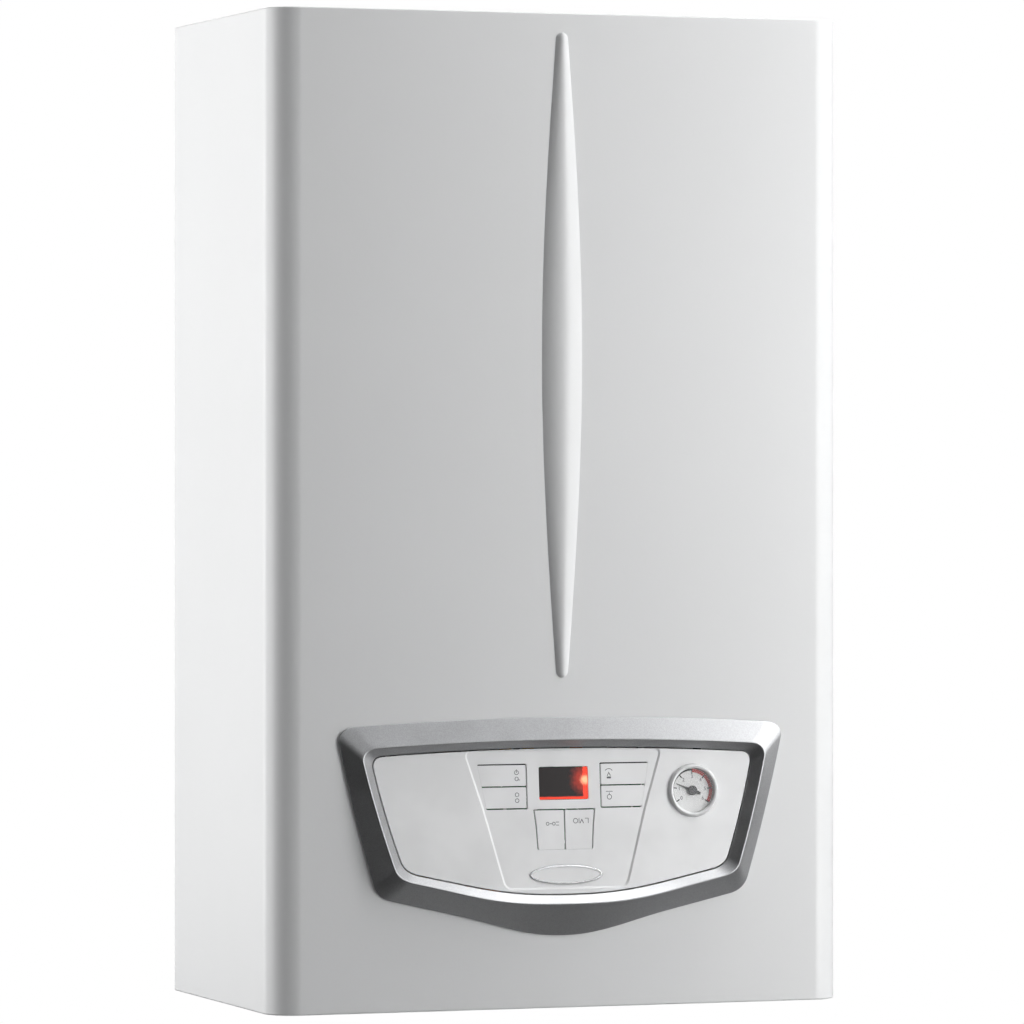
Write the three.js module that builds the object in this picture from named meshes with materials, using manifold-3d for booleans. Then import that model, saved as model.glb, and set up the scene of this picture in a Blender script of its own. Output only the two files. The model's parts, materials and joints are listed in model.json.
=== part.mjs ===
// Wall-hung gas combi boiler with a room-sealed chamber, in millimetres with +Z up.
// x runs to the right seen from the front, the wall is the plane y = 0 and the front faces -Y.
// Heights are written from the casing's lower edge; the finished group is lowered by half the
// casing's height, so that the origin lies on the wall face behind the middle of the casing.
import * as THREE from 'three';
import { mergeVertices, toCreasedNormals } from 'three/addons/utils/BufferGeometryUtils.js';
import { ConvexGeometry } from 'three/addons/geometries/ConvexGeometry.js';
import ManifoldModule from 'manifold-3d';

// ---------------------------------------------------------------- driving dimensions
const SEAT = 0.3; // gap between two pieces that lie against each other

// casing: one sheet bent to a U, with a lip along its upper and lower edge
const CASING_WIDTH = 440;
const CASING_DEPTH = 240;
const CASING_HEIGHT = 720;
const CASING_SHEET = 1;
const CASING_CORNER = 22;
const CASING_LIP = 12;
const CASING_WALL_GAP = 1;

// spindle-shaped ridge pressed into the casing's front
const RIDGE_BOTTOM = 239;
const RIDGE_TOP_MARGIN = 14;
const RIDGE_WIDTH = 31;
const RIDGE_END_WIDTH = 8.6;
const RIDGE_HEIGHT = 5.5;
const RIDGE_END_HEIGHT = 3;

// control panel: a tilted plane through PANEL_HEIGHT, proud of the casing's front
const PANEL_HEIGHT = 140;
const PANEL_PROUD = 6;
const PANEL_TILT_DEG = 4.5;

// moulded frame round the control panel
const FRAME_CREST = 6;
const FRAME_CREST_FLAT = 0.9;
const FRAME_EDGE = 1.4;
const FRAME_WALL = 1.8;

// fascia and what is set into it
const FASCIA_THICKNESS = 3;
const FASCIA_GAP = 0.8;
const FASCIA_RECESS = 0.9;
const KEY_SLOT = 0.9;
const KEY_THICKNESS = 1.8;
const KEY_POST_RADIUS = 2;
const SIDE_KEY_INNER_X = 28.5;
const SIDE_KEY_OUTER_X = 66;
const SIDE_KEY_TAPER = 3;
const SIDE_KEY_HEIGHT = 16;
const SIDE_KEY_TOP = 37;
const LOW_KEY_TOP = 4;
const LOW_KEY_BOTTOM = -25;
const LOW_KEY_HALF_TOP = 23.5;
const LOW_KEY_HALF_BOTTOM = 21;
const DISPLAY_WIDTH = 38;
const DISPLAY_HEIGHT = 24;
const DISPLAY_V = 23;
const BADGE_WIDTH = 55.6;
const BADGE_HEIGHT = 13.8;
const BADGE_V = -43;
const BADGE_PROUD = 0.5;
const GAUGE_X = 100;
const GAUGE_V = 16;
const GAUGE_RADIUS = 19.5;
const GAUGE_RIM = 3.2;
const GAUGE_BODY_LENGTH = 24;
const GAUGE_REST_DEG = 158;
const GAUGE_NEEDLE_LENGTH = 13.4;
const GAUGE_HUB_RADIUS = 3.2;
const GAUGE_NEEDLE_THICKNESS = 0.9;

// control box behind the fascia
const BOX_INSET = 6;
const BOX_DEPTH = 46;
const BOX_WALL = 2.5;
const BOARD_DEPTH = 12;
const BOX_PIN_RADIUS = 4;
const BOX_PIN_V = -18;

// control board and what stands on it
const BOARD_X = [-94, 72];
const BOARD_V = [-28, 33];
const RELAY_X = [-80, -60, -40];
const RELAY_SIZE = 15;
const RELAY_V = [-25, -12];
const TRANSFORMER_X = [20, 62];
const TRANSFORMER_V = [-24, 12];
const TRANSFORMER_DEPTH = 27;

// back frame and sealed chamber
const FRAME_SHEET = 1.5;
const FRAME_FLANGE = 25;
const FRAME_BOTTOM = 12;
const HANG_SLOT_X = 120;
const HANG_SLOT_WIDTH = 11;
const HANG_SLOT_LENGTH = 26;
const UPRIGHT_WIDTH = 18;
const CHAMBER_SIDE_GAP = 16;
const CHAMBER_ROOF_DROP = 8;
const CHAMBER_FLOOR = 306;
const CHAMBER_BACK = 88;
const CHAMBER_FRONT_GAP = 18;
const CHAMBER_SHEET = 1.2;
const CHAMBER_RIM = 9;
const COVER_DEPTH = 8;
const SIGHT_RADIUS = 17;
const SIGHT_HEIGHT = 66;

// expansion vessel
const VESSEL_RADIUS = 160;
const VESSEL_DEPTH = 80;
const VESSEL_SHEET = 1.5;

// burner, combustion chamber, exchanger and hood, stacked on the chamber's floor
const STACK_Y = -150;
const BURNER_WIDTH = 208;
const BURNER_DEPTH = 84;
const BURNER_HEIGHT = 54;
const BLADE_COUNT = 8;
const BLADE_THICKNESS = 8;
const BLADE_PORTS = 4;
const FIREBOX_WIDTH = 224;
const FIREBOX_DEPTH = 100;
const FIREBOX_WALL = 11;
const EXCHANGER_HEIGHT = 58;
const EXCHANGER_INSET = 12;
const EXCHANGER_WIDTH = FIREBOX_WIDTH - 2 * EXCHANGER_INSET;
const FIN_COUNT = 10;
const FIN_THICKNESS = 1.2;
const TUBE_COUNT = 3;
const TUBE_RADIUS = 10;
const HEADER_LENGTH = 13;
const HOOD_SHEET = 1.5;
const HOOD_SKIRT = 28;
const ELECTRODE_PLATE = [-42, 40];
const ELECTRODE_REACH = 22;

// fan and flue
const FAN_X = -52;
const FAN_ROOF_DROP = 84;
const FAN_START_RADIUS = 50;
const FAN_END_RADIUS = 72;
const FAN_WIDTH = 40;
const FAN_TONGUE_DEG = 50;
const FAN_INLET_RADIUS = 33;
const WHEEL_RADIUS = 45;
const WHEEL_BLADES = 10;
const FAN_MOTOR_RADIUS = 29;
const FAN_MOTOR_LENGTH = 42;
const FLUE_RADIUS = 30;
const AIR_RADIUS = 50;
const AIR_SWITCH_REACH = 50;
const COLLAR_SHEET = 1.5;

// pipes and hydraulic pieces
const PIPE_SIDES = 8;
const PORT_PITCH = 75;
const PIPE_Y = -87;
const RAIL_HEIGHT = 38;
const RAIL_DEPTH = 112;
const TAIL_BOTTOM = 4;
const NUT_HEIGHT = 18;
const WATER_PIPE_RADIUS = 9;
const GAS_PIPE_RADIUS = 8;
const MANIFOLD_HEIGHT = 81;
const MANIFOLD_RADIUS = 20;
const PORT_LENGTH = 24;
const PLATE_WIDTH = 190;
const PLATE_HEIGHT = 76;
const PLATE_STACK = 44;
const PLATE_COUNT = 7;
const PUMP_HEIGHT = 170;
const PUMP_RADIUS = 41;
const PUMP_CASE_DEPTH = 34;
const PUMP_MOTOR_RADIUS = 37;
const PUMP_MOTOR_LENGTH = 74;
const PUMP_WHEEL_RADIUS = 30;
const PUMP_PORT_REACH = 58;
const PUMP_ROTOR_END = 50;
const PUMP_SHAFT_RADIUS = 4;
const PUMP_SHAFT_END = 56;
const PUMP_TERMINALS = [14, 58];
const VENT_X = 104;
const VENT_RADIUS = 13;
const VENT_HEIGHT = 52;
const GAS_VALVE_BOTTOM = 150;
const GAS_VALVE_HEIGHT = 62;
const GAS_VALVE_WIDTH = 80;
const GAS_VALVE_DEPTH = 66;
const GAS_FEED_X = 20;
const COIL_RADIUS = 15;
const COIL_HEIGHT = 36;
const DIVERTER_X = -112;
const DIVERTER_HEIGHT = 69;
const DIVERTER_BORE = 7;
const ACTUATOR_SIZE = 46;
const ACTUATOR_HEIGHT = 62;
const STEM_RADIUS = 3;
const STEM_TRAVEL = 6;
const SAFETY_X = 128;
const SAFETY_LENGTH = 30;
const SAFETY_RADIUS = 13;
const SAFETY_KNOB_RADIUS = 15;
const FILL_X = 92;
const FILL_Y = -150;
const FILL_KNOB_RADIUS = 12;
const FILL_KNOB_LENGTH = 27;
const FILL_BOSS_DROP = 31;
const FILL_BOSS_RISE = 7;
const VESSEL_PIPE_X = 68;
const VESSEL_PIPE_RADIUS = 5;
const CAPILLARY_RADIUS = 1.2;
const GLAND_X = -112;
const GLAND_Y = -28;

// ---------------------------------------------------------------- derived places
const FRONT = -CASING_DEPTH;
const INNER_HALF = CASING_WIDTH / 2 - CASING_SHEET - SEAT;
const INNER_TOP = CASING_HEIGHT - CASING_SHEET - SEAT;
const TILT = THREE.MathUtils.degToRad(PANEL_TILT_DEG);
const CHAMBER_HALF = CASING_WIDTH / 2 - CHAMBER_SIDE_GAP;
const CHAMBER_TOP = CASING_HEIGHT - CHAMBER_ROOF_DROP;
const CHAMBER_FRONT = FRONT + CHAMBER_FRONT_GAP;
const FLOOR_TOP = CHAMBER_FLOOR + CHAMBER_SHEET;
const BURNER_TOP = FLOOR_TOP + SEAT + BURNER_HEIGHT;
const FAN_Z = CHAMBER_TOP - FAN_ROOF_DROP;
const HOOD_BOTTOM = FAN_Z - 104;
const EXCHANGER_BOTTOM = HOOD_BOTTOM - SEAT - EXCHANGER_HEIGHT;
const TUBE_Z = EXCHANGER_BOTTOM + EXCHANGER_HEIGHT / 2;
const HOOD_BACK = -(CHAMBER_BACK + CHAMBER_SHEET + 8);
const HOOD_FRONT = HOOD_BACK - 24;
const FAN_BACK = HOOD_FRONT - SEAT;
const FAN_FRONT = FAN_BACK - FAN_WIDTH;
const FLUE_Y = (FAN_BACK + FAN_FRONT) / 2;
const FAN_TOP = CHAMBER_TOP - 22;
const MANIFOLD_BOTTOM = MANIFOLD_HEIGHT - PORT_LENGTH;
const MANIFOLD_TOP = MANIFOLD_HEIGHT + PORT_LENGTH;
const PUMP_X = 2 * PORT_PITCH;
const PUMP_BACK = PIPE_Y + PUMP_CASE_DEPTH / 2;
const PUMP_FRONT = PUMP_BACK - PUMP_CASE_DEPTH;
const PUMP_TOP = PUMP_HEIGHT + PUMP_PORT_REACH;
const FLOW_PIPE_X = -(2 * PORT_PITCH + 8);
const FILL_BOSS = [MANIFOLD_HEIGHT - FILL_BOSS_DROP, MANIFOLD_HEIGHT + FILL_BOSS_RISE];
const GAS_VALVE_TOP = GAS_VALVE_BOTTOM + GAS_VALVE_HEIGHT;
const FEED_Y = STACK_Y - FIREBOX_DEPTH / 2;

// ---------------------------------------------------------------- small geometry kit
const wasm = await ManifoldModule();
wasm.setup();

/** A closed three.js geometry as a solid that can be joined and cut. */
function solid(geometry) {
  const bare = geometry.clone();
  bare.deleteAttribute('normal');
  bare.deleteAttribute('uv');
  const merged = mergeVertices(bare, 1e-4);
  const vertProperties = new Float32Array(merged.attributes.position.array);
  const triVerts = new Uint32Array(merged.index.array);
  return new wasm.Manifold(new wasm.Mesh({ numProp: 3, vertProperties, triVerts }));
}

const asSolid = (shape) => (shape.isBufferGeometry ? solid(shape) : shape);
const join = (...shapes) => shapes.map(asSolid).reduce((sum, next) => sum.add(next));
const cut = (base, ...tools) => tools.map(asSolid).reduce((rest, tool) => rest.subtract(tool), asSolid(base));

/** The solid's triangles as a geometry with creased normals. */
function toGeometry(shape) {
  const { vertProperties, triVerts } = asSolid(shape).getMesh();
  const geometry = new THREE.BufferGeometry();
  geometry.setAttribute('position', new THREE.BufferAttribute(new Float32Array(vertProperties), 3));
  geometry.setIndex(new THREE.BufferAttribute(new Uint32Array(triVerts), 1));
  return toCreasedNormals(geometry, Math.PI / 6);
}

/** A named sub-part with a finish of its own. */
function part(name, shape, { color, roughness, metalness, opacity = 1 }) {
  const material = new THREE.MeshStandardMaterial({ color, roughness, metalness, opacity });
  material.transparent = opacity < 1;
  const mesh = new THREE.Mesh(toGeometry(shape), material);
  mesh.name = name;
  return mesh;
}

/** A box between two limits on each axis. */
function block([x0, x1], [y0, y1], [z0, z1]) {
  const box = new THREE.BoxGeometry(Math.abs(x1 - x0), Math.abs(y1 - y0), Math.abs(z1 - z0));
  return box.translate((x0 + x1) / 2, (y0 + y1) / 2, (z0 + z1) / 2);
}

/** Round bars along X, Y and Z; the pair gives the two ends. */
function barX([x0, x1], y, z, radius, sides = 10) {
  const bar = new THREE.CylinderGeometry(radius, radius, Math.abs(x1 - x0), sides);
  return bar.rotateZ(Math.PI / 2).translate((x0 + x1) / 2, y, z);
}

function barY(x, [y0, y1], z, radius, sides = 10) {
  const bar = new THREE.CylinderGeometry(radius, radius, Math.abs(y1 - y0), sides);
  return bar.translate(x, (y0 + y1) / 2, z);
}

function barZ(x, y, [z0, z1], radius, sides = 10) {
  const bar = new THREE.CylinderGeometry(radius, radius, Math.abs(z1 - z0), sides);
  return bar.rotateX(Math.PI / 2).translate(x, y, (z0 + z1) / 2);
}

/** A shape drawn in x and z, extruded forward from yBack by the given thickness. */
function plate(shape, yBack, thickness) {
  const geometry = new THREE.ExtrudeGeometry(shape, { depth: thickness, bevelEnabled: false, curveSegments: 6 });
  return geometry.rotateX(Math.PI / 2).translate(0, yBack, 0);
}

/** A shape drawn in x and y, extruded upward from z. */
function upright(shape, z, height) {
  const geometry = new THREE.ExtrudeGeometry(shape, { depth: height, bevelEnabled: false, curveSegments: 6 });
  return geometry.translate(0, 0, z);
}

const polygon = (points) => new THREE.Shape(points.map(([x, y]) => new THREE.Vector2(x, y)));

/** A rectangle with round corners, centred on (cx, cy); each corner is drawn in the given steps. */
function roundRect(cx, cy, width, height, radius, steps = 3) {
  const [w, h] = [width / 2 - radius, height / 2 - radius];
  const points = [[1, 1], [-1, 1], [-1, -1], [1, -1]].flatMap(([sx, sy], quarter) =>
    Array.from({ length: steps + 1 }, (_, i) => {
      const angle = (quarter + i / steps) * (Math.PI / 2);
      return [cx + sx * w + radius * Math.cos(angle), cy + sy * h + radius * Math.sin(angle)];
    }));
  return polygon(points);
}

/** A scalloped grip outline for turning knobs. */
function scallop(radius, lobes, depth) {
  const count = lobes * 4;
  const points = Array.from({ length: count }, (_, i) => {
    const angle = (i / count) * 2 * Math.PI;
    const r = radius - depth * (0.5 + 0.5 * Math.cos(lobes * angle));
    return [r * Math.cos(angle), r * Math.sin(angle)];
  });
  return polygon(points);
}

/** A solid of revolution about Z from [radius, height] pairs. */
function turned(profile, sides = 28) {
  const points = profile.map(([r, z]) => new THREE.Vector2(r, z));
  return new THREE.LatheGeometry(points, sides).rotateX(Math.PI / 2);
}

/** Straight pipe runs joined by round bends; equal steps of u fall on the bend stations. */
class PipeRun extends THREE.Curve {
  constructor(corners, bendRadius, bendSteps = 3) {
    super();
    const nodes = corners.map((c) => new THREE.Vector3(...c));
    this.stations = [nodes[0]];
    for (let i = 1; i < nodes.length - 1; i += 1) {
      const before = nodes[i - 1].clone().sub(nodes[i]).normalize();
      const after = nodes[i + 1].clone().sub(nodes[i]).normalize();
      const half = before.angleTo(after) / 2;
      const reach = bendRadius / Math.tan(half);
      const start = nodes[i].clone().addScaledVector(before, reach);
      const centre = nodes[i].clone().addScaledVector(before.clone().add(after).normalize(), bendRadius / Math.sin(half));
      const axis = new THREE.Vector3().crossVectors(after, before).normalize();
      const turn = Math.PI - 2 * half;
      for (let k = 0; k <= bendSteps; k += 1) {
        const arm = start.clone().sub(centre).applyAxisAngle(axis, (turn * k) / bendSteps);
        this.stations.push(centre.clone().add(arm));
      }
    }
    this.stations.push(nodes[nodes.length - 1]);
  }

  getPoint(t, target = new THREE.Vector3()) {
    const place = t * (this.stations.length - 1);
    const i = Math.min(Math.floor(place), this.stations.length - 2);
    return target.lerpVectors(this.stations[i], this.stations[i + 1], place - i);
  }

  getPointAt(u, target) {
    return this.getPoint(u, target);
  }

  getTangentAt(u, target = new THREE.Vector3()) {
    const count = this.stations.length - 1;
    const i = Math.round(u * count);
    const before = this.stations[Math.max(i - 1, 0)];
    const here = this.stations[i];
    const after = this.stations[Math.min(i + 1, count)];
    const arriving = here.clone().sub(i > 0 ? before : here).normalize();
    const leaving = after.clone().sub(i < count ? here : after).normalize();
    return target.copy(arriving.add(leaving)).normalize();
  }
}

function pipe(corners, radius, bendRadius = 3 * radius, sides = PIPE_SIDES) {
  const run = new PipeRun(corners, bendRadius);
  const section = new THREE.Shape();
  section.absarc(0, 0, radius, 0, 2 * Math.PI);
  const points = section.getSpacedPoints(sides).slice(0, sides);
  const ring = new THREE.Shape(points);
  const steps = run.stations.length - 1;
  return new THREE.ExtrudeGeometry(ring, { steps, extrudePath: run, curveSegments: 1, bevelEnabled: false });
}

// ---------------------------------------------------------------- finishes
const whiteEnamel = { color: 0xe9ebec, roughness: 0.35, metalness: 0 };
const satinSilver = { color: 0x9a9ca0, roughness: 0.35, metalness: 0.8 };
const whitePlastic = { color: 0xe4e5e6, roughness: 0.45, metalness: 0 };
const darkPlastic = { color: 0x26272a, roughness: 0.5, metalness: 0 };
const greyPlastic = { color: 0x8d9196, roughness: 0.55, metalness: 0 };
const redPlastic = { color: 0xb3211c, roughness: 0.45, metalness: 0 };
const galvanised = { color: 0xa9aeb2, roughness: 0.45, metalness: 0.9 };
const aluminised = { color: 0xbfc2c4, roughness: 0.4, metalness: 0.9 };
const stainless = { color: 0xb8b9ba, roughness: 0.3, metalness: 1 };
const castAluminium = { color: 0xb0b3b6, roughness: 0.5, metalness: 0.9 };
const brass = { color: 0xb7954a, roughness: 0.35, metalness: 0.95 };
const copper = { color: 0xb8734a, roughness: 0.35, metalness: 0.95 };
const paintedRed = { color: 0xa8201a, roughness: 0.45, metalness: 0.1 };
const castIronBlack = { color: 0x303236, roughness: 0.6, metalness: 0.4 };
const ceramicWhite = { color: 0xece7dc, roughness: 0.6, metalness: 0 };
const boardGreen = { color: 0x2f6a3d, roughness: 0.5, metalness: 0 };
const clearPlastic = { color: 0xf2f5f6, roughness: 0.08, metalness: 0, opacity: 0.25 };
const redFilter = { color: 0x3a0a0c, roughness: 0.1, metalness: 0, opacity: 0.85 };
const glassClear = { color: 0xdfe8ea, roughness: 0.05, metalness: 0, opacity: 0.35 };

// ---------------------------------------------------------------- control panel outlines
// Each outline is the right half, from the top middle round to the bottom middle, in x and height:
// an arched top, a round top corner, a side that leans in, a round low corner, a straight foot
// and a swelling bottom edge. The left half is its mirror image.
const OUTER_LINE = {
  top: [0, 210.5], cornerIn: [157, 205.6], cornerTip: [170.5, 204.6], cornerOut: [170.7, 195],
  lowIn: [144.5, 93], lowTip: [141.5, 82.5], lowOut: [130, 80], shoulder: [84, 69.5], bottom: [0, 52.7],
};
const CREST_LINE = {
  top: [0, 195], cornerIn: [144, 190.6], cornerTip: [155.3, 190], cornerOut: [155, 181],
  lowIn: [133, 103], lowTip: [130, 95.3], lowOut: [118, 93], shoulder: [80, 84], bottom: [0, 75.8],
};
const LIP_LINE = {
  top: [0, 188.8], cornerIn: [138, 184.6], cornerTip: [146.5, 184.1], cornerOut: [146, 176],
  lowIn: [126.5, 108], lowTip: [123.5, 100.6], lowOut: [113, 98.2], shoulder: [80, 91], bottom: [0, 82.4],
};

/** The closed outline as points, clockwise seen from the front, starting at the top middle. */
function outlineLoop(line) {
  const at = (name) => new THREE.Vector2(...line[name]);
  const [top, bottom, shoulder] = [at('top'), at('bottom'), at('shoulder')];
  const archControl = new THREE.Vector2(line.cornerIn[0] * 0.5, line.top[1]);
  const sideControl = at('cornerOut').lerp(at('lowIn'), 0.5).add(new THREE.Vector2(2.2, -0.5));
  const footSlope = at('shoulder').sub(at('lowOut')).normalize();
  const swellIn = shoulder.clone().addScaledVector(footSlope, shoulder.x * 0.42);
  const swellOut = new THREE.Vector2(shoulder.x * 0.36, line.bottom[1]);
  const pieces = [
    [new THREE.QuadraticBezierCurve(top, archControl, at('cornerIn')), 4],
    [new THREE.QuadraticBezierCurve(at('cornerIn'), at('cornerTip'), at('cornerOut')), 4],
    [new THREE.QuadraticBezierCurve(at('cornerOut'), sideControl, at('lowIn')), 3],
    [new THREE.QuadraticBezierCurve(at('lowIn'), at('lowTip'), at('lowOut')), 4],
    [new THREE.LineCurve(at('lowOut'), shoulder), 1],
    [new THREE.CubicBezierCurve(shoulder, swellIn, swellOut, bottom), 6],
  ];
  const half = [top];
  for (const [curve, steps] of pieces) {
    half.push(...curve.getPoints(steps).slice(1));
  }
  const mirrored = half.slice(1, -1).reverse().map((p) => new THREE.Vector2(-p.x, p.y));
  return [...half, ...mirrored];
}

/** The loop moved inward by a distance, point by point along its normals. */
function insetLoop(loop, distance) {
  return loop.map((point, i) => {
    const before = loop[(i + loop.length - 1) % loop.length];
    const after = loop[(i + 1) % loop.length];
    const along = after.clone().sub(before).normalize();
    return new THREE.Vector2(point.x + along.y * distance, point.y - along.x * distance);
  });
}

/** Depth of the panel plane, plus an offset to the rear, at a height above the casing's lower edge. */
const panelDepth = (height, offset = 0) =>
  FRONT - PANEL_PROUD + offset + (height - PANEL_HEIGHT) * Math.tan(TILT);

/** Outline of the fascia in the panel's own plane, moved inward by a distance. */
function panelLoop(inset) {
  const loop = insetLoop(outlineLoop(LIP_LINE), inset);
  return loop.map((p) => new THREE.Vector2(p.x, (p.y - PANEL_HEIGHT) / Math.cos(TILT)));
}

/** Outline of the box behind the fascia: the fascia's edge shrunk toward its middle. */
function boxLoop(inset) {
  const scale = 1 - inset / (LIP_LINE.top[1] - PANEL_HEIGHT);
  return panelLoop(FASCIA_GAP).map((p) => new THREE.Vector2(p.x * (1 - inset / LIP_LINE.cornerTip[0]), p.y * scale));
}

/** A point of the panel plane (x, depth behind it, height along it) in the boiler's frame. */
const onPanel = (x, depth, v) => [
  x,
  FRONT - PANEL_PROUD + depth * Math.cos(TILT) + v * Math.sin(TILT),
  PANEL_HEIGHT - depth * Math.sin(TILT) + v * Math.cos(TILT),
];

// ---------------------------------------------------------------- casing
/** The U of the casing's sheet in plan, and the band inside it down to a given width. */
function casingBand(width) {
  const outer = CASING_WIDTH / 2;
  const back = -CASING_WALL_GAP;
  const inner = outer - width;
  const innerCorner = Math.max(CASING_CORNER - width, 1);
  const shape = new THREE.Shape();
  shape.moveTo(-outer, back);
  shape.absarc(-outer + CASING_CORNER, FRONT + CASING_CORNER, CASING_CORNER, Math.PI, 1.5 * Math.PI);
  shape.absarc(outer - CASING_CORNER, FRONT + CASING_CORNER, CASING_CORNER, 1.5 * Math.PI, 2 * Math.PI);
  shape.lineTo(outer, back);
  shape.lineTo(inner, back);
  const cornerY = FRONT + width + innerCorner;
  shape.absarc(inner - innerCorner, cornerY, innerCorner, 2 * Math.PI, 1.5 * Math.PI, true);
  shape.absarc(-inner + innerCorner, cornerY, innerCorner, 1.5 * Math.PI, Math.PI, true);
  shape.lineTo(-inner, back);
  return shape;
}

/** The ridge as a closed body whose skin lies a given distance inside the pressed surface. */
function ridgeBody(inset) {
  const bottom = RIDGE_BOTTOM;
  const top = CASING_HEIGHT - RIDGE_TOP_MARGIN;
  const [middle, half] = [(top + bottom) / 2, (top - bottom) / 2];
  const endHalf = RIDGE_END_WIDTH / 2;
  const stations = [-1, -0.993, -0.981, -0.93, -0.8, -0.6, -0.3, 0, 0.3, 0.6, 0.8, 0.93, 0.981, 0.993, 1];
  const across = [-1, -0.8, -0.55, -0.25, 0, 0.25, 0.55, 0.8, 1];
  const foot = FRONT + 0.4;
  const positions = [];
  for (const t of stations) {
    const swell = Math.cos((t * Math.PI) / 2);
    const fromEnd = (1 - Math.abs(t)) * half;
    const cap = Math.sqrt(Math.max(1 - (1 - Math.min(fromEnd / endHalf, 1)) ** 2, 0.02));
    const width = (endHalf + (RIDGE_WIDTH / 2 - endHalf) * swell) * cap - inset;
    const height = (RIDGE_END_HEIGHT + (RIDGE_HEIGHT - RIDGE_END_HEIGHT) * swell) * cap;
    const z = middle + t * (half - inset);
    for (const u of across) {
      const rise = Math.max(height * (1 - Math.abs(u) ** 1.7) - inset, 0);
      positions.push(u * Math.max(width, 0.4), inset > 0 ? FRONT - rise : Math.min(FRONT - rise, FRONT), z);
    }
    positions.push(Math.max(width, 0.4), foot + inset * 2, z, -Math.max(width, 0.4), foot + inset * 2, z);
  }
  return loftRings(positions, stations.length, across.length + 2);
}

/** A closed body skinned over rings of equal count; the first and last ring are capped by a fan. */
function loftRings(positions, rings, count, closed = false) {
  const index = [];
  const last = closed ? rings : rings - 1;
  for (let i = 0; i < last; i += 1) {
    for (let k = 0; k < count; k += 1) {
      const a = i * count + k;
      const b = i * count + ((k + 1) % count);
      const c = ((i + 1) % rings) * count + k;
      const d = ((i + 1) % rings) * count + ((k + 1) % count);
      index.push(a, b, c, b, d, c);
    }
  }
  if (!closed) {
    for (let k = 1; k < count - 1; k += 1) {
      index.push(0, k + 1, k);
      index.push((rings - 1) * count, (rings - 1) * count + k, (rings - 1) * count + k + 1);
    }
  }
  const geometry = new THREE.BufferGeometry();
  geometry.setAttribute('position', new THREE.Float32BufferAttribute(positions, 3));
  geometry.setIndex(index);
  return geometry;
}

function makeCasing() {
  const sheet = upright(casingBand(CASING_SHEET), 0, CASING_HEIGHT);
  const lowLip = upright(casingBand(CASING_LIP), 0, CASING_SHEET);
  const topLip = upright(casingBand(CASING_LIP), CASING_HEIGHT - CASING_SHEET, CASING_SHEET);
  const window = plate(new THREE.Shape(insetLoop(outlineLoop(LIP_LINE), -FASCIA_GAP / 2)), FRONT + 5, 10);
  const shell = cut(join(sheet, lowLip, topLip), window);
  return part('casing', cut(join(shell, ridgeBody(0)), ridgeBody(CASING_SHEET)), whiteEnamel);
}

/** The frame round the panel: an open channel whose section runs round the three outlines. */
function makePanelFrame() {
  const [outer, crest, lip] = [OUTER_LINE, CREST_LINE, LIP_LINE].map(outlineLoop);
  const seat = FRONT - SEAT;
  const positions = [];
  outer.forEach((o, i) => {
    const [c, l] = [crest[i], lip[i]];
    const crestY = panelDepth(c.y, -FRAME_CREST);
    const toward = (from, to, distance) => from.clone().lerp(to, distance / from.distanceTo(to));
    const crestInner = toward(c, l, FRAME_CREST_FLAT);
    const outerInner = toward(o, c, FRAME_WALL);
    const lipInner = toward(l, c, FRAME_WALL);
    const ring = [
      [o, seat], [o, seat - FRAME_EDGE], [c, crestY], [crestInner, crestY],
      [l, panelDepth(l.y, -SEAT)], [l, seat], [lipInner, seat], [c, crestY + FRAME_WALL + 0.6], [outerInner, seat],
    ];
    ring.forEach(([p, y]) => positions.push(p.x, y, p.y));
  });
  return part('panel_frame', loftRings(positions, outer.length, 9, true), satinSilver);
}

// ---------------------------------------------------------------- control panel
/** Corners of a side key, grown by a margin on its cut sides and by another at its hinge. */
function sideKeyShape(side, row, margin, hingeMargin) {
  const top = SIDE_KEY_TOP - row * SIDE_KEY_HEIGHT;
  const outerAt = (v) => SIDE_KEY_OUTER_X - SIDE_KEY_TAPER * ((SIDE_KEY_TOP - v) / SIDE_KEY_HEIGHT);
  const [high, low] = [top + margin, top - SIDE_KEY_HEIGHT - margin];
  const inner = SIDE_KEY_INNER_X - margin;
  return polygon([
    [side * inner, high], [side * (outerAt(high) + hingeMargin), high],
    [side * (outerAt(low) + hingeMargin), low], [side * inner, low],
  ]);
}

function lowKeyShape(side, margin, hingeMargin, centre) {
  const halfAt = (v) =>
    LOW_KEY_HALF_BOTTOM + ((LOW_KEY_HALF_TOP - LOW_KEY_HALF_BOTTOM) * (v - LOW_KEY_BOTTOM)) / (LOW_KEY_TOP - LOW_KEY_BOTTOM);
  const [high, low] = [LOW_KEY_TOP + margin, LOW_KEY_BOTTOM - hingeMargin];
  return polygon([
    [side * centre, high], [side * (halfAt(high) + margin), high],
    [side * (halfAt(low) + margin), low], [side * centre, low],
  ]);
}

/** Keys cut out of the fascia's skin, each with the post that presses its switch. */
function makeKeys() {
  const keys = [];
  const half = KEY_SLOT / 2;
  const back = FASCIA_RECESS + KEY_THICKNESS;
  const addKey = (name, shape, postX, postV) => {
    const post = barY(postX, [back - 0.5, BOARD_DEPTH - 6.6], postV, KEY_POST_RADIUS, 8);
    keys.push(part(name, join(plate(shape, back, KEY_THICKNESS), post), whitePlastic));
  };
  for (const [side, word] of [[-1, 'left'], [1, 'right']]) {
    for (const [row, place] of [[0, 'top'], [1, 'middle']]) {
      const v = SIDE_KEY_TOP - (row + 0.5) * SIDE_KEY_HEIGHT;
      addKey(`key_${word}_${place}`, sideKeyShape(side, row, -half, -SEAT), side * (SIDE_KEY_INNER_X + 8), v);
    }
    addKey(`key_${word}_low`, lowKeyShape(side, -half, -SEAT, half), side * 10, LOW_KEY_TOP - 8);
  }
  return keys;
}

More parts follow.
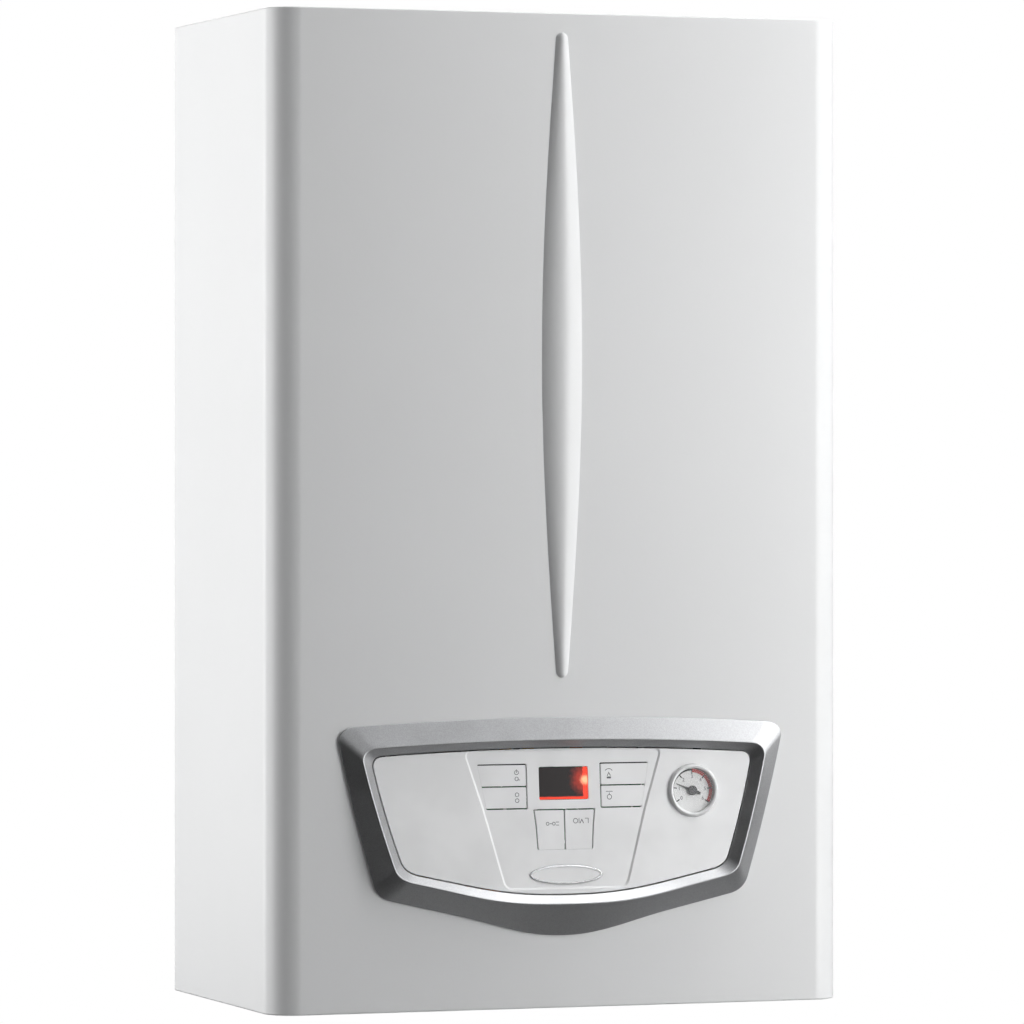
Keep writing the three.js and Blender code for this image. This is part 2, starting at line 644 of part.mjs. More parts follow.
function makeFascia() {
  const half = KEY_SLOT / 2;
  const skin = plate(new THREE.Shape(panelLoop(FASCIA_GAP)), FASCIA_THICKNESS, FASCIA_THICKNESS);
  const recess = polygon([[-75, 47], [75, 47], [62, 6], [46, -53], [-46, -53], [-62, 6]]);
  const through = (shape) => plate(shape, FASCIA_THICKNESS + 1, FASCIA_THICKNESS + 2);
  const windows = [-1, 1].flatMap((side) => [
    through(sideKeyShape(side, 0, half, 0)),
    through(sideKeyShape(side, 1, half, 0)),
    through(lowKeyShape(side, half, 0, -half)),
  ]);
  const displayHole = through(roundRect(0, DISPLAY_V, DISPLAY_WIDTH, DISPLAY_HEIGHT, 1.5));
  const gaugeHole = barY(GAUGE_X, [-2, FASCIA_THICKNESS + 2], GAUGE_V, GAUGE_RADIUS - GAUGE_RIM + SEAT, 18);
  const badgePocket = plate(badgeShape(SEAT), FASCIA_RECESS + 1, 2);
  const recessTool = plate(recess, FASCIA_RECESS, FASCIA_RECESS + 1);
  return part('fascia', cut(skin, recessTool, ...windows, displayHole, gaugeHole, badgePocket), whitePlastic);
}

function badgeShape(margin) {
  const [a, b] = [BADGE_WIDTH / 2 + margin, BADGE_HEIGHT / 2 + margin];
  const angles = Array.from({ length: 28 }, (_, i) => (i / 28) * 2 * Math.PI);
  return polygon(angles.map((angle) => [a * Math.cos(angle), BADGE_V + b * Math.sin(angle)]));
}

const makeBadge = () =>
  part('badge_plaque', plate(badgeShape(0), FASCIA_RECESS + 1 - SEAT, 1 - SEAT + BADGE_PROUD), whitePlastic);

function makeDisplayLens() {
  const glass = roundRect(0, DISPLAY_V, DISPLAY_WIDTH - 2 * SEAT, DISPLAY_HEIGHT - 2 * SEAT, 1.2);
  return part('display_window', plate(glass, FASCIA_THICKNESS, FASCIA_THICKNESS - FASCIA_RECESS + 0.1), redFilter);
}

/** Board with the display module, a switch under each key post, relays and a transformer. */
function makeBoard() {
  const [front, back] = [BOARD_DEPTH, BOARD_DEPTH + 1.6];
  const board = block(BOARD_X, [front, back], BOARD_V);
  const module = block([-24, 24], [front + 0.5, FASCIA_THICKNESS + 1], [DISPLAY_V - 15, DISPLAY_V + 15]);
  const switches = [-1, 1].flatMap((side) => [
    ...[0.5, 1.5].map((row) => [side * (SIDE_KEY_INNER_X + 8), SIDE_KEY_TOP - row * SIDE_KEY_HEIGHT]),
    [side * 10, LOW_KEY_TOP - 8],
  ]).map(([x, v]) => block([x - 3, x + 3], [front + 0.5, front - 4.5], [v - 3, v + 3]));
  const relays = RELAY_X.map((x) => block([x, x + RELAY_SIZE], [back - 0.5, back + RELAY_SIZE], RELAY_V));
  const transformer = block(TRANSFORMER_X, [back - 0.5, back + TRANSFORMER_DEPTH], TRANSFORMER_V);
  return part('control_board', join(board, module, ...switches, ...relays, transformer), boardGreen);
}

/** Moulded box behind the fascia, with the two pins that it tips down on. */
function makeControlBox() {
  const depth = FASCIA_THICKNESS + SEAT;
  const outer = plate(new THREE.Shape(boxLoop(BOX_INSET)), depth + BOX_DEPTH, BOX_DEPTH);
  const cavity = plate(new THREE.Shape(boxLoop(BOX_INSET + BOX_WALL)), depth + BOX_DEPTH - BOX_WALL, BOX_DEPTH);
  const posts = [[-89, -22], [-89, 28], [67, 28], [67, -22]].map(([x, v]) =>
    barY(x, [depth + BOX_DEPTH - 1, BOARD_DEPTH + 1.6 + SEAT], v, 3.5, 8));
  const pinX = pinSpan();
  const pins = [-1, 1].map((side) =>
    barX([side * pinX[0], side * pinX[1]], depth + BOX_DEPTH - 14, BOX_PIN_V, BOX_PIN_RADIUS, 10));
  const gaugeHole = barY(GAUGE_X, [depth + BOX_DEPTH - 6, depth + BOX_DEPTH + 4], GAUGE_V, 5.5, 10);
  const ribs = [-60, -20, 20, 60].map((x) => block([x - 1, x + 1], [depth + BOX_DEPTH - 1, depth + BOX_DEPTH + 3], [-30, 38]));
  const box = join(cut(join(outer, ...ribs), cavity), ...posts);
  return part('control_box', cut(join(box, ...pins), gaugeHole), darkPlastic);
}

/** Root and tip of a pin, from the box's side wall at the pin's height. */
function pinSpan() {
  const right = boxLoop(BOX_INSET).filter((p) => p.x > 60);
  const above = right.filter((p) => p.y >= BOX_PIN_V).sort((p, q) => p.y - q.y)[0];
  const below = right.filter((p) => p.y < BOX_PIN_V).sort((p, q) => q.y - p.y)[0];
  const wall = below.clone().lerp(above, (BOX_PIN_V - below.y) / (above.y - below.y)).x;
  return [wall - 1.9, wall + 12];
}

function makeGauge() {
  const inner = GAUGE_RADIUS - GAUGE_RIM;
  const rim = new THREE.LatheGeometry([
    [inner, 0], [inner, -2.2], [inner + 0.9, -2.8], [GAUGE_RADIUS - 0.8, -1.8], [GAUGE_RADIUS, -SEAT], [inner, 0],
  ].map(([r, y]) => new THREE.Vector2(r, y)), 40).translate(GAUGE_X, 0, GAUGE_V);
  const bodyRadius = inner - 0.2;
  const body = barY(GAUGE_X, [-0.6, GAUGE_BODY_LENGTH], GAUGE_V, bodyRadius + 0.2, 32);
  const well = barY(GAUGE_X, [-4, 3], GAUGE_V, bodyRadius - 0.8, 32);
  const boreRadius = 0.9;
  const bore = barY(GAUGE_X, [2, 9], GAUGE_V, boreRadius, 10);
  const stem = barY(GAUGE_X, [GAUGE_BODY_LENGTH - 1, BOX_DEPTH + FASCIA_THICKNESS + 2], GAUGE_V, 4, 10);
  const gaugeCase = cut(join(rim, body, stem), well, bore);
  const dialRadius = bodyRadius - 0.8 - SEAT;
  const dial = cut(barY(GAUGE_X, [3 - SEAT, 2.2], GAUGE_V, dialRadius, 32), barY(GAUGE_X, [0, 4], GAUGE_V, boreRadius, 10));
  const lens = turned([[0, 0], [dialRadius, 0], [dialRadius, 0.8], [dialRadius * 0.6, 1.5], [0, 1.8]], 32)
    .rotateX(Math.PI / 2).translate(GAUGE_X, -0.5, GAUGE_V);
  const pointer = new THREE.Shape();
  pointer.moveTo(-6.5, -0.8);
  pointer.absarc(0, 0, GAUGE_HUB_RADIUS, -2.7, -0.25);
  pointer.lineTo(GAUGE_NEEDLE_LENGTH, -0.35);
  pointer.lineTo(GAUGE_NEEDLE_LENGTH, 0.35);
  pointer.absarc(0, 0, GAUGE_HUB_RADIUS, 0.25, 2.7);
  pointer.lineTo(-6.5, 0.8);
  const turn = THREE.MathUtils.degToRad(GAUGE_REST_DEG);
  const blade = plate(pointer, 1.4, GAUGE_NEEDLE_THICKNESS).rotateY(-turn).translate(GAUGE_X, 0, GAUGE_V);
  const spindle = barY(GAUGE_X, [0.5, 7], GAUGE_V, boreRadius - 0.3, 10);
  return [
    part('gauge_case', gaugeCase, whitePlastic),
    part('gauge_dial', dial, { color: 0xf4f4f2, roughness: 0.6, metalness: 0 }),
    part('gauge_lens', lens, clearPlastic),
    part('gauge_needle', join(blade, spindle), darkPlastic),
  ];
}

function makeControlPanel() {
  const panel = new THREE.Group();
  panel.position.set(0, FRONT - PANEL_PROUD, PANEL_HEIGHT);
  panel.rotation.x = -TILT;
  panel.add(makeFascia(), ...makeKeys(), makeBadge(), makeDisplayLens(), makeBoard(), makeControlBox(), ...makeGauge());
  return panel;
}

// ---------------------------------------------------------------- frame
function makeBackFrame() {
  const y = [0, -FRAME_SHEET];
  const z = [FRAME_BOTTOM, INNER_TOP];
  const side = (s) => block([s * (INNER_HALF - FRAME_SHEET), s * INNER_HALF], [0, -FRAME_FLANGE], z);
  const top = block([-INNER_HALF, INNER_HALF], [0, -FRAME_FLANGE], [INNER_TOP - FRAME_SHEET, INNER_TOP]);
  const reach = [0, -(CHAMBER_BACK - SEAT)];
  const upZ = [CHAMBER_FLOOR, CHAMBER_TOP];
  const uprights = [-1, 1].map((s) => {
    const outer = s * CHAMBER_HALF;
    const inner = s * (CHAMBER_HALF - UPRIGHT_WIDTH);
    return join(
      block([outer - s * FRAME_SHEET, outer], reach, upZ),
      block([inner, outer], [reach[1] + FRAME_SHEET, reach[1]], upZ),
    );
  });
  const slotShape = (s) => roundRect(s * HANG_SLOT_X, INNER_TOP - 24, HANG_SLOT_WIDTH, HANG_SLOT_LENGTH, HANG_SLOT_WIDTH / 2 - 0.1);
  const slots = [-1, 1].map((s) => plate(slotShape(s), 5, 12));
  const tray = join(block([-INNER_HALF, INNER_HALF], y, z), side(-1), side(1), top, ...uprights);
  return part('back_frame', cut(tray, ...slots), galvanised);
}

/** Bracket that holds the pipe tails, with two arms that carry the control box's pins. */
function makeConnectionRail() {
  const back = -(FRAME_SHEET + SEAT);
  const shelf = [RAIL_HEIGHT, RAIL_HEIGHT + FRAME_SHEET];
  const half = 2 * PORT_PITCH + 32;
  const web = block([-half, half], [back, back - FRAME_SHEET], [FRAME_BOTTOM, shelf[1]]);
  const sheet = block([-half, half], [back, -RAIL_DEPTH], shelf);
  const ends = [-1, 1].map((s) => polygon([[back, FRAME_BOTTOM], [-RAIL_DEPTH, shelf[0] - 6], [-RAIL_DEPTH, shelf[1]], [back, shelf[1]]]))
    .map((shape, i) => new THREE.ExtrudeGeometry(shape, { depth: FRAME_SHEET, bevelEnabled: false })
      .rotateX(Math.PI / 2).rotateZ(Math.PI / 2).translate(i === 0 ? -half : half - FRAME_SHEET, 0, 0));
  const [, pinEnd] = pinSpan();
  const pinDepth = FASCIA_THICKNESS + SEAT + BOX_DEPTH - 14;
  const [, pinY, pinZ] = onPanel(0, pinDepth, BOX_PIN_V);
  const armX = [pinEnd - 6, pinEnd - 6 + FRAME_SHEET];
  const arms = [-1, 1].flatMap((s) => {
    const x = armX.map((v) => s * v);
    const ear = cut(
      join(block(x, [pinY - 12, pinY + 12], [shelf[0], pinZ]), barX(x, pinY, pinZ, 12, 14)),
      barX([x[0] - s * 3, x[1] + s * 3], pinY, pinZ, BOX_PIN_RADIUS + SEAT, 10),
    );
    return [ear, block([x[0] - s * 14, x[1]], [-RAIL_DEPTH + 1, pinY - 12], shelf)];
  });
  const holes = [-2, -1, 0, 1, 2].map((i) => barZ(i * PORT_PITCH, PIPE_Y, [shelf[0] - 2, shelf[1] + 2], WATER_PIPE_RADIUS + 1, 10));
  const glandHole = barZ(GLAND_X, GLAND_Y, [shelf[0] - 2, shelf[1] + 2], 8, 10);
  return part('connection_rail', cut(join(web, sheet, ...ends, ...arms), ...holes, glandHole), galvanised);
}

function makeCableGland() {
  const z = RAIL_HEIGHT;
  const body = join(
    barZ(GLAND_X, GLAND_Y, [z - SEAT - 7, z - SEAT], 11, 6),
    barZ(GLAND_X, GLAND_Y, [z - 1, z + FRAME_SHEET + 12], 7.4, 10),
    barZ(GLAND_X, GLAND_Y, [z - SEAT - 18, z - SEAT - 6], 8.5, 10),
  );
  return part('cable_gland', cut(body, barZ(GLAND_X, GLAND_Y, [z - 30, z + 30], 4, 8)), darkPlastic);
}

// ---------------------------------------------------------------- sealed chamber
function makeSealedChamber() {
  const x = [-CHAMBER_HALF, CHAMBER_HALF];
  const y = [-CHAMBER_BACK, CHAMBER_FRONT];
  const s = CHAMBER_SHEET;
  const outer = block(x, y, [CHAMBER_FLOOR, CHAMBER_TOP]);
  const inner = block([x[0] + s, x[1] - s], [y[0] - s, y[1] + s], [CHAMBER_FLOOR + s, CHAMBER_TOP - s]);
  const mouth = block([x[0] + CHAMBER_RIM, x[1] - CHAMBER_RIM], [y[1] + 5, y[1] - 5], [CHAMBER_FLOOR + CHAMBER_RIM, CHAMBER_TOP - CHAMBER_RIM]);
  const roof = [CHAMBER_TOP - 4, CHAMBER_TOP + 4];
  const floor = [CHAMBER_FLOOR - 4, CHAMBER_FLOOR + 4];
  const holes = [
    barZ(0, FLUE_Y, roof, AIR_RADIUS - COLLAR_SHEET, 20),
    barZ(FLOW_PIPE_X, STACK_Y, floor, WATER_PIPE_RADIUS + 1.5, 10),
    barZ(PUMP_X, STACK_Y, floor, WATER_PIPE_RADIUS + 1.5, 10),
    barZ(GAS_FEED_X, FEED_Y, floor, GAS_PIPE_RADIUS + 1, 10),
  ];
  return part('sealed_chamber', cut(outer, inner, mouth, ...holes), aluminised);
}

/** Pressed front cover of the chamber with a raised field and the sight-glass seat. */
function makeChamberCover() {
  const y = CHAMBER_FRONT - SEAT;
  const t = CHAMBER_SHEET;
  const [cx, cz] = [0, (CHAMBER_FLOOR + CHAMBER_TOP) / 2];
  const [w, h] = [2 * CHAMBER_HALF, CHAMBER_TOP - CHAMBER_FLOOR];
  const sheet = plate(roundRect(cx, cz, w, h, 6), y, t);
  const field = (grow, depth) => new ConvexGeometry([-1, 1].flatMap((sx) => [-1, 1].flatMap((sz) => [
    new THREE.Vector3(cx + sx * (w / 2 - 22 + grow), y, cz + sz * (h / 2 - 22 + grow)),
    new THREE.Vector3(cx + sx * (w / 2 - 30 + grow), y - depth, cz + sz * (h / 2 - 30 + grow)),
  ])));
  const pressed = cut(join(sheet, field(0, COVER_DEPTH)), field(-t, COVER_DEPTH - t));
  const sightZ = CHAMBER_FLOOR + SIGHT_HEIGHT;
  return part('chamber_cover', cut(pressed, barY(0, [y + 4, y - 20], sightZ, SIGHT_RADIUS - 3, 16)), aluminised);
}

function makeSightGlass() {
  const y = CHAMBER_FRONT - SEAT - COVER_DEPTH + CHAMBER_SHEET + SEAT;
  return part('sight_glass', barY(0, [y, y + 3], CHAMBER_FLOOR + SIGHT_HEIGHT, SIGHT_RADIUS, 16), glassClear);
}

function makeExpansionVessel() {
  const z = (CHAMBER_FLOOR + CHAMBER_TOP) / 2;
  const [r, d, t] = [VESSEL_RADIUS, VESSEL_DEPTH, VESSEL_SHEET];
  const dish = (radius, depth) => [
    [0, -depth / 2], [radius * 0.72, -depth / 2], [radius * 0.9, -depth * 0.4], [radius, -depth * 0.16],
    [radius, depth * 0.16], [radius * 0.9, depth * 0.4], [radius * 0.72, depth / 2], [0, depth / 2],
  ];
  const back = FRAME_SHEET + SEAT;
  const seam = cut(turned([[0, -2], [r + 3, -2], [r + 3, 2], [0, 2]], 24), turned([[0, -3], [r - 2, -3], [r - 2, 3], [0, 3]], 24));
  const shell = cut(turned(dish(r, d), 24), turned(dish(r - t, d - 2 * t), 24));
  const body = join(shell, seam);
  const nippleX = VESSEL_PIPE_X;
  const drop = Math.sqrt(r * r - nippleX * nippleX);
  const geometry = toGeometry(body).rotateX(Math.PI / 2).translate(0, -(back + d / 2), z);
  const nipple = barZ(nippleX, -(back + d / 2), [z - drop - 12, z - drop + 8], 9, 6);
  const bore = barZ(nippleX, -(back + d / 2), [z - drop - 20, z - drop + 16], 5, 8);
  return part('expansion_vessel', cut(join(geometry, nipple), bore), paintedRed);
}

/** Where the vessel's nipple ends. */
function vesselPort() {
  const z = (CHAMBER_FLOOR + CHAMBER_TOP) / 2;
  const drop = Math.sqrt(VESSEL_RADIUS ** 2 - VESSEL_PIPE_X ** 2);
  return [VESSEL_PIPE_X, -(FRAME_SHEET + SEAT + VESSEL_DEPTH / 2), z - drop - 12];
}

// ---------------------------------------------------------------- burner and heat exchanger
/** One burner blade: throat at the front, crenellated flame ports along the top. */
function bladeShape() {
  const [y0, y1] = [STACK_Y - BURNER_DEPTH / 2, STACK_Y + BURNER_DEPTH / 2];
  const bottom = FLOOR_TOP + SEAT;
  const top = BURNER_TOP;
  const points = [[y0, bottom + 4], [y0, bottom + 18], [y0 + 12, bottom + 24], [y0 + 12, top]];
  const run = y1 - y0 - 12;
  const pitch = run / (BLADE_PORTS + 0.5);
  for (let i = 0; i < BLADE_PORTS; i += 1) {
    const start = y0 + 12 + pitch * (i + 0.5);
    points.push([start, top], [start, top - 7], [start + pitch * 0.5, top - 7], [start + pitch * 0.5, top]);
  }
  points.push([y1, top], [y1, bottom + 10], [y1 - 14, bottom + 4]);
  return polygon(points);
}

function makeBurner() {
  const bottom = FLOOR_TOP + SEAT;
  const pitch = (BURNER_WIDTH - 16) / BLADE_COUNT;
  const blade = new THREE.ExtrudeGeometry(bladeShape(), { depth: BLADE_THICKNESS, bevelEnabled: false })
    .rotateX(Math.PI / 2).rotateZ(Math.PI / 2);
  const blades = Array.from({ length: BLADE_COUNT }, (_, i) =>
    blade.clone().translate((i - (BLADE_COUNT - 1) / 2) * pitch - BLADE_THICKNESS / 2, 0, 0));
  const [y0, y1] = [STACK_Y - BURNER_DEPTH / 2, STACK_Y + BURNER_DEPTH / 2];
  const sides = [-1, 1].map((s) => block([s * BURNER_WIDTH / 2, s * (BURNER_WIDTH / 2 - 2)], [y0 + 8, y1], [bottom, BURNER_TOP]));
  const rails = [
    block([-BURNER_WIDTH / 2, BURNER_WIDTH / 2], [y0 + 14, y0 + 16], [bottom + 22, bottom + 34]),
    block([-BURNER_WIDTH / 2, BURNER_WIDTH / 2], [y1 - 2, y1], [bottom + 22, bottom + 40]),
  ];
  return part('burner', join(...blades, ...sides, ...rails), stainless);
}

/** Gas bar with an injector in front of each blade's throat. */
function makeInjectorBar() {
  const pitch = (BURNER_WIDTH - 16) / BLADE_COUNT;
  const bottom = FLOOR_TOP + SEAT;
  const z = bottom + 11;
  const y = [FEED_Y - 7, FEED_Y + 1];
  const bar = block([-BURNER_WIDTH / 2, BURNER_WIDTH / 2], y, [z - 6, z + 6]);
  const feet = [-1, 1].map((s) => block([s * BURNER_WIDTH / 2, s * (BURNER_WIDTH / 2 - 12)], y, [bottom, z]));
  const nozzles = Array.from({ length: BLADE_COUNT }, (_, i) =>
    barY((i - (BLADE_COUNT - 1) / 2) * pitch, [y[1] - 1, y[1] + 4], z, 3, 6));
  return part('injector_bar', join(bar, ...feet, ...nozzles), brass);
}

/** Ceramic igniter and flame sensor on one plate, reaching over the burner from the front. */
const ELECTRODES = [[-32, 3.2], [-18, 3.2], [30, 3.2]];

function makeElectrodes() {
  const z = BURNER_TOP + 9;
  const face = STACK_Y - FIREBOX_DEPTH / 2 - SEAT;
  const plateBody = block(ELECTRODE_PLATE, [face, face - 1.5], [z - 6, z + 6]);
  const rods = ELECTRODES.map(([x, r]) => join(
    barY(x, [face - 12, face + FIREBOX_WALL + 4], z, r, 8),
    barY(x, [face + FIREBOX_WALL, face + FIREBOX_WALL + ELECTRODE_REACH], z, 1, 6),
  ));
  return part('electrodes', join(plateBody, ...rods), ceramicWhite);
}

function makeFirebox() {
  const [w, d] = [FIREBOX_WIDTH / 2, FIREBOX_DEPTH / 2];
  const z = [BURNER_TOP + SEAT, EXCHANGER_BOTTOM - SEAT];
  const shell = block([-w, w], [STACK_Y - d, STACK_Y + d], z);
  const fire = block([-w + FIREBOX_WALL, w - FIREBOX_WALL], [STACK_Y - d + FIREBOX_WALL, STACK_Y + d - FIREBOX_WALL], [z[0] - 5, z[1] + 5]);
  const rim = block([-w - 4, w + 4], [STACK_Y - d, STACK_Y + d], [z[1] - 2, z[1]]);
  const rodHoles = ELECTRODES.map(([x, r]) => barY(x, [STACK_Y - d - 3, STACK_Y - d + FIREBOX_WALL + 3], BURNER_TOP + 9, r + 0.4, 8));
  return part('firebox', cut(join(shell, rim), fire, ...rodHoles), aluminised);
}

/** Copper fins threaded on tubes between two water boxes. */
function makeExchanger() {
  const z = [EXCHANGER_BOTTOM, EXCHANGER_BOTTOM + EXCHANGER_HEIGHT];
  const half = EXCHANGER_WIDTH / 2;
  const [y0, y1] = [STACK_Y - FIREBOX_DEPTH / 2 + 6, STACK_Y + FIREBOX_DEPTH / 2 - 6];
  const fins = Array.from({ length: FIN_COUNT }, (_, i) => {
    const x = -half + (2 * half * i) / (FIN_COUNT - 1);
    return block([x - FIN_THICKNESS / 2, x + FIN_THICKNESS / 2], [y0, y1], z);
  });
  const jacket = [-1, 1].map((s) =>
    block([s * (half - 1), s * (half + 1.2)], [STACK_Y - FIREBOX_DEPTH / 2, STACK_Y + FIREBOX_DEPTH / 2], z));
  const pitch = (y1 - y0) / TUBE_COUNT;
  const tubes = Array.from({ length: TUBE_COUNT }, (_, i) =>
    barX([-half - 2, half + 2], y0 + pitch * (i + 0.5), TUBE_Z, TUBE_RADIUS, 6));
  const box = (s) => block([s * (half + 1), s * (half + HEADER_LENGTH)], [y0 + 3, y1 - 3], [TUBE_Z - 11, TUBE_Z + 11]);
  return part('heat_exchanger', join(...jacket, ...fins, ...tubes, box(-1), box(1)), copper);
}

function makeHood() {
  const t = HOOD_SHEET;
  const corners = (grow) => {
    const [w, d] = [FIREBOX_WIDTH / 2 - grow, FIREBOX_DEPTH / 2 - grow];
    const duct = FAN_START_RADIUS - grow;
    return [-1, 1].flatMap((sx) => [
      new THREE.Vector3(sx * w, STACK_Y - d, HOOD_BOTTOM),
      new THREE.Vector3(sx * w, STACK_Y + d, HOOD_BOTTOM),
      new THREE.Vector3(FAN_X + sx * duct, HOOD_FRONT + grow, HOOD_BOTTOM + HOOD_SKIRT),
      new THREE.Vector3(FAN_X + sx * duct, HOOD_BACK - grow, HOOD_BOTTOM + HOOD_SKIRT),
    ]);
  };
  const duct = (grow) => block(
    [FAN_X - FAN_START_RADIUS + grow, FAN_X + FAN_START_RADIUS - grow],
    [HOOD_BACK - grow, HOOD_FRONT + grow], [HOOD_BOTTOM + HOOD_SKIRT - 1, FAN_TOP - 6 - grow]);
  const outer = join(new ConvexGeometry(corners(0)), duct(0));
  const mouth = block([-FIREBOX_WIDTH / 2 + t, FIREBOX_WIDTH / 2 - t],
    [STACK_Y - FIREBOX_DEPTH / 2 + t, STACK_Y + FIREBOX_DEPTH / 2 - t], [HOOD_BOTTOM - 2, HOOD_BOTTOM + 0.01]);
  const inner = join(new ConvexGeometry(corners(t)), duct(t), mouth);
  const eye = barY(FAN_X, [HOOD_FRONT - 4, HOOD_FRONT + 4], FAN_Z, FAN_INLET_RADIUS, 14);
  return part('flue_hood', cut(outer, inner, eye), aluminised);
}

// ---------------------------------------------------------------- fan and flue
/** Outline of the snail housing: a spiral that opens into a duct straight up. */
function scrollShape(wall) {
  const points = [];
  const steps = 22;
  for (let i = 0; i <= steps; i += 1) {
    const turn = THREE.MathUtils.degToRad(FAN_TONGUE_DEG + ((360 - FAN_TONGUE_DEG) * i) / steps);
    const r = FAN_START_RADIUS + ((FAN_END_RADIUS - FAN_START_RADIUS) * i) / steps - wall;
    points.push([FAN_X + r * Math.cos(turn), FAN_Z + r * Math.sin(turn)]);
  }
  const right = points[points.length - 1][0];
  const left = points[0][0] + (wall > 0 ? 2 * wall : 0);
  const top = FAN_TOP + (wall > 0 ? 5 : 0);
  return polygon([...points, [right, top], [left, top]]);
}

function makeFanHousing() {
  const t = HOOD_SHEET;
  const outer = plate(scrollShape(0), FAN_BACK, FAN_WIDTH);
  const inner = plate(scrollShape(t), FAN_BACK - t, FAN_WIDTH - 2 * t);
  const inlet = barY(FAN_X, [FAN_BACK + 5, FAN_BACK - 5], FAN_Z, FAN_INLET_RADIUS, 16);
  const shaftHole = barY(FAN_X, [FAN_FRONT + 5, FAN_FRONT - 5], FAN_Z, 12, 10);
  return part('fan_housing', cut(outer, inner, inlet, shaftHole), galvanised);
}

/** Wheel with forward-curved blades between a back plate and a ring, on its shaft. */
function makeFanWheel() {
  const [y0, y1] = [FAN_BACK - 5, FAN_FRONT + 5];
  const hub = barY(FAN_X, [y1, (y0 + y1) / 2], FAN_Z, 8, 10);
  const backPlate = barY(FAN_X, [y1, y1 + 1.5], FAN_Z, WHEEL_RADIUS, 18);
  const ring = cut(barY(FAN_X, [y0, y0 - 2], FAN_Z, WHEEL_RADIUS, 18), barY(FAN_X, [y0 + 1, y0 - 3], FAN_Z, WHEEL_RADIUS - 9, 18));
  const blades = Array.from({ length: WHEEL_BLADES }, (_, i) => {
    const angle = (i / WHEEL_BLADES) * 2 * Math.PI;
    const blade = block([-4.5, 4.5], [y0 - 0.5, y1 + 0.5], [-0.7, 0.7]).rotateY(-0.7);
    return blade.translate(WHEEL_RADIUS - 5.5, 0, 0).rotateY(-angle).translate(FAN_X, 0, FAN_Z);
  });
  const shaft = barY(FAN_X, [y1 + 1, FAN_FRONT - SEAT - 24], FAN_Z, 3, 8);
  return part('fan_wheel', join(backPlate, ring, hub, shaft, ...blades), stainless);
}

function makeFanMotor() {
  const back = FAN_FRONT - SEAT;
  const front = back - FAN_MOTOR_LENGTH;
  const flange = barY(FAN_X, [back, back - 3], FAN_Z, FAN_MOTOR_RADIUS + 8, 14);
  const can = barY(FAN_X, [back - 2, front], FAN_Z, FAN_MOTOR_RADIUS, 14);
  const grooves = [0.4, 0.65].map((share) => {
    const y = back - FAN_MOTOR_LENGTH * share;
    return cut(barY(FAN_X, [y, y - 3], FAN_Z, FAN_MOTOR_RADIUS + 2, 14), barY(FAN_X, [y + 1, y - 4], FAN_Z, FAN_MOTOR_RADIUS - 2.5, 14));
  });
  const bore = barY(FAN_X, [back + 1, back - 26], FAN_Z, 3.4, 8);
  return part('fan_motor', cut(join(flange, can), ...grooves, bore), castIronBlack);
}

/** Round outlet from the fan's duct through the roof. */
function makeFlueOutlet() {
  const base = FAN_TOP + SEAT;
  const half = FAN_WIDTH / 2 + 3;
  const foot = block([-half, half], [FLUE_Y - half, FLUE_Y + half], [base, base + 2]);
  const tube = barZ(0, FLUE_Y, [base + 1, CASING_HEIGHT - 3], FLUE_RADIUS, 18);
  const bore = barZ(0, FLUE_Y, [base - 2, CASING_HEIGHT], FLUE_RADIUS - COLLAR_SHEET, 18);
  return part('flue_outlet', cut(join(foot, tube), bore), aluminised);
}

/** Air intake collar screwed to the roof, concentric with the flue outlet. */
function makeAirCollar() {
  const z = CHAMBER_TOP + SEAT;
  const flange = barZ(0, FLUE_Y, [z, z + 1.5], AIR_RADIUS + 12, 20);
  const neck = barZ(0, FLUE_Y, [z + 1, CASING_HEIGHT - 1.5], AIR_RADIUS, 20);
  const bore = barZ(0, FLUE_Y, [z - 2, CASING_HEIGHT + 2], AIR_RADIUS - COLLAR_SHEET, 20);
  return part('air_collar', cut(join(flange, neck), bore), castAluminium);
}

function makeAirSwitch() {
  const x = CHAMBER_HALF - CHAMBER_SHEET - SEAT;
  const [y, z] = [STACK_Y - 10, FAN_Z + 10];
  const foot = block([x - 2, x], [y - 20, y + 20], [z - 26, z + 26]);
  const neck = block([x - 20, x - 1], [y - 8, y + 8], [z - 8, z + 8]);
  const drum = join(
    barX([x - 34, x - 19], y, z, 28, 16), barX([x - 46, x - 33], y, z, 22, 16), barX([x - 30, x - 26], y, z, 31, 16));
  const ports = [-8, 8].map((dz) => barX([x - AIR_SWITCH_REACH - 8, x - AIR_SWITCH_REACH + 5], y, z + dz, 3, 8));
  return part('air_pressure_switch', join(foot, neck, drum, ...ports), greyPlastic);
}

// ---------------------------------------------------------------- hydraulic pieces
/** Straight pipe tail with its union nut, from the bay's bottom to a port. */
function makeTail(name, x, top, radius, finish) {
  const nutBottom = TAIL_BOTTOM;
  const body = join(
    barZ(x, PIPE_Y, [nutBottom, nutBottom + NUT_HEIGHT], radius + 6, 6),
    barZ(x, PIPE_Y, [nutBottom + 1, top - SEAT], radius, 10),
  );
  return part(name, cut(body, barZ(x, PIPE_Y, [nutBottom - 1, nutBottom + 16], radius - 2, 10)), finish);
}

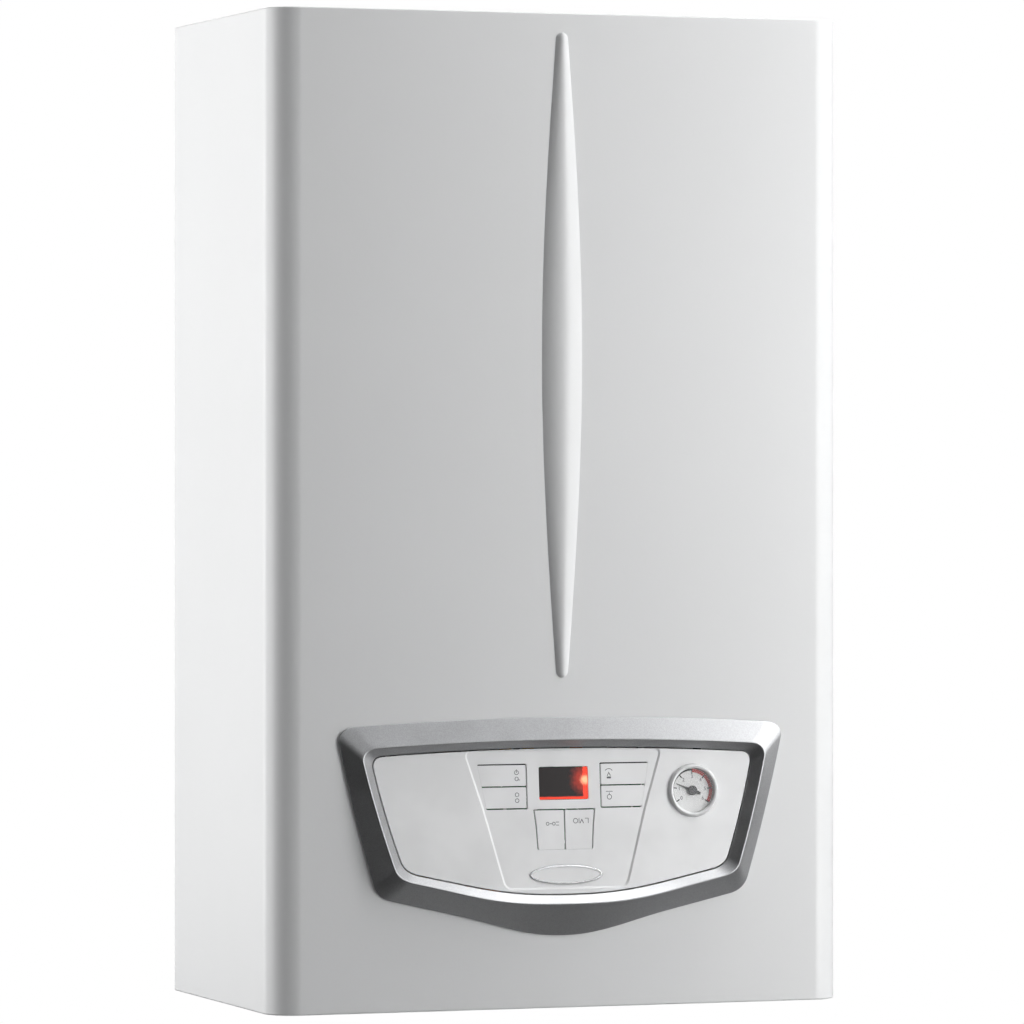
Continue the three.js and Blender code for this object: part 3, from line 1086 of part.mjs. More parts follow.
/** Brass group on the flow side: two tails below, the diverter housing and the flow port above. */
function makeFlowManifold() {
  const z = MANIFOLD_HEIGHT;
  const port = (x, low, high, r) => barZ(x, PIPE_Y, [low, high], r, 10);
  const ends = [FLOW_PIPE_X - 14, -PORT_PITCH + MANIFOLD_RADIUS];
  const padFace = PIPE_Y + MANIFOLD_RADIUS + 5;
  const body = join(
    barX(ends, PIPE_Y, z, MANIFOLD_RADIUS, 10),
    port(-2 * PORT_PITCH, MANIFOLD_BOTTOM, z, WATER_PIPE_RADIUS + 5),
    port(-PORT_PITCH, MANIFOLD_BOTTOM, z, WATER_PIPE_RADIUS + 5),
    port(FLOW_PIPE_X, z, MANIFOLD_TOP, WATER_PIPE_RADIUS + 4),
    port(DIVERTER_X, z, z + DIVERTER_HEIGHT, MANIFOLD_RADIUS - 3),
    port(DIVERTER_X, z + DIVERTER_HEIGHT - 8, z + DIVERTER_HEIGHT, MANIFOLD_RADIUS),
    block([-PORT_PITCH - 16, -PORT_PITCH + 18], [PIPE_Y, padFace], [z - 14, z + 14]),
  );
  const bore = barZ(DIVERTER_X, PIPE_Y, [z, z + DIVERTER_HEIGHT + 2], DIVERTER_BORE, 10);
  return part('flow_manifold', cut(body, bore), brass);
}

/** Brass group on the return side: two tails, pump seat, filling valve and safety-valve boss. */
function makeReturnManifold() {
  const z = MANIFOLD_HEIGHT;
  const port = (x, low, high, r) => barZ(x, PIPE_Y, [low, high], r, 10);
  const body = join(
    barX([PORT_PITCH - MANIFOLD_RADIUS, PUMP_X + 22], PIPE_Y, z, MANIFOLD_RADIUS, 10),
    port(PUMP_X, MANIFOLD_BOTTOM, z, WATER_PIPE_RADIUS + 5),
    port(PORT_PITCH, MANIFOLD_BOTTOM, z, WATER_PIPE_RADIUS + 5),
    port(PUMP_X, z, MANIFOLD_TOP, WATER_PIPE_RADIUS + 5),
    port(VESSEL_PIPE_X, z, MANIFOLD_TOP, VESSEL_PIPE_RADIUS + 3),
    port(GAUGE_X, z, MANIFOLD_TOP, 5),
    barY(FILL_X, [PIPE_Y, FILL_Y], z - 5, 8, 10),
    barZ(FILL_X, FILL_Y, FILL_BOSS, 11, 10),
    barY(SAFETY_X, [PIPE_Y, PIPE_Y - 25], z, 10, 10),
    block([PORT_PITCH - 18, PORT_PITCH + 16], [PIPE_Y, PIPE_Y + MANIFOLD_RADIUS + 5], [z - 14, z + 14]),
  );
  const fillBore = barZ(FILL_X, FILL_Y, [FILL_BOSS[0] - 1, FILL_BOSS[1] - 8], STEM_RADIUS + 0.4, 8);
  return part('return_manifold', cut(body, fillBore), brass);
}

/** Brazed plate exchanger between the two manifolds, on the back. */
function makePlateExchanger() {
  const front = PIPE_Y + MANIFOLD_RADIUS + 5 + SEAT;
  const pitch = PLATE_STACK / PLATE_COUNT;
  const z = MANIFOLD_HEIGHT + 18;
  const plates = Array.from({ length: PLATE_COUNT }, (_, i) =>
    plate(roundRect(0, z, PLATE_WIDTH, PLATE_HEIGHT, 12), front + pitch * (i + 0.75), pitch * 0.5));
  const core = plate(roundRect(0, z, PLATE_WIDTH - 5, PLATE_HEIGHT - 5, 10), front + PLATE_STACK - 0.4 * pitch, PLATE_STACK - 0.7 * pitch);
  const cover = plate(roundRect(0, z, PLATE_WIDTH - 5, PLATE_HEIGHT - 5, 10), front + pitch, pitch);
  return part('plate_exchanger', join(core, cover, ...plates), stainless);
}

function makePumpBody() {
  const [back, front] = [PUMP_BACK, PUMP_FRONT];
  const shell = join(
    barY(PUMP_X, [back, front], PUMP_HEIGHT, PUMP_RADIUS, 16),
    barZ(PUMP_X, PIPE_Y, [MANIFOLD_TOP + SEAT, PUMP_HEIGHT], WATER_PIPE_RADIUS + 5, 10),
    barZ(PUMP_X, PIPE_Y, [PUMP_HEIGHT, PUMP_TOP], WATER_PIPE_RADIUS + 5, 10),
    barX([VENT_X, PUMP_X], PIPE_Y, PUMP_HEIGHT + 20, 8, 10),
    barZ(VENT_X, PIPE_Y, [PUMP_HEIGHT + 12, PUMP_HEIGHT + 34], 9, 10),
  );
  const cavity = barY(PUMP_X, [back - 4, back - 20], PUMP_HEIGHT, PUMP_WHEEL_RADIUS + 3, 16);
  const neck = barY(PUMP_X, [back - 10, front - 2], PUMP_HEIGHT, 8, 10);
  const bores = barZ(PUMP_X, PIPE_Y, [MANIFOLD_TOP - 5, PUMP_TOP + 5], WATER_PIPE_RADIUS, 10);
  return part('pump_body', cut(shell, cavity, neck, bores), castIronBlack);
}

/** Pump wheel with six vanes, its shaft and the wet rotor. */
function makePumpRotor() {
  const y = PUMP_BACK - 7;
  const disc = barY(PUMP_X, [y, y - 2], PUMP_HEIGHT, PUMP_WHEEL_RADIUS, 16);
  const vanes = Array.from({ length: 6 }, (_, i) =>
    block([-10, 10], [y - 1, y - 9], [-1, 1]).rotateY(0.5).translate(18, 0, 0).rotateY((i * Math.PI) / 3).translate(PUMP_X, 0, PUMP_HEIGHT));
  const shaft = barY(PUMP_X, [y - 1, PUMP_FRONT - PUMP_SHAFT_END], PUMP_HEIGHT, PUMP_SHAFT_RADIUS, 8);
  const rotor = barY(PUMP_X, [PUMP_FRONT - 12, PUMP_FRONT - PUMP_ROTOR_END], PUMP_HEIGHT, 17, 10);
  return part('pump_rotor', join(disc, ...vanes, shaft, rotor), stainless);
}

function makePumpMotor() {
  const back = PUMP_FRONT - SEAT;
  const front = back - PUMP_MOTOR_LENGTH;
  const flange = plate(roundRect(PUMP_X, PUMP_HEIGHT, 2 * PUMP_RADIUS - 4, 2 * PUMP_RADIUS - 4, 16), back, 6);
  const can = barY(PUMP_X, [back - 5, front + 6], PUMP_HEIGHT, PUMP_MOTOR_RADIUS, 16);
  const nose = barY(PUMP_X, [front + 7, front], PUMP_HEIGHT, 24, 14);
  const terminals = block([PUMP_X - 20, PUMP_X + 20], PUMP_TERMINALS.map((d) => back - d),
    [PUMP_HEIGHT + 20, PUMP_HEIGHT + PUMP_MOTOR_RADIUS + 14]);
  const bore = barY(PUMP_X, [back + 2, PUMP_FRONT - PUMP_ROTOR_END - 2], PUMP_HEIGHT, 18.5, 10);
  const bearing = barY(PUMP_X, [back, PUMP_FRONT - PUMP_ROTOR_END - 10], PUMP_HEIGHT, PUMP_SHAFT_RADIUS + SEAT, 16);
  return part('pump_motor', cut(join(flange, can, nose, terminals), bore, bearing), castAluminium);
}

function makeAirVent() {
  const z = PUMP_HEIGHT + 34 + SEAT;
  const top = z + VENT_HEIGHT;
  const body = turned([[0, 0], [8, 0], [8, 8], [VENT_RADIUS, 12], [VENT_RADIUS, VENT_HEIGHT - 8], [7, VENT_HEIGHT - 4], [0, VENT_HEIGHT - 4]], 10)
    .translate(VENT_X, PIPE_Y, z);
  return part('air_vent', join(body, barZ(VENT_X, PIPE_Y, [top - 5, top], 4, 8)), brass);
}

function makeDiverter() {
  const base = MANIFOLD_HEIGHT + DIVERTER_HEIGHT + SEAT;
  const half = ACTUATOR_SIZE / 2;
  const housing = join(
    upright(roundRect(DIVERTER_X, PIPE_Y, ACTUATOR_SIZE, ACTUATOR_SIZE, 7), base + 8, ACTUATOR_HEIGHT - 8),
    barZ(DIVERTER_X, PIPE_Y, [base, base + 9], MANIFOLD_RADIUS, 10),
    block([DIVERTER_X - half + 8, DIVERTER_X + half - 8], [PIPE_Y - half + 1, PIPE_Y - half - 12], [base + 26, base + 44]),
  );
  const bore = barZ(DIVERTER_X, PIPE_Y, [base - 1, base + 26], DIVERTER_BORE, 10);
  const z = MANIFOLD_HEIGHT;
  const stem = join(
    barZ(DIVERTER_X, PIPE_Y, [z + 6, base + 18], STEM_RADIUS, 8),
    barZ(DIVERTER_X, PIPE_Y, [z + 6, z + 12], DIVERTER_BORE - 0.6, 10),
    barZ(DIVERTER_X, PIPE_Y, [base + 12, base + 18 - STEM_TRAVEL / 3], DIVERTER_BORE - 0.6, 10),
  );
  return [part('diverter_actuator', cut(housing, bore), darkPlastic), part('diverter_stem', stem, stainless)];
}

function makeSafetyValve() {
  const y = PIPE_Y - 25 - SEAT;
  const z = MANIFOLD_HEIGHT;
  const end = y - SAFETY_LENGTH;
  const body = join(
    barY(SAFETY_X, [y, end], z, SAFETY_RADIUS, 10),
    barY(SAFETY_X, [y - 5, y - 13], z, SAFETY_RADIUS + 2.5, 6),
    barZ(SAFETY_X, y - 18, [z - 38, z], 7, 10),
  );
  const outlet = barZ(SAFETY_X, y - 18, [z - 40, z - 10], 4.5, 8);
  const pivot = barY(SAFETY_X, [end - 2, end + 12], z, 2.4, 8);
  const knobBack = end - SEAT;
  const grip = plate(scallop(SAFETY_KNOB_RADIUS, 8, 1.8), 0, 16).translate(SAFETY_X, knobBack, z);
  const knob = join(grip, barY(SAFETY_X, [knobBack - 1, knobBack + 9], z, 2, 8));
  return [part('safety_valve', cut(body, outlet, pivot), brass), part('safety_valve_knob', knob, redPlastic)];
}

function makeFillingKnob() {
  const top = FILL_BOSS[0] - SEAT;
  const grip = upright(scallop(FILL_KNOB_RADIUS, 6, 2.2), top - FILL_KNOB_LENGTH, FILL_KNOB_LENGTH).translate(FILL_X, FILL_Y, 0);
  const knob = join(grip, barZ(FILL_X, FILL_Y, [top - 1, FILL_BOSS[1] - 10], STEM_RADIUS, 8));
  return part('filling_valve_knob', knob, darkPlastic);
}

/** Gas valve block with its inlet below and outlet above, and the modulating coil. */
function makeGasValve() {
  const z = [GAS_VALVE_BOTTOM, GAS_VALVE_TOP];
  const half = GAS_VALVE_WIDTH / 2;
  const y = [PIPE_Y + 20, PIPE_Y + 20 - GAS_VALVE_DEPTH];
  const body = join(
    plate(roundRect(0, (z[0] + z[1]) / 2, GAS_VALVE_WIDTH, GAS_VALVE_HEIGHT - 12, 5), y[0], GAS_VALVE_DEPTH),
    barZ(0, PIPE_Y, z, GAS_PIPE_RADIUS + 7, 10),
    block([-half + 6, half - 6], [y[1] + 1, y[1] - 9], [z[0] + 16, z[1] - 16]),
    barZ(GAS_FEED_X, PIPE_Y, [z[0] + 10, z[1]], GAS_PIPE_RADIUS + 5, 6),
  );
  const coilX = -half + COIL_RADIUS + 2;
  const coilY = y[1] + COIL_RADIUS + 2;
  const base = z[1] - 6 + SEAT;
  const coil = join(
    barZ(coilX, coilY, [base, base + COIL_HEIGHT], COIL_RADIUS, 10),
    barZ(coilX, coilY, [base + COIL_HEIGHT - 1, base + COIL_HEIGHT + 4], 7, 6),
    block([coilX - 9, coilX + 9], [coilY - COIL_RADIUS + 2, coilY - COIL_RADIUS - 7], [base + 8, base + 24]),
  );
  return [part('gas_valve', body, castAluminium), part('gas_valve_coil', coil, darkPlastic)];
}

function makePipes() {
  const header = EXCHANGER_WIDTH / 2 + HEADER_LENGTH + SEAT;
  const rise = (x, start) => [
    [x, PIPE_Y, start + SEAT], [x, PIPE_Y, CHAMBER_FLOOR - 40], [x, STACK_Y, CHAMBER_FLOOR - 40],
    [x, STACK_Y, TUBE_Z], [Math.sign(x) * header, STACK_Y, TUBE_Z],
  ];
  const bend = 2 * WATER_PIPE_RADIUS;
  const gasZ = GAS_VALVE_TOP + 30;
  const gasEnd = FLOOR_TOP + SEAT + 5 - SEAT;
  const [vx, vy, vz] = vesselPort();
  const capillaryEnd = onPanel(GAUGE_X, BOX_DEPTH + FASCIA_THICKNESS + 2 + SEAT, GAUGE_V);
  return [
    part('flow_pipe', pipe(rise(FLOW_PIPE_X, MANIFOLD_TOP), WATER_PIPE_RADIUS, bend), copper),
    part('return_pipe', pipe(rise(PUMP_X, PUMP_TOP), WATER_PIPE_RADIUS, bend), copper),
    part('gas_feed_pipe', pipe([
      [GAS_FEED_X, PIPE_Y, GAS_VALVE_TOP + SEAT], [GAS_FEED_X, PIPE_Y, gasZ], [GAS_FEED_X, FEED_Y - 3, gasZ],
      [GAS_FEED_X, FEED_Y - 3, gasEnd],
    ], GAS_PIPE_RADIUS - 2, 16), copper),
    part('vessel_pipe', pipe([
      [vx, vy, vz - SEAT], [vx, vy, CHAMBER_FLOOR - 30], [vx, PIPE_Y, CHAMBER_FLOOR - 60], [vx, PIPE_Y, MANIFOLD_TOP + SEAT],
    ], VESSEL_PIPE_RADIUS, 24), copper),
    part('gauge_capillary', pipe([
      [GAUGE_X, PIPE_Y, MANIFOLD_TOP + SEAT], [GAUGE_X, PIPE_Y, MANIFOLD_TOP + 18],
      [GAUGE_X, capillaryEnd[1] + 40, capillaryEnd[2] - 3], capillaryEnd,
    ], CAPILLARY_RADIUS, 12, 8), copper),
  ];
}

// ---------------------------------------------------------------- the whole boiler
const boiler = new THREE.Group();
boiler.position.z = -CASING_HEIGHT / 2;
boiler.add(
  makeCasing(), makePanelFrame(), makeControlPanel(),
  makeBackFrame(), makeConnectionRail(), makeCableGland(),
  makeSealedChamber(), makeChamberCover(), makeSightGlass(), makeExpansionVessel(),
  makeBurner(), makeInjectorBar(), makeElectrodes(), makeFirebox(), makeExchanger(), makeHood(),
  makeFanHousing(), makeFanWheel(), makeFanMotor(), makeFlueOutlet(), makeAirCollar(), makeAirSwitch(),
  makeTail('heating_flow_tail', -2 * PORT_PITCH, MANIFOLD_BOTTOM, WATER_PIPE_RADIUS, copper),
  makeTail('hot_water_tail', -PORT_PITCH, MANIFOLD_BOTTOM, WATER_PIPE_RADIUS - 2, copper),
  makeTail('gas_tail', 0, GAS_VALVE_BOTTOM, GAS_PIPE_RADIUS, copper),
  makeTail('cold_water_tail', PORT_PITCH, MANIFOLD_BOTTOM, WATER_PIPE_RADIUS - 2, copper),
  makeTail('heating_return_tail', 2 * PORT_PITCH, MANIFOLD_BOTTOM, WATER_PIPE_RADIUS, copper),
  makeFlowManifold(), makeReturnManifold(), makePlateExchanger(),
  makePumpBody(), makePumpRotor(), makePumpMotor(), makeAirVent(), ...makeDiverter(),
  ...makeSafetyValve(), makeFillingKnob(), ...makeGasValve(), ...makePipes(),
);

export default boiler;
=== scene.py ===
"""Studio scene of a wall-hung combi boiler: its finishes, its rebuilt forms and the fittings round them."""

from __future__ import annotations

import json
import logging
import math
from dataclasses import dataclass, field
from enum import Enum
from typing import Any, Optional, Sequence, Union

import bmesh
import bpy
from mathutils import Matrix, Vector

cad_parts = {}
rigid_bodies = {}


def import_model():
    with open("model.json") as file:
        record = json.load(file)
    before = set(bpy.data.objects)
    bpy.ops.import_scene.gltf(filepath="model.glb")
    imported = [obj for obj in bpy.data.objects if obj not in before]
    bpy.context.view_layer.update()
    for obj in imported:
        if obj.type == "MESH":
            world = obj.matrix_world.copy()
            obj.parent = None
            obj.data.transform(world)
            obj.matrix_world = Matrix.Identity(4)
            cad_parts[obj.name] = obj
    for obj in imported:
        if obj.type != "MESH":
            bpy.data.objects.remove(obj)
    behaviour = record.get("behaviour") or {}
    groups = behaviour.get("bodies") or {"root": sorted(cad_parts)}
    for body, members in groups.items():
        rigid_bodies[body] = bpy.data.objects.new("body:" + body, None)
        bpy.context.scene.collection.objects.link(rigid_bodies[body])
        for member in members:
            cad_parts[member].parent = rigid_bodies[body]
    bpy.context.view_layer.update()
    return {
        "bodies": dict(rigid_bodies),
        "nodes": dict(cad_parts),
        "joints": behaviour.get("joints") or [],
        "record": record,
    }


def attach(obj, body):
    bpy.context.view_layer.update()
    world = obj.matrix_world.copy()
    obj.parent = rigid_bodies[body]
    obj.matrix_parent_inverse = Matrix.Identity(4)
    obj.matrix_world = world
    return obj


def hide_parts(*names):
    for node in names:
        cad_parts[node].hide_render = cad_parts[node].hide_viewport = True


LOG = logging.getLogger("boiler")
MM = 0.001

# ------------------------------------------------------------------ the boiler's sizes, in millimetres
CASING_WIDTH = 440.0
CASING_DEPTH = 240.0
CASING_HEIGHT = 720.0
PANEL_HEIGHT = 140.0
PANEL_PROUD = 6.0
PANEL_TILT = math.radians(4.5)
SEAT = 0.3
HOME = CASING_HEIGHT / 2  # height of the row frame's origin above the casing's lower edge
PORT_PITCH = 75.0
PIPE_Y = -87.0
VESSEL_Y = -41.8
VESSEL_HEIGHT = 509.0
VESSEL_RADIUS = 160.0
VESSEL_PORT_X = 68.0
VESSEL_EDGE = VESSEL_HEIGHT - math.sqrt(VESSEL_RADIUS ** 2 - VESSEL_PORT_X ** 2)
MERGE_DISTANCE = 1e-6

Point2 = tuple[float, float]
Point3 = tuple[float, float, float]
Span = tuple[float, float]
Colour = tuple[float, float, float]


def at(x: float, y: float, z: float) -> Vector:
    """Place in the row frame of a point given in millimetres, with z above the casing's lower edge."""
    return Vector((x * MM, y * MM, (z - HOME) * MM))


def panel_matrix() -> Matrix:
    """Matrix from the control panel's own plane (x, depth behind it, height along it) to the row frame."""
    origin = at(0.0, -CASING_DEPTH - PANEL_PROUD, PANEL_HEIGHT)
    return Matrix.Translation(origin) @ Matrix.Rotation(-PANEL_TILT, 4, "X")


class Axis(Enum):
    """Axis that a round form is turned about."""

    X = "X"
    Y = "Y"
    Z = "Z"

    @property
    def turn(self) -> tuple[float, float, float]:
        """Euler turn that lays a form made along Z onto this axis."""
        return {"X": (0.0, math.pi / 2, 0.0), "Y": (math.pi / 2, 0.0, 0.0), "Z": (0.0, 0.0, 0.0)}[self.value]

    def place(self, centre: Point2, along: float) -> Vector:
        """Point on the axis at a distance along it.

        Args:
            centre: The two coordinates across the axis, in X, Y, Z order.
            along: The coordinate on the axis.

        Returns:
            The point in the row frame.
        """
        first, second = centre
        order = {"X": (along, first, second), "Y": (first, along, second), "Z": (first, second, along)}
        return at(*order[self.value])


# ------------------------------------------------------------------ modelling bench
class Bench:
    """Blender's own modelling operators, used as by hand, with sizes in millimetres."""

    @staticmethod
    def clear() -> None:
        """Leaves edit mode and deselects everything."""
        active = bpy.context.view_layer.objects.active
        if active is not None and active.mode != "OBJECT":
            bpy.ops.object.mode_set(mode="OBJECT")
        bpy.ops.object.select_all(action="DESELECT")

    @classmethod
    def take(cls, *objects: bpy.types.Object) -> None:
        """Selects the given objects and makes the first one active."""
        cls.clear()
        for obj in objects:
            obj.select_set(True)
        bpy.context.view_layer.objects.active = objects[0]

    @classmethod
    def settle(cls, obj: bpy.types.Object, name: str) -> bpy.types.Object:
        """Moves the object's place, turn and scale into its mesh and names it."""
        cls.take(obj)
        bpy.ops.object.transform_apply(location=True, rotation=True, scale=True)
        obj.name = name
        obj.data.name = name
        return obj

    @classmethod
    def empty_mesh(cls, name: str, points: Sequence[Vector], edges: Sequence[tuple[int, int]]) -> bpy.types.Object:
        """New object that holds only points and edges."""
        mesh = bpy.data.meshes.new(name)
        mesh.from_pydata([tuple(p) for p in points], list(edges), [])
        obj = bpy.data.objects.new(name, mesh)
        bpy.context.scene.collection.objects.link(obj)
        return obj

    @classmethod
    def modify(cls, obj: bpy.types.Object, kind: str, **settings: Any) -> bpy.types.Object:
        """Adds a modifier with its settings and applies it."""
        cls.take(obj)
        modifier = obj.modifiers.new(kind.title(), kind)
        for key, value in settings.items():
            setattr(modifier, key, value)
        bpy.ops.object.modifier_apply(modifier=modifier.name)
        return obj

    @classmethod
    def bevel(cls, obj: bpy.types.Object, width: float, segments: int = 2, angle: float = 32.0) -> bpy.types.Object:
        """Rounds the edges that are sharper than an angle in degrees."""
        if width <= 0:
            return obj
        return cls.modify(
            obj, "BEVEL", width=width * MM, segments=segments, limit_method="ANGLE", angle_limit=math.radians(angle),
            use_clamp_overlap=True, harden_normals=False
        )

    @classmethod
    def boolean(cls, obj: bpy.types.Object, tool: bpy.types.Object, operation: str) -> bpy.types.Object:
        """Joins or cuts with another closed object, which is used up."""
        cls.modify(obj, "BOOLEAN", operation=operation, object=tool, solver="MANIFOLD")
        bpy.data.objects.remove(tool, do_unlink=True)
        return obj

    @classmethod
    def smooth(cls, obj: bpy.types.Object, angle: float = 35.0) -> bpy.types.Object:
        """Shades smooth up to an angle in degrees."""
        cls.take(obj)
        bpy.ops.object.shade_smooth_by_angle(angle=math.radians(angle))
        return cls.modify(obj, "WEIGHTED_NORMAL", keep_sharp=True, weight=60)

    @classmethod
    def tidy(cls, obj: bpy.types.Object, distance: float = 0.001) -> bpy.types.Object:
        """Merges doubled points and turns all faces outward."""
        cls.take(obj)
        bpy.ops.object.mode_set(mode="EDIT")
        bpy.ops.mesh.select_all(action="SELECT")
        bpy.ops.mesh.remove_doubles(threshold=distance * MM)
        bpy.ops.mesh.normals_make_consistent(inside=False)
        bpy.ops.object.mode_set(mode="OBJECT")
        return obj

    @classmethod
    def skin(cls, name: str, loops: Sequence[Sequence[Vector]], ring: bool) -> bpy.types.Object:
        """Extrudes a closed loop from place to place, each new loop taking the shape of the next one.

        Args:
            name: Name of the new object.
            loops: The loops, each a list of as many points.
            ring: True to close the last loop onto the first, False to fill both ends.

        Returns:
            The closed mesh object.
        """
        count = len(loops[0])
        obj = cls.empty_mesh(name, loops[0], [(i, (i + 1) % count) for i in range(count)])
        place = obj.data.attributes.new("place", "INT", "POINT")
        for i in range(count):
            place.data[i].value = i
        cls.take(obj)
        bpy.ops.object.mode_set(mode="EDIT")
        bpy.ops.mesh.select_mode(type="EDGE")
        bpy.ops.mesh.select_all(action="SELECT")
        for loop in [*loops[1:], *([loops[0]] if ring else [])]:
            bpy.ops.mesh.extrude_edges_move(TRANSFORM_OT_translate={"value": (0.0, 0.0, 0.0)})
            mesh = bmesh.from_edit_mesh(obj.data)
            layer = mesh.verts.layers.int["place"]
            for vertex in mesh.verts:
                if vertex.select:
                    vertex.co = loop[vertex[layer]]
            bmesh.update_edit_mesh(obj.data)
        bpy.ops.mesh.select_all(action="SELECT")
        if ring:
            bpy.ops.mesh.remove_doubles(threshold=MERGE_DISTANCE)
        else:
            bpy.ops.mesh.fill_holes(sides=0)
        bpy.ops.mesh.normals_make_consistent(inside=False)
        bpy.ops.object.mode_set(mode="OBJECT")
        obj.data.attributes.remove(obj.data.attributes["place"])
        return obj


# ------------------------------------------------------------------ forms
@dataclass(frozen=True)
class Form:
    """A closed solid form that pieces are put together from."""

    def make(self, name: str) -> bpy.types.Object:
        """Models the form at its place."""
        raise NotImplementedError


@dataclass(frozen=True)
class Block(Form):
    """A box with rounded edges."""

    x: Span
    y: Span
    z: Span
    edge: float = 0.4
    segments: int = 2

    def make(self, name: str) -> bpy.types.Object:
        """Adds a cube between the limits and bevels it."""
        low = at(min(self.x), min(self.y), min(self.z))
        high = at(max(self.x), max(self.y), max(self.z))
        Bench.clear()
        bpy.ops.mesh.primitive_cube_add(size=1.0, location=(low + high) / 2)
        obj = bpy.context.object
        obj.scale = high - low
        return Bench.bevel(Bench.settle(obj, name), self.edge, self.segments)


@dataclass(frozen=True)
class Rod(Form):
    """A round or polygonal bar, full or bored."""

    axis: Axis
    centre: Point2
    span: Span
    radius: float
    bore: float = 0.0
    edge: float = 0.4
    sides: int = 40

    def make(self, name: str) -> bpy.types.Object:
        """Adds a cylinder between the two ends, bores it and bevels it."""
        middle = self.axis.place(self.centre, sum(self.span) / 2)
        length = abs(self.span[1] - self.span[0]) * MM
        Bench.clear()
        bpy.ops.mesh.primitive_cone_add(
            vertices=self.sides, radius1=self.radius * MM, radius2=self.radius * MM, depth=length, location=middle,
            rotation=self.axis.turn
        )
        obj = Bench.settle(bpy.context.object, name)
        if self.bore > 0:
            grown = (min(self.span) - 1.0, max(self.span) + 1.0)
            tool = Rod(self.axis, self.centre, grown, self.bore, edge=0.0, sides=max(self.sides, 24)).make("bore")
            Bench.boolean(obj, tool, "DIFFERENCE")
        return Bench.bevel(obj, self.edge, 2, 40.0)


@dataclass(frozen=True)
class Turned(Form):
    """A solid of revolution from (radius, distance) pairs, spun about an axis."""

    axis: Axis
    centre: Point2
    start: float
    profile: tuple[Point2, ...]
    steps: int = 48

    def make(self, name: str) -> bpy.types.Object:
        """Spins the profile about the axis and merges its poles."""
        points = [Vector((r * MM, 0.0, d * MM)) for r, d in self.profile]
        edges = [(i, i + 1) for i in range(len(points) - 1)]
        obj = Bench.empty_mesh(name, points, edges)
        Bench.take(obj)
        bpy.ops.object.mode_set(mode="EDIT")
        bpy.ops.mesh.select_all(action="SELECT")
        bpy.ops.mesh.spin(steps=self.steps, angle=2 * math.pi, center=(0, 0, 0), axis=(0, 0, 1))
        bpy.ops.mesh.select_all(action="SELECT")
        bpy.ops.mesh.remove_doubles(threshold=MERGE_DISTANCE)
        bpy.ops.mesh.normals_make_consistent(inside=False)
        bpy.ops.object.mode_set(mode="OBJECT")
        turn = {
            Axis.X: Matrix.Rotation(math.pi / 2, 4, "Y"), Axis.Y: Matrix.Rotation(-math.pi / 2, 4, "X"),
            Axis.Z: Matrix.Identity(4)
        }[self.axis]
        obj.data.transform(Matrix.Translation(self.axis.place(self.centre, self.start)) @ turn)
        return obj


@dataclass(frozen=True)
class Prism(Form):
    """An outline drawn across an axis and extruded along it."""

    axis: Axis
    outline: tuple[Point2, ...]
    span: Span
    edge: float = 0.4

    def make(self, name: str) -> bpy.types.Object:
        """Fills the outline, extrudes it and bevels it."""
        low, high = sorted(self.span)
        points = [self.axis.place(p, low) for p in self.outline]
        count = len(points)
        obj = Bench.empty_mesh(name, points, [(i, (i + 1) % count) for i in range(count)])
        Bench.take(obj)
        offset = self.axis.place((0.0, 0.0), high) - self.axis.place((0.0, 0.0), low)
        bpy.ops.object.mode_set(mode="EDIT")
        bpy.ops.mesh.select_all(action="SELECT")
        bpy.ops.mesh.edge_face_add()
        bpy.ops.mesh.extrude_region_move(TRANSFORM_OT_translate={"value": offset})
        bpy.ops.mesh.select_all(action="SELECT")
        bpy.ops.mesh.normals_make_consistent(inside=False)
        bpy.ops.object.mode_set(mode="OBJECT")
        return Bench.bevel(obj, self.edge, 2)


@dataclass(frozen=True)
class Tube(Form):
    """A round pipe along straight runs with round bends."""

    points: tuple[Point3, ...]
    radius: float
    bend: float
    sides: int = 8

    def stations(self) -> list[Vector]:
        """Points along the pipe's centre line, close together in its bends."""
        corners = [at(*p) for p in self.points]
        line = [corners[0]]
        for before, corner, after in zip(corners, corners[1:], corners[2:]):
            back, on = (before - corner).normalized(), (after - corner).normalized()
            half = back.angle(on) / 2
            radius = self.bend * MM
            reach = radius / math.tan(half)
            start = corner + back * reach
            centre = corner + (back + on).normalized() * (radius / math.sin(half))
            turn = math.pi - 2 * half
            axis = on.cross(back).normalized()
            steps = max(4, round(turn / math.radians(9)))
            line += [centre + Matrix.Rotation(turn * k / steps, 3, axis) @ (start - centre) for k in range(steps + 1)]
        return line + [corners[-1]]

    def make(self, name: str) -> bpy.types.Object:
        """Draws the line as a curve with a round section and makes it a mesh."""
        curve = bpy.data.curves.new(name, "CURVE")
        curve.dimensions = "3D"
        curve.bevel_depth = self.radius * MM
        curve.bevel_resolution = self.sides
        curve.use_fill_caps = True
        line = self.stations()
        spline = curve.splines.new("POLY")
        spline.points.add(len(line) - 1)
        for point, place in zip(spline.points, line):
            point.co = (*place, 1.0)
        obj = bpy.data.objects.new(name, curve)
        bpy.context.scene.collection.objects.link(obj)
        Bench.take(obj)
        bpy.ops.object.convert(target="MESH")
        return Bench.tidy(bpy.context.object)


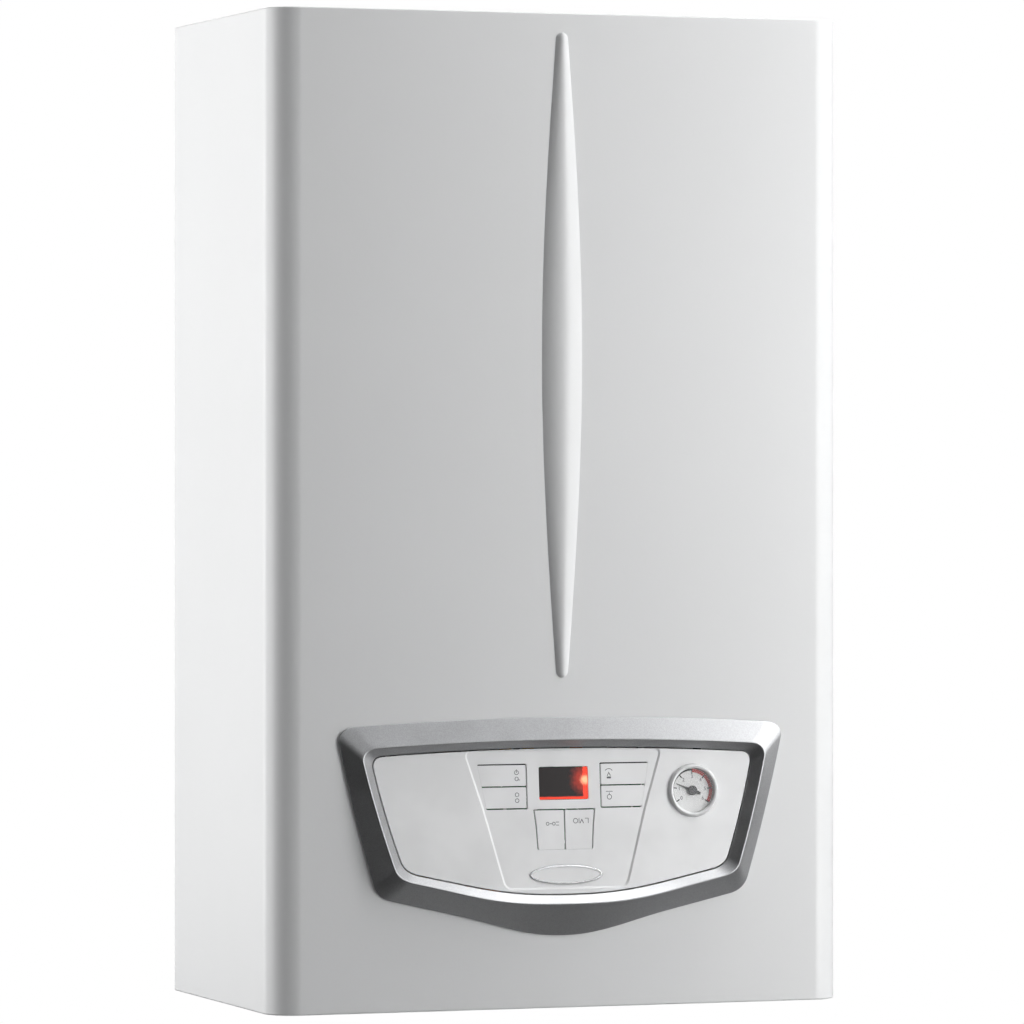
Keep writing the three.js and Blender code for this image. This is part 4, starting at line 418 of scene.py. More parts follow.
# ------------------------------------------------------------------ shader maths
class Wire:
    """A shader socket that takes part in Python arithmetic by adding Math nodes."""

    def __init__(self, graph: Graph, socket: bpy.types.NodeSocket) -> None:
        """Holds the graph and the socket."""
        self.graph = graph
        self.socket = socket

    def _math(self, operation: str, other: Any) -> Wire:
        """Adds a Math node on this value and another one."""
        return self.graph.node("ShaderNodeMath", {"operation": operation}, {0: self, 1: other})

    def __add__(self, other: Any) -> Wire:
        """Sum."""
        return self._math("ADD", other)

    __radd__ = __add__

    def __sub__(self, other: Any) -> Wire:
        """Difference."""
        return self._math("SUBTRACT", other)

    def __mul__(self, other: Any) -> Wire:
        """Product."""
        return self._math("MULTIPLY", other)

    __rmul__ = __mul__

    def clamped(self) -> Wire:
        """This value kept between zero and one."""
        return self.graph.node("ShaderNodeClamp", {}, {0: self})

    def ramp(self, low: float, high: float, start: float = 0.0, end: float = 1.0) -> Wire:
        """Smooth step from one level to another while this value goes from low to high."""
        return self.graph.node(
            "ShaderNodeMapRange", {"interpolation_type": "SMOOTHSTEP"}, {0: self, 1: low, 2: high, 3: start, 4: end}
        )


class Graph:
    """The node graph of one material."""

    def __init__(self, name: str) -> None:
        """Makes a material with a Principled shader and Object coordinates at hand."""
        self.material = bpy.data.materials.new(name)
        self.material.use_nodes = True
        self.tree = self.material.node_tree
        self.shader = next(n for n in self.tree.nodes if n.type == "BSDF_PRINCIPLED")
        self.coords = self.node("ShaderNodeTexCoord", {}, {}, "Object")

    def node(self, kind: str, settings: dict[str, Any], inputs: dict[Any, Any], output: Any = 0) -> Wire:
        """Adds a node.

        Args:
            kind: The node's type.
            settings: Its own settings, set first.
            inputs: Values or wires for its sockets.
            output: Name or number of the output wanted.

        Returns:
            The output as a wire.
        """
        node = self.tree.nodes.new(kind)
        for key, value in settings.items():
            setattr(node, key, value)
        for key, value in inputs.items():
            if isinstance(value, Wire):
                self.tree.links.new(value.socket, node.inputs[key])
            else:
                node.inputs[key].default_value = value
        return Wire(self, node.outputs[output])

    def scaled(self, stretch: Point3) -> Wire:
        """Object coordinates stretched along each axis."""
        return self.node("ShaderNodeVectorMath", {"operation": "MULTIPLY"}, {0: self.coords, 1: stretch})

    def noise(self, grain: float, detail: float = 2.0, stretch: Point3 = (1.0, 1.0, 1.0)) -> Wire:
        """Noise whose patches are about a grain across, in millimetres."""
        vector = self.coords if stretch == (1.0, 1.0, 1.0) else self.scaled(stretch)
        return self.node("ShaderNodeTexNoise", {}, {"Vector": vector, "Scale": 1000.0 / grain, "Detail": detail})

    def cells(self, size: float) -> Wire:
        """Random value of each cell of a mosaic, size in millimetres."""
        colour = self.node("ShaderNodeTexVoronoi", {}, {"Vector": self.coords, "Scale": 1000.0 / size}, "Color")
        return self.node("ShaderNodeSeparateColor", {}, {0: colour}, 0)

    def along(self, axis: str) -> Wire:
        """One Object coordinate, in millimetres."""
        parts = self.node("ShaderNodeSeparateXYZ", {}, {0: self.coords}, axis)
        return parts * 1000.0

    def blend(self, share: Any, low: Any, high: Any) -> Wire:
        """Mix of two colours."""
        return self.node("ShaderNodeMix", {"data_type": "RGBA"}, {0: share, 6: self.tint(low), 7: self.tint(high)}, 2)

    @staticmethod
    def tint(colour: Any) -> Any:
        """A colour with its fourth channel, or a wire as it is."""
        return colour if isinstance(colour, Wire) else (*colour, 1.0)

    def bump(self, height: Any, depth: float, strength: float = 1.0) -> Wire:
        """Surface relief of a depth in millimetres."""
        return self.node("ShaderNodeBump", {}, {"Strength": strength, "Distance": depth * MM, "Height": height})

    def drive(self, **sockets: Any) -> bpy.types.Material:
        """Sets or links the shader's sockets, whose names are written with underscores."""
        for key, value in sockets.items():
            socket = self.shader.inputs[key.replace("_", " ")]
            if isinstance(value, Wire):
                self.tree.links.new(value.socket, socket)
            elif socket.type == "RGBA":
                socket.default_value = (*value, 1.0)
            else:
                socket.default_value = value
        return self.material


# ------------------------------------------------------------------ finishes
@dataclass(frozen=True)
class Finish:
    """A surface finish; its material is made once and shared."""

    name: str
    slot: str
    colour: Colour
    roughness: float = 0.4

    def material(self) -> bpy.types.Material:
        """The finish's material, made on first use."""
        found = bpy.data.materials.get(self.name)
        return found if found is not None else self.paint(Graph(self.name))

    def shade(self, factor: float) -> Colour:
        """The finish's colour, lighter or darker."""
        return tuple(min(1.0, c * factor) for c in self.colour)

    def paint(self, graph: Graph) -> bpy.types.Material:
        """Fills in the node graph."""
        raise NotImplementedError


@dataclass(frozen=True)
class Enamel(Finish):
    """Powder-coated sheet with a faint orange peel."""

    peel: float = 0.02

    def paint(self, graph: Graph) -> bpy.types.Material:
        """Even coat with soft clouds, fine specks and the peel's relief."""
        cloud = graph.noise(180.0, 2.0)
        speck = graph.noise(0.7, 1.0)
        colour = graph.blend(cloud.ramp(0.3, 0.7), self.shade(0.985), self.colour)
        peel = graph.noise(2.6, 2.0) + speck * 0.25
        return graph.drive(
            Base_Color=colour,
            Roughness=graph.noise(45.0, 3.0).ramp(0.3, 0.75, self.roughness - 0.03, self.roughness + 0.04),
            Normal=graph.bump(peel, self.peel), Specular_IOR_Level=0.5
        )


@dataclass(frozen=True)
class Moulded(Finish):
    """Moulded plastic with a fine spark-eroded grain."""

    grain: float = 0.5
    relief: float = 0.015
    coat: float = 0.0

    def paint(self, graph: Graph) -> bpy.types.Material:
        """Grain, faint flow clouds and a little dirt in the roughness."""
        grain = graph.noise(self.grain, 3.0)
        cloud = graph.noise(35.0, 2.0)
        colour = graph.blend(cloud.ramp(0.3, 0.7), self.shade(0.96), self.shade(1.02))
        rough = graph.noise(9.0, 3.0).ramp(0.3, 0.7, self.roughness - 0.04, self.roughness + 0.05)
        return graph.drive(
            Base_Color=colour, Roughness=rough, Normal=graph.bump(grain, self.relief), Coat_Weight=self.coat
        )


@dataclass(frozen=True)
class SatinSilver(Finish):
    """Metallic paint with fine flakes."""

    def paint(self, graph: Graph) -> bpy.types.Material:
        """Flakes as tiny cells, over a soft cloud."""
        flake = graph.cells(0.35)
        colour = graph.blend(flake.ramp(0.0, 1.0), self.shade(0.9), self.shade(1.1))
        rough = graph.noise(14.0, 2.0).ramp(0.3, 0.7, self.roughness - 0.02, self.roughness + 0.03) + flake * 0.03
        return graph.drive(
            Base_Color=colour, Metallic=0.93, Roughness=rough, Normal=graph.bump(graph.noise(0.6, 2.0), 0.006)
        )


@dataclass(frozen=True)
class Sheet(Finish):
    """Rolled or plated sheet metal, with the rolling direction along one axis."""

    stretch: Point3 = (1.0, 1.0, 0.06)
    spangle: float = 0.0
    stain: float = 0.1

    def paint(self, graph: Graph) -> bpy.types.Material:
        """Rolling streaks or zinc spangle, with handling stains."""
        streak = graph.noise(1.6, 3.0, self.stretch)
        pattern = streak
        if self.spangle > 0:
            pattern = graph.cells(self.spangle) * 0.36 + streak * 0.4 + 0.12
        stain = graph.noise(38.0, 4.0).ramp(0.45, 0.75)
        metal = graph.blend(pattern.ramp(0.25, 0.8), self.shade(0.86), self.shade(1.08))
        colour = graph.blend(stain * self.stain * 2.0, metal, self.shade(0.62))
        rough = pattern.ramp(0.2, 0.8, self.roughness - 0.06, self.roughness + 0.08) + stain * self.stain
        return graph.drive(Base_Color=colour, Metallic=1.0, Roughness=rough, Normal=graph.bump(pattern, 0.01))


@dataclass(frozen=True)
class Cast(Finish):
    """Sand- or die-cast metal, with or without paint over it."""

    grain: float = 1.1
    relief: float = 0.09
    metallic: float = 0.9

    def paint(self, graph: Graph) -> bpy.types.Material:
        """Pitted skin, darker in its hollows and lighter on its raised grain, over a broad tone."""
        skin = graph.noise(self.grain, 4.0)
        broad = graph.noise(self.grain * 14.0, 2.0)
        colour = graph.blend((skin * 0.6 + broad * 0.4).ramp(0.3, 0.7), self.shade(0.78), self.shade(1.12))
        rough = skin.ramp(0.3, 0.7, self.roughness + 0.08, self.roughness - 0.06)
        return graph.drive(
            Base_Color=colour, Metallic=self.metallic, Roughness=rough, Normal=graph.bump(skin, self.relief)
        )


@dataclass(frozen=True)
class RedMetal(Finish):
    """Copper or brass, with tarnish and a machining or drawing grain."""

    tarnish: Colour = (0.2, 0.09, 0.05)
    share: float = 0.35

    def paint(self, graph: Graph) -> bpy.types.Material:
        """Bright metal under patches of tarnish."""
        patch = graph.noise(16.0, 4.0).ramp(0.42, 0.72)
        fine = graph.noise(1.2, 3.0)
        bright = graph.blend(fine.ramp(0.3, 0.7), self.shade(0.9), self.shade(1.06))
        colour = graph.blend(patch * self.share, bright, self.tarnish)
        rough = patch.ramp(0.0, 1.0, self.roughness, self.roughness + 0.2) + fine * 0.05
        return graph.drive(Base_Color=colour, Metallic=1.0, Roughness=rough, Normal=graph.bump(fine, 0.012))


@dataclass(frozen=True)
class Clear(Finish):
    """Clear glass or plastic that lets most light through."""

    alpha: float = 0.2

    def paint(self, graph: Graph) -> bpy.types.Material:
        """Thin clear skin with a trace of dust."""
        dust = graph.noise(6.0, 3.0).ramp(0.45, 0.8, self.alpha, self.alpha + 0.03)
        return graph.drive(
            Base_Color=self.colour, Roughness=graph.noise(9.0).ramp(0.3, 0.7, self.roughness, self.roughness + 0.03),
            Alpha=dust, Coat_Weight=0.6
        )


@dataclass(frozen=True)
class Lamp(Finish):
    """Dark display glass with painted red light, given off as emission, at its right and lower edge."""

    glow: Colour = (0.86, 0.05, 0.02)
    hot: Colour = (1.0, 0.42, 0.22)

    def paint(self, graph: Graph) -> bpy.types.Material:
        """Dark field with painted red light along its right and lower edges and a painted hot spot."""
        across = graph.along("X")
        height = graph.along("Z") - (PANEL_HEIGHT + 22.8 - HOME)
        grain = graph.noise(2.6, 3.0) - 0.5
        right = (across + grain * 2.2).ramp(14.4, 16.0)
        low = (height * -1.0 + grain * 0.6).ramp(9.2, 10.4)
        far = graph.node(
            "ShaderNodeVectorMath", {"operation": "DISTANCE"},
            {0: graph.coords, 1: at(16.6, -CASING_DEPTH - 4.0, PANEL_HEIGHT + 25.2)}, "Value"
        ) * 1000.0
        spot = (far + grain * 3.0).ramp(1.2, 5.2, 1.0, 0.0)
        haze = (far + grain * 7.0).ramp(4.0, 14.0, 0.5, 0.0)
        lit = (right + low + haze).clamped()
        colour = graph.blend(lit, self.colour, self.glow)
        colour = graph.blend(spot, colour, self.hot)
        level = (lit * 0.75 + spot * 0.6).clamped()
        glow = graph.blend(level, (0.0, 0.0, 0.0), colour)
        # The emission paints this red light and hot spot; the display gives off no light of its own.
        return graph.drive(
            Base_Color=colour, Roughness=self.roughness, Emission_Color=glow, Emission_Strength=0.75, Coat_Weight=0.1,
            Specular_IOR_Level=0.3
        )


@dataclass(frozen=True)
class Circuit(Finish):
    """Printed circuit board with tracks and solder."""

    def paint(self, graph: Graph) -> bpy.types.Material:
        """Tracks as a squared mosaic under green lacquer."""
        cell = graph.node(
            "ShaderNodeTexVoronoi", {"distance": "CHEBYCHEV"}, {"Vector": graph.coords, "Scale": 420.0}, "Distance"
        )
        track = cell.ramp(0.34, 0.38)
        pad = graph.noise(3.4, 1.0).ramp(0.66, 0.68)
        colour = graph.blend(track, self.colour, self.shade(1.7))
        colour = graph.blend(pad, colour, (0.62, 0.63, 0.62))
        return graph.drive(
            Base_Color=colour, Roughness=track.ramp(0.0, 1.0, 0.4, 0.3), Metallic=pad * 0.9,
            Normal=graph.bump(track, 0.04)
        )


WHITE_ENAMEL = Enamel("white enamel", "white_enamel", (0.80, 0.806, 0.81), 0.34)
VESSEL_RED = Enamel("red vessel paint", "painted_red", (0.42, 0.035, 0.028), 0.36, peel=0.05)
PALE_PLASTIC = Moulded("pale fascia plastic", "white_plastic", (0.9, 0.905, 0.91), 0.42)
BLACK_PLASTIC = Moulded("black moulding", "dark_plastic", (0.022, 0.023, 0.026), 0.48, grain=0.7, relief=0.03)
GREY_PLASTIC = Moulded("grey moulding", "grey_plastic", (0.30, 0.32, 0.34), 0.5, grain=0.7, relief=0.03)
RED_PLASTIC = Moulded("red moulding", "red_plastic", (0.5, 0.02, 0.016), 0.35, coat=0.3)
BLUE_PLASTIC = Moulded("blue moulding", "grey_plastic", (0.03, 0.11, 0.36), 0.4, coat=0.2)
PRINT = Moulded("grey print", "white_plastic", (0.13, 0.13, 0.14), 0.6)
DIAL_WHITE = Moulded("dial white", "dial_white", (0.84, 0.845, 0.84), 0.55, relief=0.004)
DIAL_BLACK = Moulded("dial black print", "dial_white", (0.02, 0.02, 0.022), 0.6, relief=0.004)
DIAL_RED = Moulded("dial red print", "dial_white", (0.62, 0.03, 0.03), 0.55, relief=0.004)
RUBBER = Moulded("black rubber", "dark_plastic", (0.018, 0.018, 0.019), 0.7, grain=0.9, relief=0.04)
BRIGHT_SILVER = SatinSilver("bright silver ring", "satin_silver", (0.72, 0.725, 0.735), 0.22)
SILVER = SatinSilver("satin silver paint", "satin_silver", (0.36, 0.363, 0.37), 0.33)
ZINC = Sheet("galvanised sheet", "galvanised_steel", (0.55, 0.57, 0.585), 0.42, spangle=9.0)
ALUMINISED = Sheet("aluminised sheet", "aluminised_steel", (0.66, 0.67, 0.68), 0.36, stain=0.08)
STEEL = Sheet(
    "plain stainless steel", "stainless_steel", (0.58, 0.585, 0.59), 0.28, stretch=(0.08, 1.0, 1.0), stain=0.05
)
BRIGHT_ZINC = Sheet("bright zinc fastener", "galvanised_steel", (0.62, 0.63, 0.62), 0.25, stain=0.04)
DIE_CAST = Cast("die-cast aluminium", "cast_aluminium", (0.56, 0.565, 0.57), 0.42, grain=0.8, relief=0.04)
BLACK_IRON = Cast("black-painted cast iron", "cast_iron_black", (0.025, 0.026, 0.03), 0.5, metallic=0.1)
COPPER = RedMetal("drawn copper", "copper", (0.78, 0.36, 0.2), 0.26)
BRASS = RedMetal("hot-pressed brass", "brass", (0.68, 0.48, 0.19), 0.34, tarnish=(0.24, 0.15, 0.05), share=0.3)
CERAMIC = Moulded("electrode ceramic", "ceramic", (0.78, 0.75, 0.68), 0.5, grain=1.4, relief=0.03)
BOARD = Circuit("circuit board", "circuit_board", (0.02, 0.13, 0.045), 0.4)
LENS = Clear("gauge lens", "clear_plastic", (0.95, 0.96, 0.97), 0.05, alpha=0.06)
RIM = Moulded("gauge rim", "clear_plastic", (0.82, 0.825, 0.83), 0.24, relief=0.004, coat=0.4)
SIGHT = Clear("sight glass", "sight_glass", (0.7, 0.78, 0.8), 0.04, alpha=0.35)
# Display finish whose red edges and hot spot are painted light, given off as emission.
DISPLAY = Lamp("red display", "red_filter", (0.012, 0.007, 0.007), 0.12)


# ------------------------------------------------------------------ pieces
class Workshop:
    """Puts pieces together from forms, dresses them and hangs them on their bodies."""

    def __init__(self, frame: dict[str, Any]) -> None:
        """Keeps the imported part.
        """
        self.nodes = frame["nodes"]
        self.body_of = {n: body for body, names in frame["record"]["behaviour"]["bodies"].items() for n in names}
        self.made = 0

    def piece(
        self, name: str, finish: Finish, add: Sequence[Union[Form, bpy.types.Object]],
        cut: Sequence[Union[Form, bpy.types.Object]] = (), replaces: Sequence[str] = (), body: str = "boiler",
        angle: float = 35.0, matrix: Optional[Matrix] = None
    ) -> bpy.types.Object:
        """Makes one piece.

        Args:
            name: The piece's name.
            finish: Its finish.
            add: Forms or closed objects that are joined.
            cut: Forms or closed objects that are cut away.
            replaces: CAD nodes that the piece stands for; it then rides on their body.
            body: Body that it rides on when it replaces nothing.
            angle: Smoothing angle in degrees.
            matrix: Placement applied to the mesh at the end.

        Returns:
            The finished object.
        """
        shapes = [self._shape(f, f"{name}_{i}") for i, f in enumerate(add)]
        obj = shapes[0]
        for other in shapes[1:]:
            Bench.boolean(obj, other, "UNION")
        for i, form in enumerate(cut):
            Bench.boolean(obj, self._shape(form, f"{name}_cut_{i}"), "DIFFERENCE")
        obj.name = name
        obj.data.name = name
        if matrix is not None:
            obj.data.transform(matrix)
        Bench.smooth(obj, angle)
        return self.dress(obj, finish, replaces, body)

    @staticmethod
    def _shape(form: Union[Form, bpy.types.Object], name: str) -> bpy.types.Object:
        """A form's object, or the object itself."""
        return form.make(name) if isinstance(form, Form) else form

    def dress(
        self, obj: bpy.types.Object, finish: Finish, replaces: Sequence[str] = (), body: str = "boiler"
    ) -> bpy.types.Object:
        """Gives a piece its finish, its body and the nodes that it stands for."""
        obj.data.materials.clear()
        obj.data.materials.append(finish.material())
        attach(obj, self.body_of[replaces[0]] if replaces else body)
        if replaces:
            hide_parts(*replaces)
        self.made += 1
        LOG.info("%s: %d faces", obj.name, len(obj.data.polygons))
        return obj

    def paint_node(self, node: str, finish: Finish) -> None:
        """Gives a CAD node that stays as it is a finish."""
        data = self.nodes[node].data
        data.materials.clear()
        data.materials.append(finish.material())

    def soften(self, node: str, finish: Finish, edge: float = 0.4, angle: float = 35.0) -> bpy.types.Object:
        """Replaces a CAD node by a copy of it with its doubles merged and its edges rounded."""
        obj = bpy.data.objects.new(f"{node}_body", self.nodes[node].data.copy())
        bpy.context.scene.collection.objects.link(obj)
        Bench.take(obj)
        bpy.ops.object.mode_set(mode="EDIT")
        bpy.ops.mesh.select_all(action="SELECT")
        bpy.ops.mesh.remove_doubles(threshold=MERGE_DISTANCE)
        bpy.ops.mesh.dissolve_limited(angle_limit=math.radians(0.4))
        bpy.ops.object.mode_set(mode="OBJECT")
        Bench.bevel(obj, edge, 2, 30.0)
        Bench.smooth(obj, angle)
        return self.dress(obj, finish, (node,))

    def fasten(self, name: str, head: Fastener, spots: Sequence[tuple[Point3, Point3]]) -> bpy.types.Object:
        """Models one screw head and lays its copies at their places, as one piece.

        Args:
            name: The piece's name.
            head: The head to copy.
            spots: Place in millimetres and outward direction of each copy.

        Returns:
            The finished object.
        """
        master = head.make()
        copies = []
        for place, direction in spots:
            copy = bpy.data.objects.new(name, master.data.copy())
            bpy.context.scene.collection.objects.link(copy)
            copy.data.transform(facing(place, direction))
            copies.append(copy)
        bpy.data.objects.remove(master, do_unlink=True)
        Bench.take(*copies)
        if len(copies) > 1:
            bpy.ops.object.join()
        copies[0].name = name
        Bench.smooth(copies[0], 35.0)
        return self.dress(copies[0], BRIGHT_ZINC)


# ------------------------------------------------------------------ outlines of the control panel
@dataclass(frozen=True)
class PanelLine:
    """One closed outline of the control panel, given by the points of its right half."""

    top: Point2
    corner_in: Point2
    corner_tip: Point2
    corner_out: Point2
    low_in: Point2
    low_tip: Point2
    low_out: Point2
    shoulder: Point2
    bottom: Point2

    @staticmethod
    def _curve(points: Sequence[Vector], steps: int) -> list[Vector]:
        """Points on a Bezier curve after its first point."""
        result = []
        for i in range(1, steps + 1):
            t = i / steps
            level = list(points)
            while len(level) > 1:
                level = [a.lerp(b, t) for a, b in zip(level, level[1:])]
            result.append(level[0])
        return result

    def loop(self) -> list[Vector]:
        """The whole outline in x and height, clockwise from the top middle."""
        top, c_in, c_tip, c_out = (Vector(p) for p in (self.top, self.corner_in, self.corner_tip, self.corner_out))
        l_in, l_tip, l_out = (Vector(p) for p in (self.low_in, self.low_tip, self.low_out))
        shoulder, bottom = Vector(self.shoulder), Vector(self.bottom)
        arch = Vector((c_in.x * 0.5, top.y))
        side = (c_out + l_in) / 2 + Vector((2.2, -0.5))
        slope = (shoulder - l_out).normalized()
        half = [top]
        half += self._curve([top, arch, c_in], 22)
        half += self._curve([c_in, c_tip, c_out], 12)
        half += self._curve([c_out, side, l_in], 16)
        half += self._curve([l_in, l_tip, l_out], 12)
        half += self._curve([l_out, shoulder], 6)
        half += self._curve(
            [shoulder, shoulder + slope * shoulder.x * 0.42, Vector((shoulder.x * 0.36, bottom.y)), bottom], 26
        )
        return half + [Vector((-p.x, p.y)) for p in reversed(half[1:-1])]


def inset(loop: Sequence[Vector], distance: float) -> list[Vector]:
    """A clockwise loop moved inward by a distance."""
    count = len(loop)
    result = []
    for i, point in enumerate(loop):
        along = (loop[(i + 1) % count] - loop[i - 1]).normalized()
        result.append(Vector((point.x + along.y * distance, point.y - along.x * distance)))
    return result


def panel_depth(height: float, behind: float = 0.0) -> float:
    """Depth of the panel's plane at a height, moved to the rear by a distance."""
    return -CASING_DEPTH - PANEL_PROUD + behind + (height - PANEL_HEIGHT) * math.tan(PANEL_TILT)


OUTER_LINE = PanelLine(
    (0, 210.5), (157, 205.6), (170.5, 204.6), (170.7, 195), (144.5, 93), (141.5, 82.5), (130, 80), (84, 69.5),
    (0, 52.7)
)
CREST_LINE = PanelLine(
    (0, 195), (144, 190.6), (155.3, 190), (155, 181), (133, 103), (130, 95.3), (118, 93), (80, 84), (0, 75.8)
)
LIP_LINE = PanelLine(
    (0, 188.8), (138, 184.6), (146.5, 184.1), (146, 176), (126.5, 108), (123.5, 100.6), (113, 98.2), (80, 91),
    (0, 82.4)
)


def rounded(outline: Sequence[Point2], radius: float, steps: int = 4) -> tuple[Point2, ...]:
    """A polygon with its corners rounded."""
    result: list[Point2] = []
    count = len(outline)
    for i, corner in enumerate(outline):
        c, before, after = Vector(corner), Vector(outline[i - 1]), Vector(outline[(i + 1) % count])
        reach = min(radius, (before - c).length * 0.45, (after - c).length * 0.45)
        start, end = c + (before - c).normalized() * reach, c + (after - c).normalized() * reach
        for k in range(steps + 1):
            t = k / steps
            p = start.lerp(c, t).lerp(c.lerp(end, t), t)
            result.append((p.x, p.y))
    return tuple(result)


def flat_prism(outline: Sequence[Point2], front: float, back: float, edge: float = 0.0) -> bpy.types.Object:
    """A prism in the panel's own plane between two depths, its heights counted from the panel's middle."""
    return Prism(Axis.Y, tuple((x, v + HOME) for x, v in outline), (front, back), edge).make("prism")


# ------------------------------------------------------------------ casing
@dataclass
class Cover:
    """The casing with its pressed ridge, and the silver frame round the control panel."""

    shop: Workshop
    corner: float = 22.0
    lip: float = 12.0
    sheet: float = 1.0
    fold: float = 1.3
    ridge_span: Span = (239.0, 706.0)
    ridge_width: float = 15.5
    ridge_end: float = 4.3
    ridge_rise: float = 5.5
    ridge_end_rise: float = 3.0
    ridge_round: float = 2.0
    frame_crest: float = 6.0
    frame_flat: float = 0.9
    frame_edge: float = 1.4
    frame_wall: float = 1.8

    def ridge(self, inside: float) -> bpy.types.Object:
        """The ridge as a closed body, its skin moved inward by a distance.

        Args:
            inside: How far the skin lies inside the pressed surface.

        Returns:
            The closed mesh object.
        """
        bottom, top = self.ridge_span
        middle, half = (bottom + top) / 2, (top - bottom) / 2
        Bench.clear()
        bpy.ops.mesh.primitive_grid_add(x_subdivisions=28, y_subdivisions=110, size=2.0)
        obj = bpy.context.object
        blunt = self.ridge_round
        span = math.hypot(1.0, blunt) - blunt
        front = -CASING_DEPTH
        for vertex in obj.data.vertices:
            u, t = vertex.co.x, math.sin(vertex.co.y * math.pi / 2)
            swell = math.cos(t * math.pi / 2)
            from_end = min((1 - abs(t)) * half / self.ridge_end, 1.0)
            cap = math.sqrt(max(1 - (1 - from_end) ** 2, 0.003))
            width = (self.ridge_end + (self.ridge_width - self.ridge_end) * swell) * cap
            rise = (self.ridge_end_rise + (self.ridge_rise - self.ridge_end_rise) * swell) * cap
            lift = rise * (1 - (math.hypot(u, blunt) - blunt) / span) - inside
            vertex.co = at(u * max(width - inside, 0.3), front - lift, middle + t * (half - inside))
        back = at(0, front + 0.5 + 2 * inside, 0).y
        Bench.take(obj)
        bpy.ops.object.mode_set(mode="EDIT")
        bpy.ops.mesh.select_all(action="SELECT")
        bpy.ops.mesh.extrude_region_move(TRANSFORM_OT_translate={"value": (0.0, 0.002, 0.0)})
        mesh = bmesh.from_edit_mesh(obj.data)
        for vertex in mesh.verts:
            if vertex.select:
                vertex.co.y = back
        bmesh.update_edit_mesh(obj.data)
        bpy.ops.mesh.select_all(action="SELECT")
        bpy.ops.mesh.normals_make_consistent(inside=False)
        bpy.ops.object.mode_set(mode="OBJECT")
        return obj

    def shell(self) -> bpy.types.Object:
        """The folded sheet: corners rolled, lips turned in, the rear left open."""
        half = CASING_WIDTH / 2
        obj = Block((-half, half), (-CASING_DEPTH, -1.0), (0.0, CASING_HEIGHT), edge=0.0).make("shell")
        Bench.take(obj)
        bpy.ops.object.mode_set(mode="EDIT")
        self._select(
            obj,
            lambda e: e.verts[0].co.y < -0.2 and e.verts[1].co.y < -0.2 and abs(
                e.verts[0].co.z - e.verts[1].co.z
            ) > 0.5
        )
        bpy.ops.mesh.bevel(offset=self.corner * MM, segments=16, affect="EDGES", offset_type="OFFSET")
        self._faces(obj, lambda n, c: n.y > 0.9)
        bpy.ops.mesh.delete(type="FACE")
        for sign in (1.0, -1.0):
            self._faces(obj, lambda n, c, s=sign: n.z * s > 0.9)
            bpy.ops.mesh.inset(thickness=self.lip * MM, use_boundary=True)
            bpy.ops.mesh.delete(type="FACE")
        self._faces(obj, lambda n, c: abs(n.z) > 0.9 and c.y > -0.5 * self.lip * MM - 0.0011)
        bpy.ops.mesh.delete(type="FACE")
        bpy.ops.object.mode_set(mode="OBJECT")
        Bench.bevel(obj, self.fold, 3, 60.0)
        Bench.modify(obj, "SOLIDIFY", thickness=self.sheet * MM, offset=-1.0, use_even_offset=True)
        return Bench.tidy(obj, 0.0005)

    @staticmethod
    def _select(obj: bpy.types.Object, wanted: Any) -> None:
        """Selects edges of a mesh in edit mode by a test."""
        bpy.ops.mesh.select_mode(type="EDGE")
        bpy.ops.mesh.select_all(action="DESELECT")
        mesh = bmesh.from_edit_mesh(obj.data)
        for edge in mesh.edges:
            edge.select = bool(wanted(edge))
        bmesh.update_edit_mesh(obj.data)

    @staticmethod
    def _faces(obj: bpy.types.Object, wanted: Any) -> None:
        """Selects faces of a mesh in edit mode by a test on normal and centre."""
        bpy.ops.mesh.select_mode(type="FACE")
        bpy.ops.mesh.select_all(action="DESELECT")
        mesh = bmesh.from_edit_mesh(obj.data)
        for face in mesh.faces:
            face.select = bool(wanted(face.normal, face.calc_center_median()))
        bmesh.update_edit_mesh(obj.data)

    def build_casing(self) -> None:
        """Casing sheet with its window and ridge."""
        window = Prism(Axis.Y, tuple((p.x, p.y) for p in inset(LIP_LINE.loop(), -0.4)), (-250.0, -230.0), 0.0)
        outside, inside = self.ridge(0.0), self.ridge(self.sheet)
        shell = self.shell()
        Bench.boolean(shell, window.make("window"), "DIFFERENCE")
        Bench.boolean(shell, outside, "UNION")
        Bench.boolean(shell, inside, "DIFFERENCE")
        shell.name = "casing_sheet"
        Bench.smooth(shell, 30.0)
        self.shop.dress(shell, WHITE_ENAMEL, ("casing",))

    def build_frame(self) -> None:
        """Silver frame: thin foot, broad outer slope, sharp crest, inner slope, and the channel behind."""
        outer, crest, lip = (line.loop() for line in (OUTER_LINE, CREST_LINE, LIP_LINE))
        seat = -CASING_DEPTH - SEAT
        rings: list[list[Vector]] = [[] for _ in range(9)]
        for o, c, l in zip(outer, crest, lip):
            crest_y = panel_depth(c.y, -self.frame_crest)
            ring = (
                (o, seat), (o, seat - self.frame_edge), (c, crest_y), (self._toward(c, l, self.frame_flat), crest_y),
                (l, panel_depth(l.y, -SEAT)), (l, seat), (self._toward(l, c, self.frame_wall), seat),
                (c, crest_y + self.frame_wall + 0.6), (self._toward(o, c, self.frame_wall), seat)
            )
            for points, (p, y) in zip(rings, ring):
                points.append(at(p.x, y, p.y))
        obj = Bench.skin("panel_frame_ring", rings, True)
        Bench.bevel(obj, 0.45, 3, 18.0)
        Bench.smooth(obj, 24.0)
        self.shop.dress(obj, SILVER, ("panel_frame",))

    @staticmethod
    def _toward(start: Vector, end: Vector, distance: float) -> Vector:
        """The point a distance from one point toward another."""
        return start.lerp(end, distance / (end - start).length)

    def build(self) -> None:
        """Makes the whole cover."""
        self.build_casing()
        self.build_frame()


# ------------------------------------------------------------------ control panel
@dataclass
class KeyPlan:
    """One key: its CAD node, its outline and the marks printed on it."""

    node: str
    outline: tuple[Point2, ...]
    marks: tuple[Form, ...]


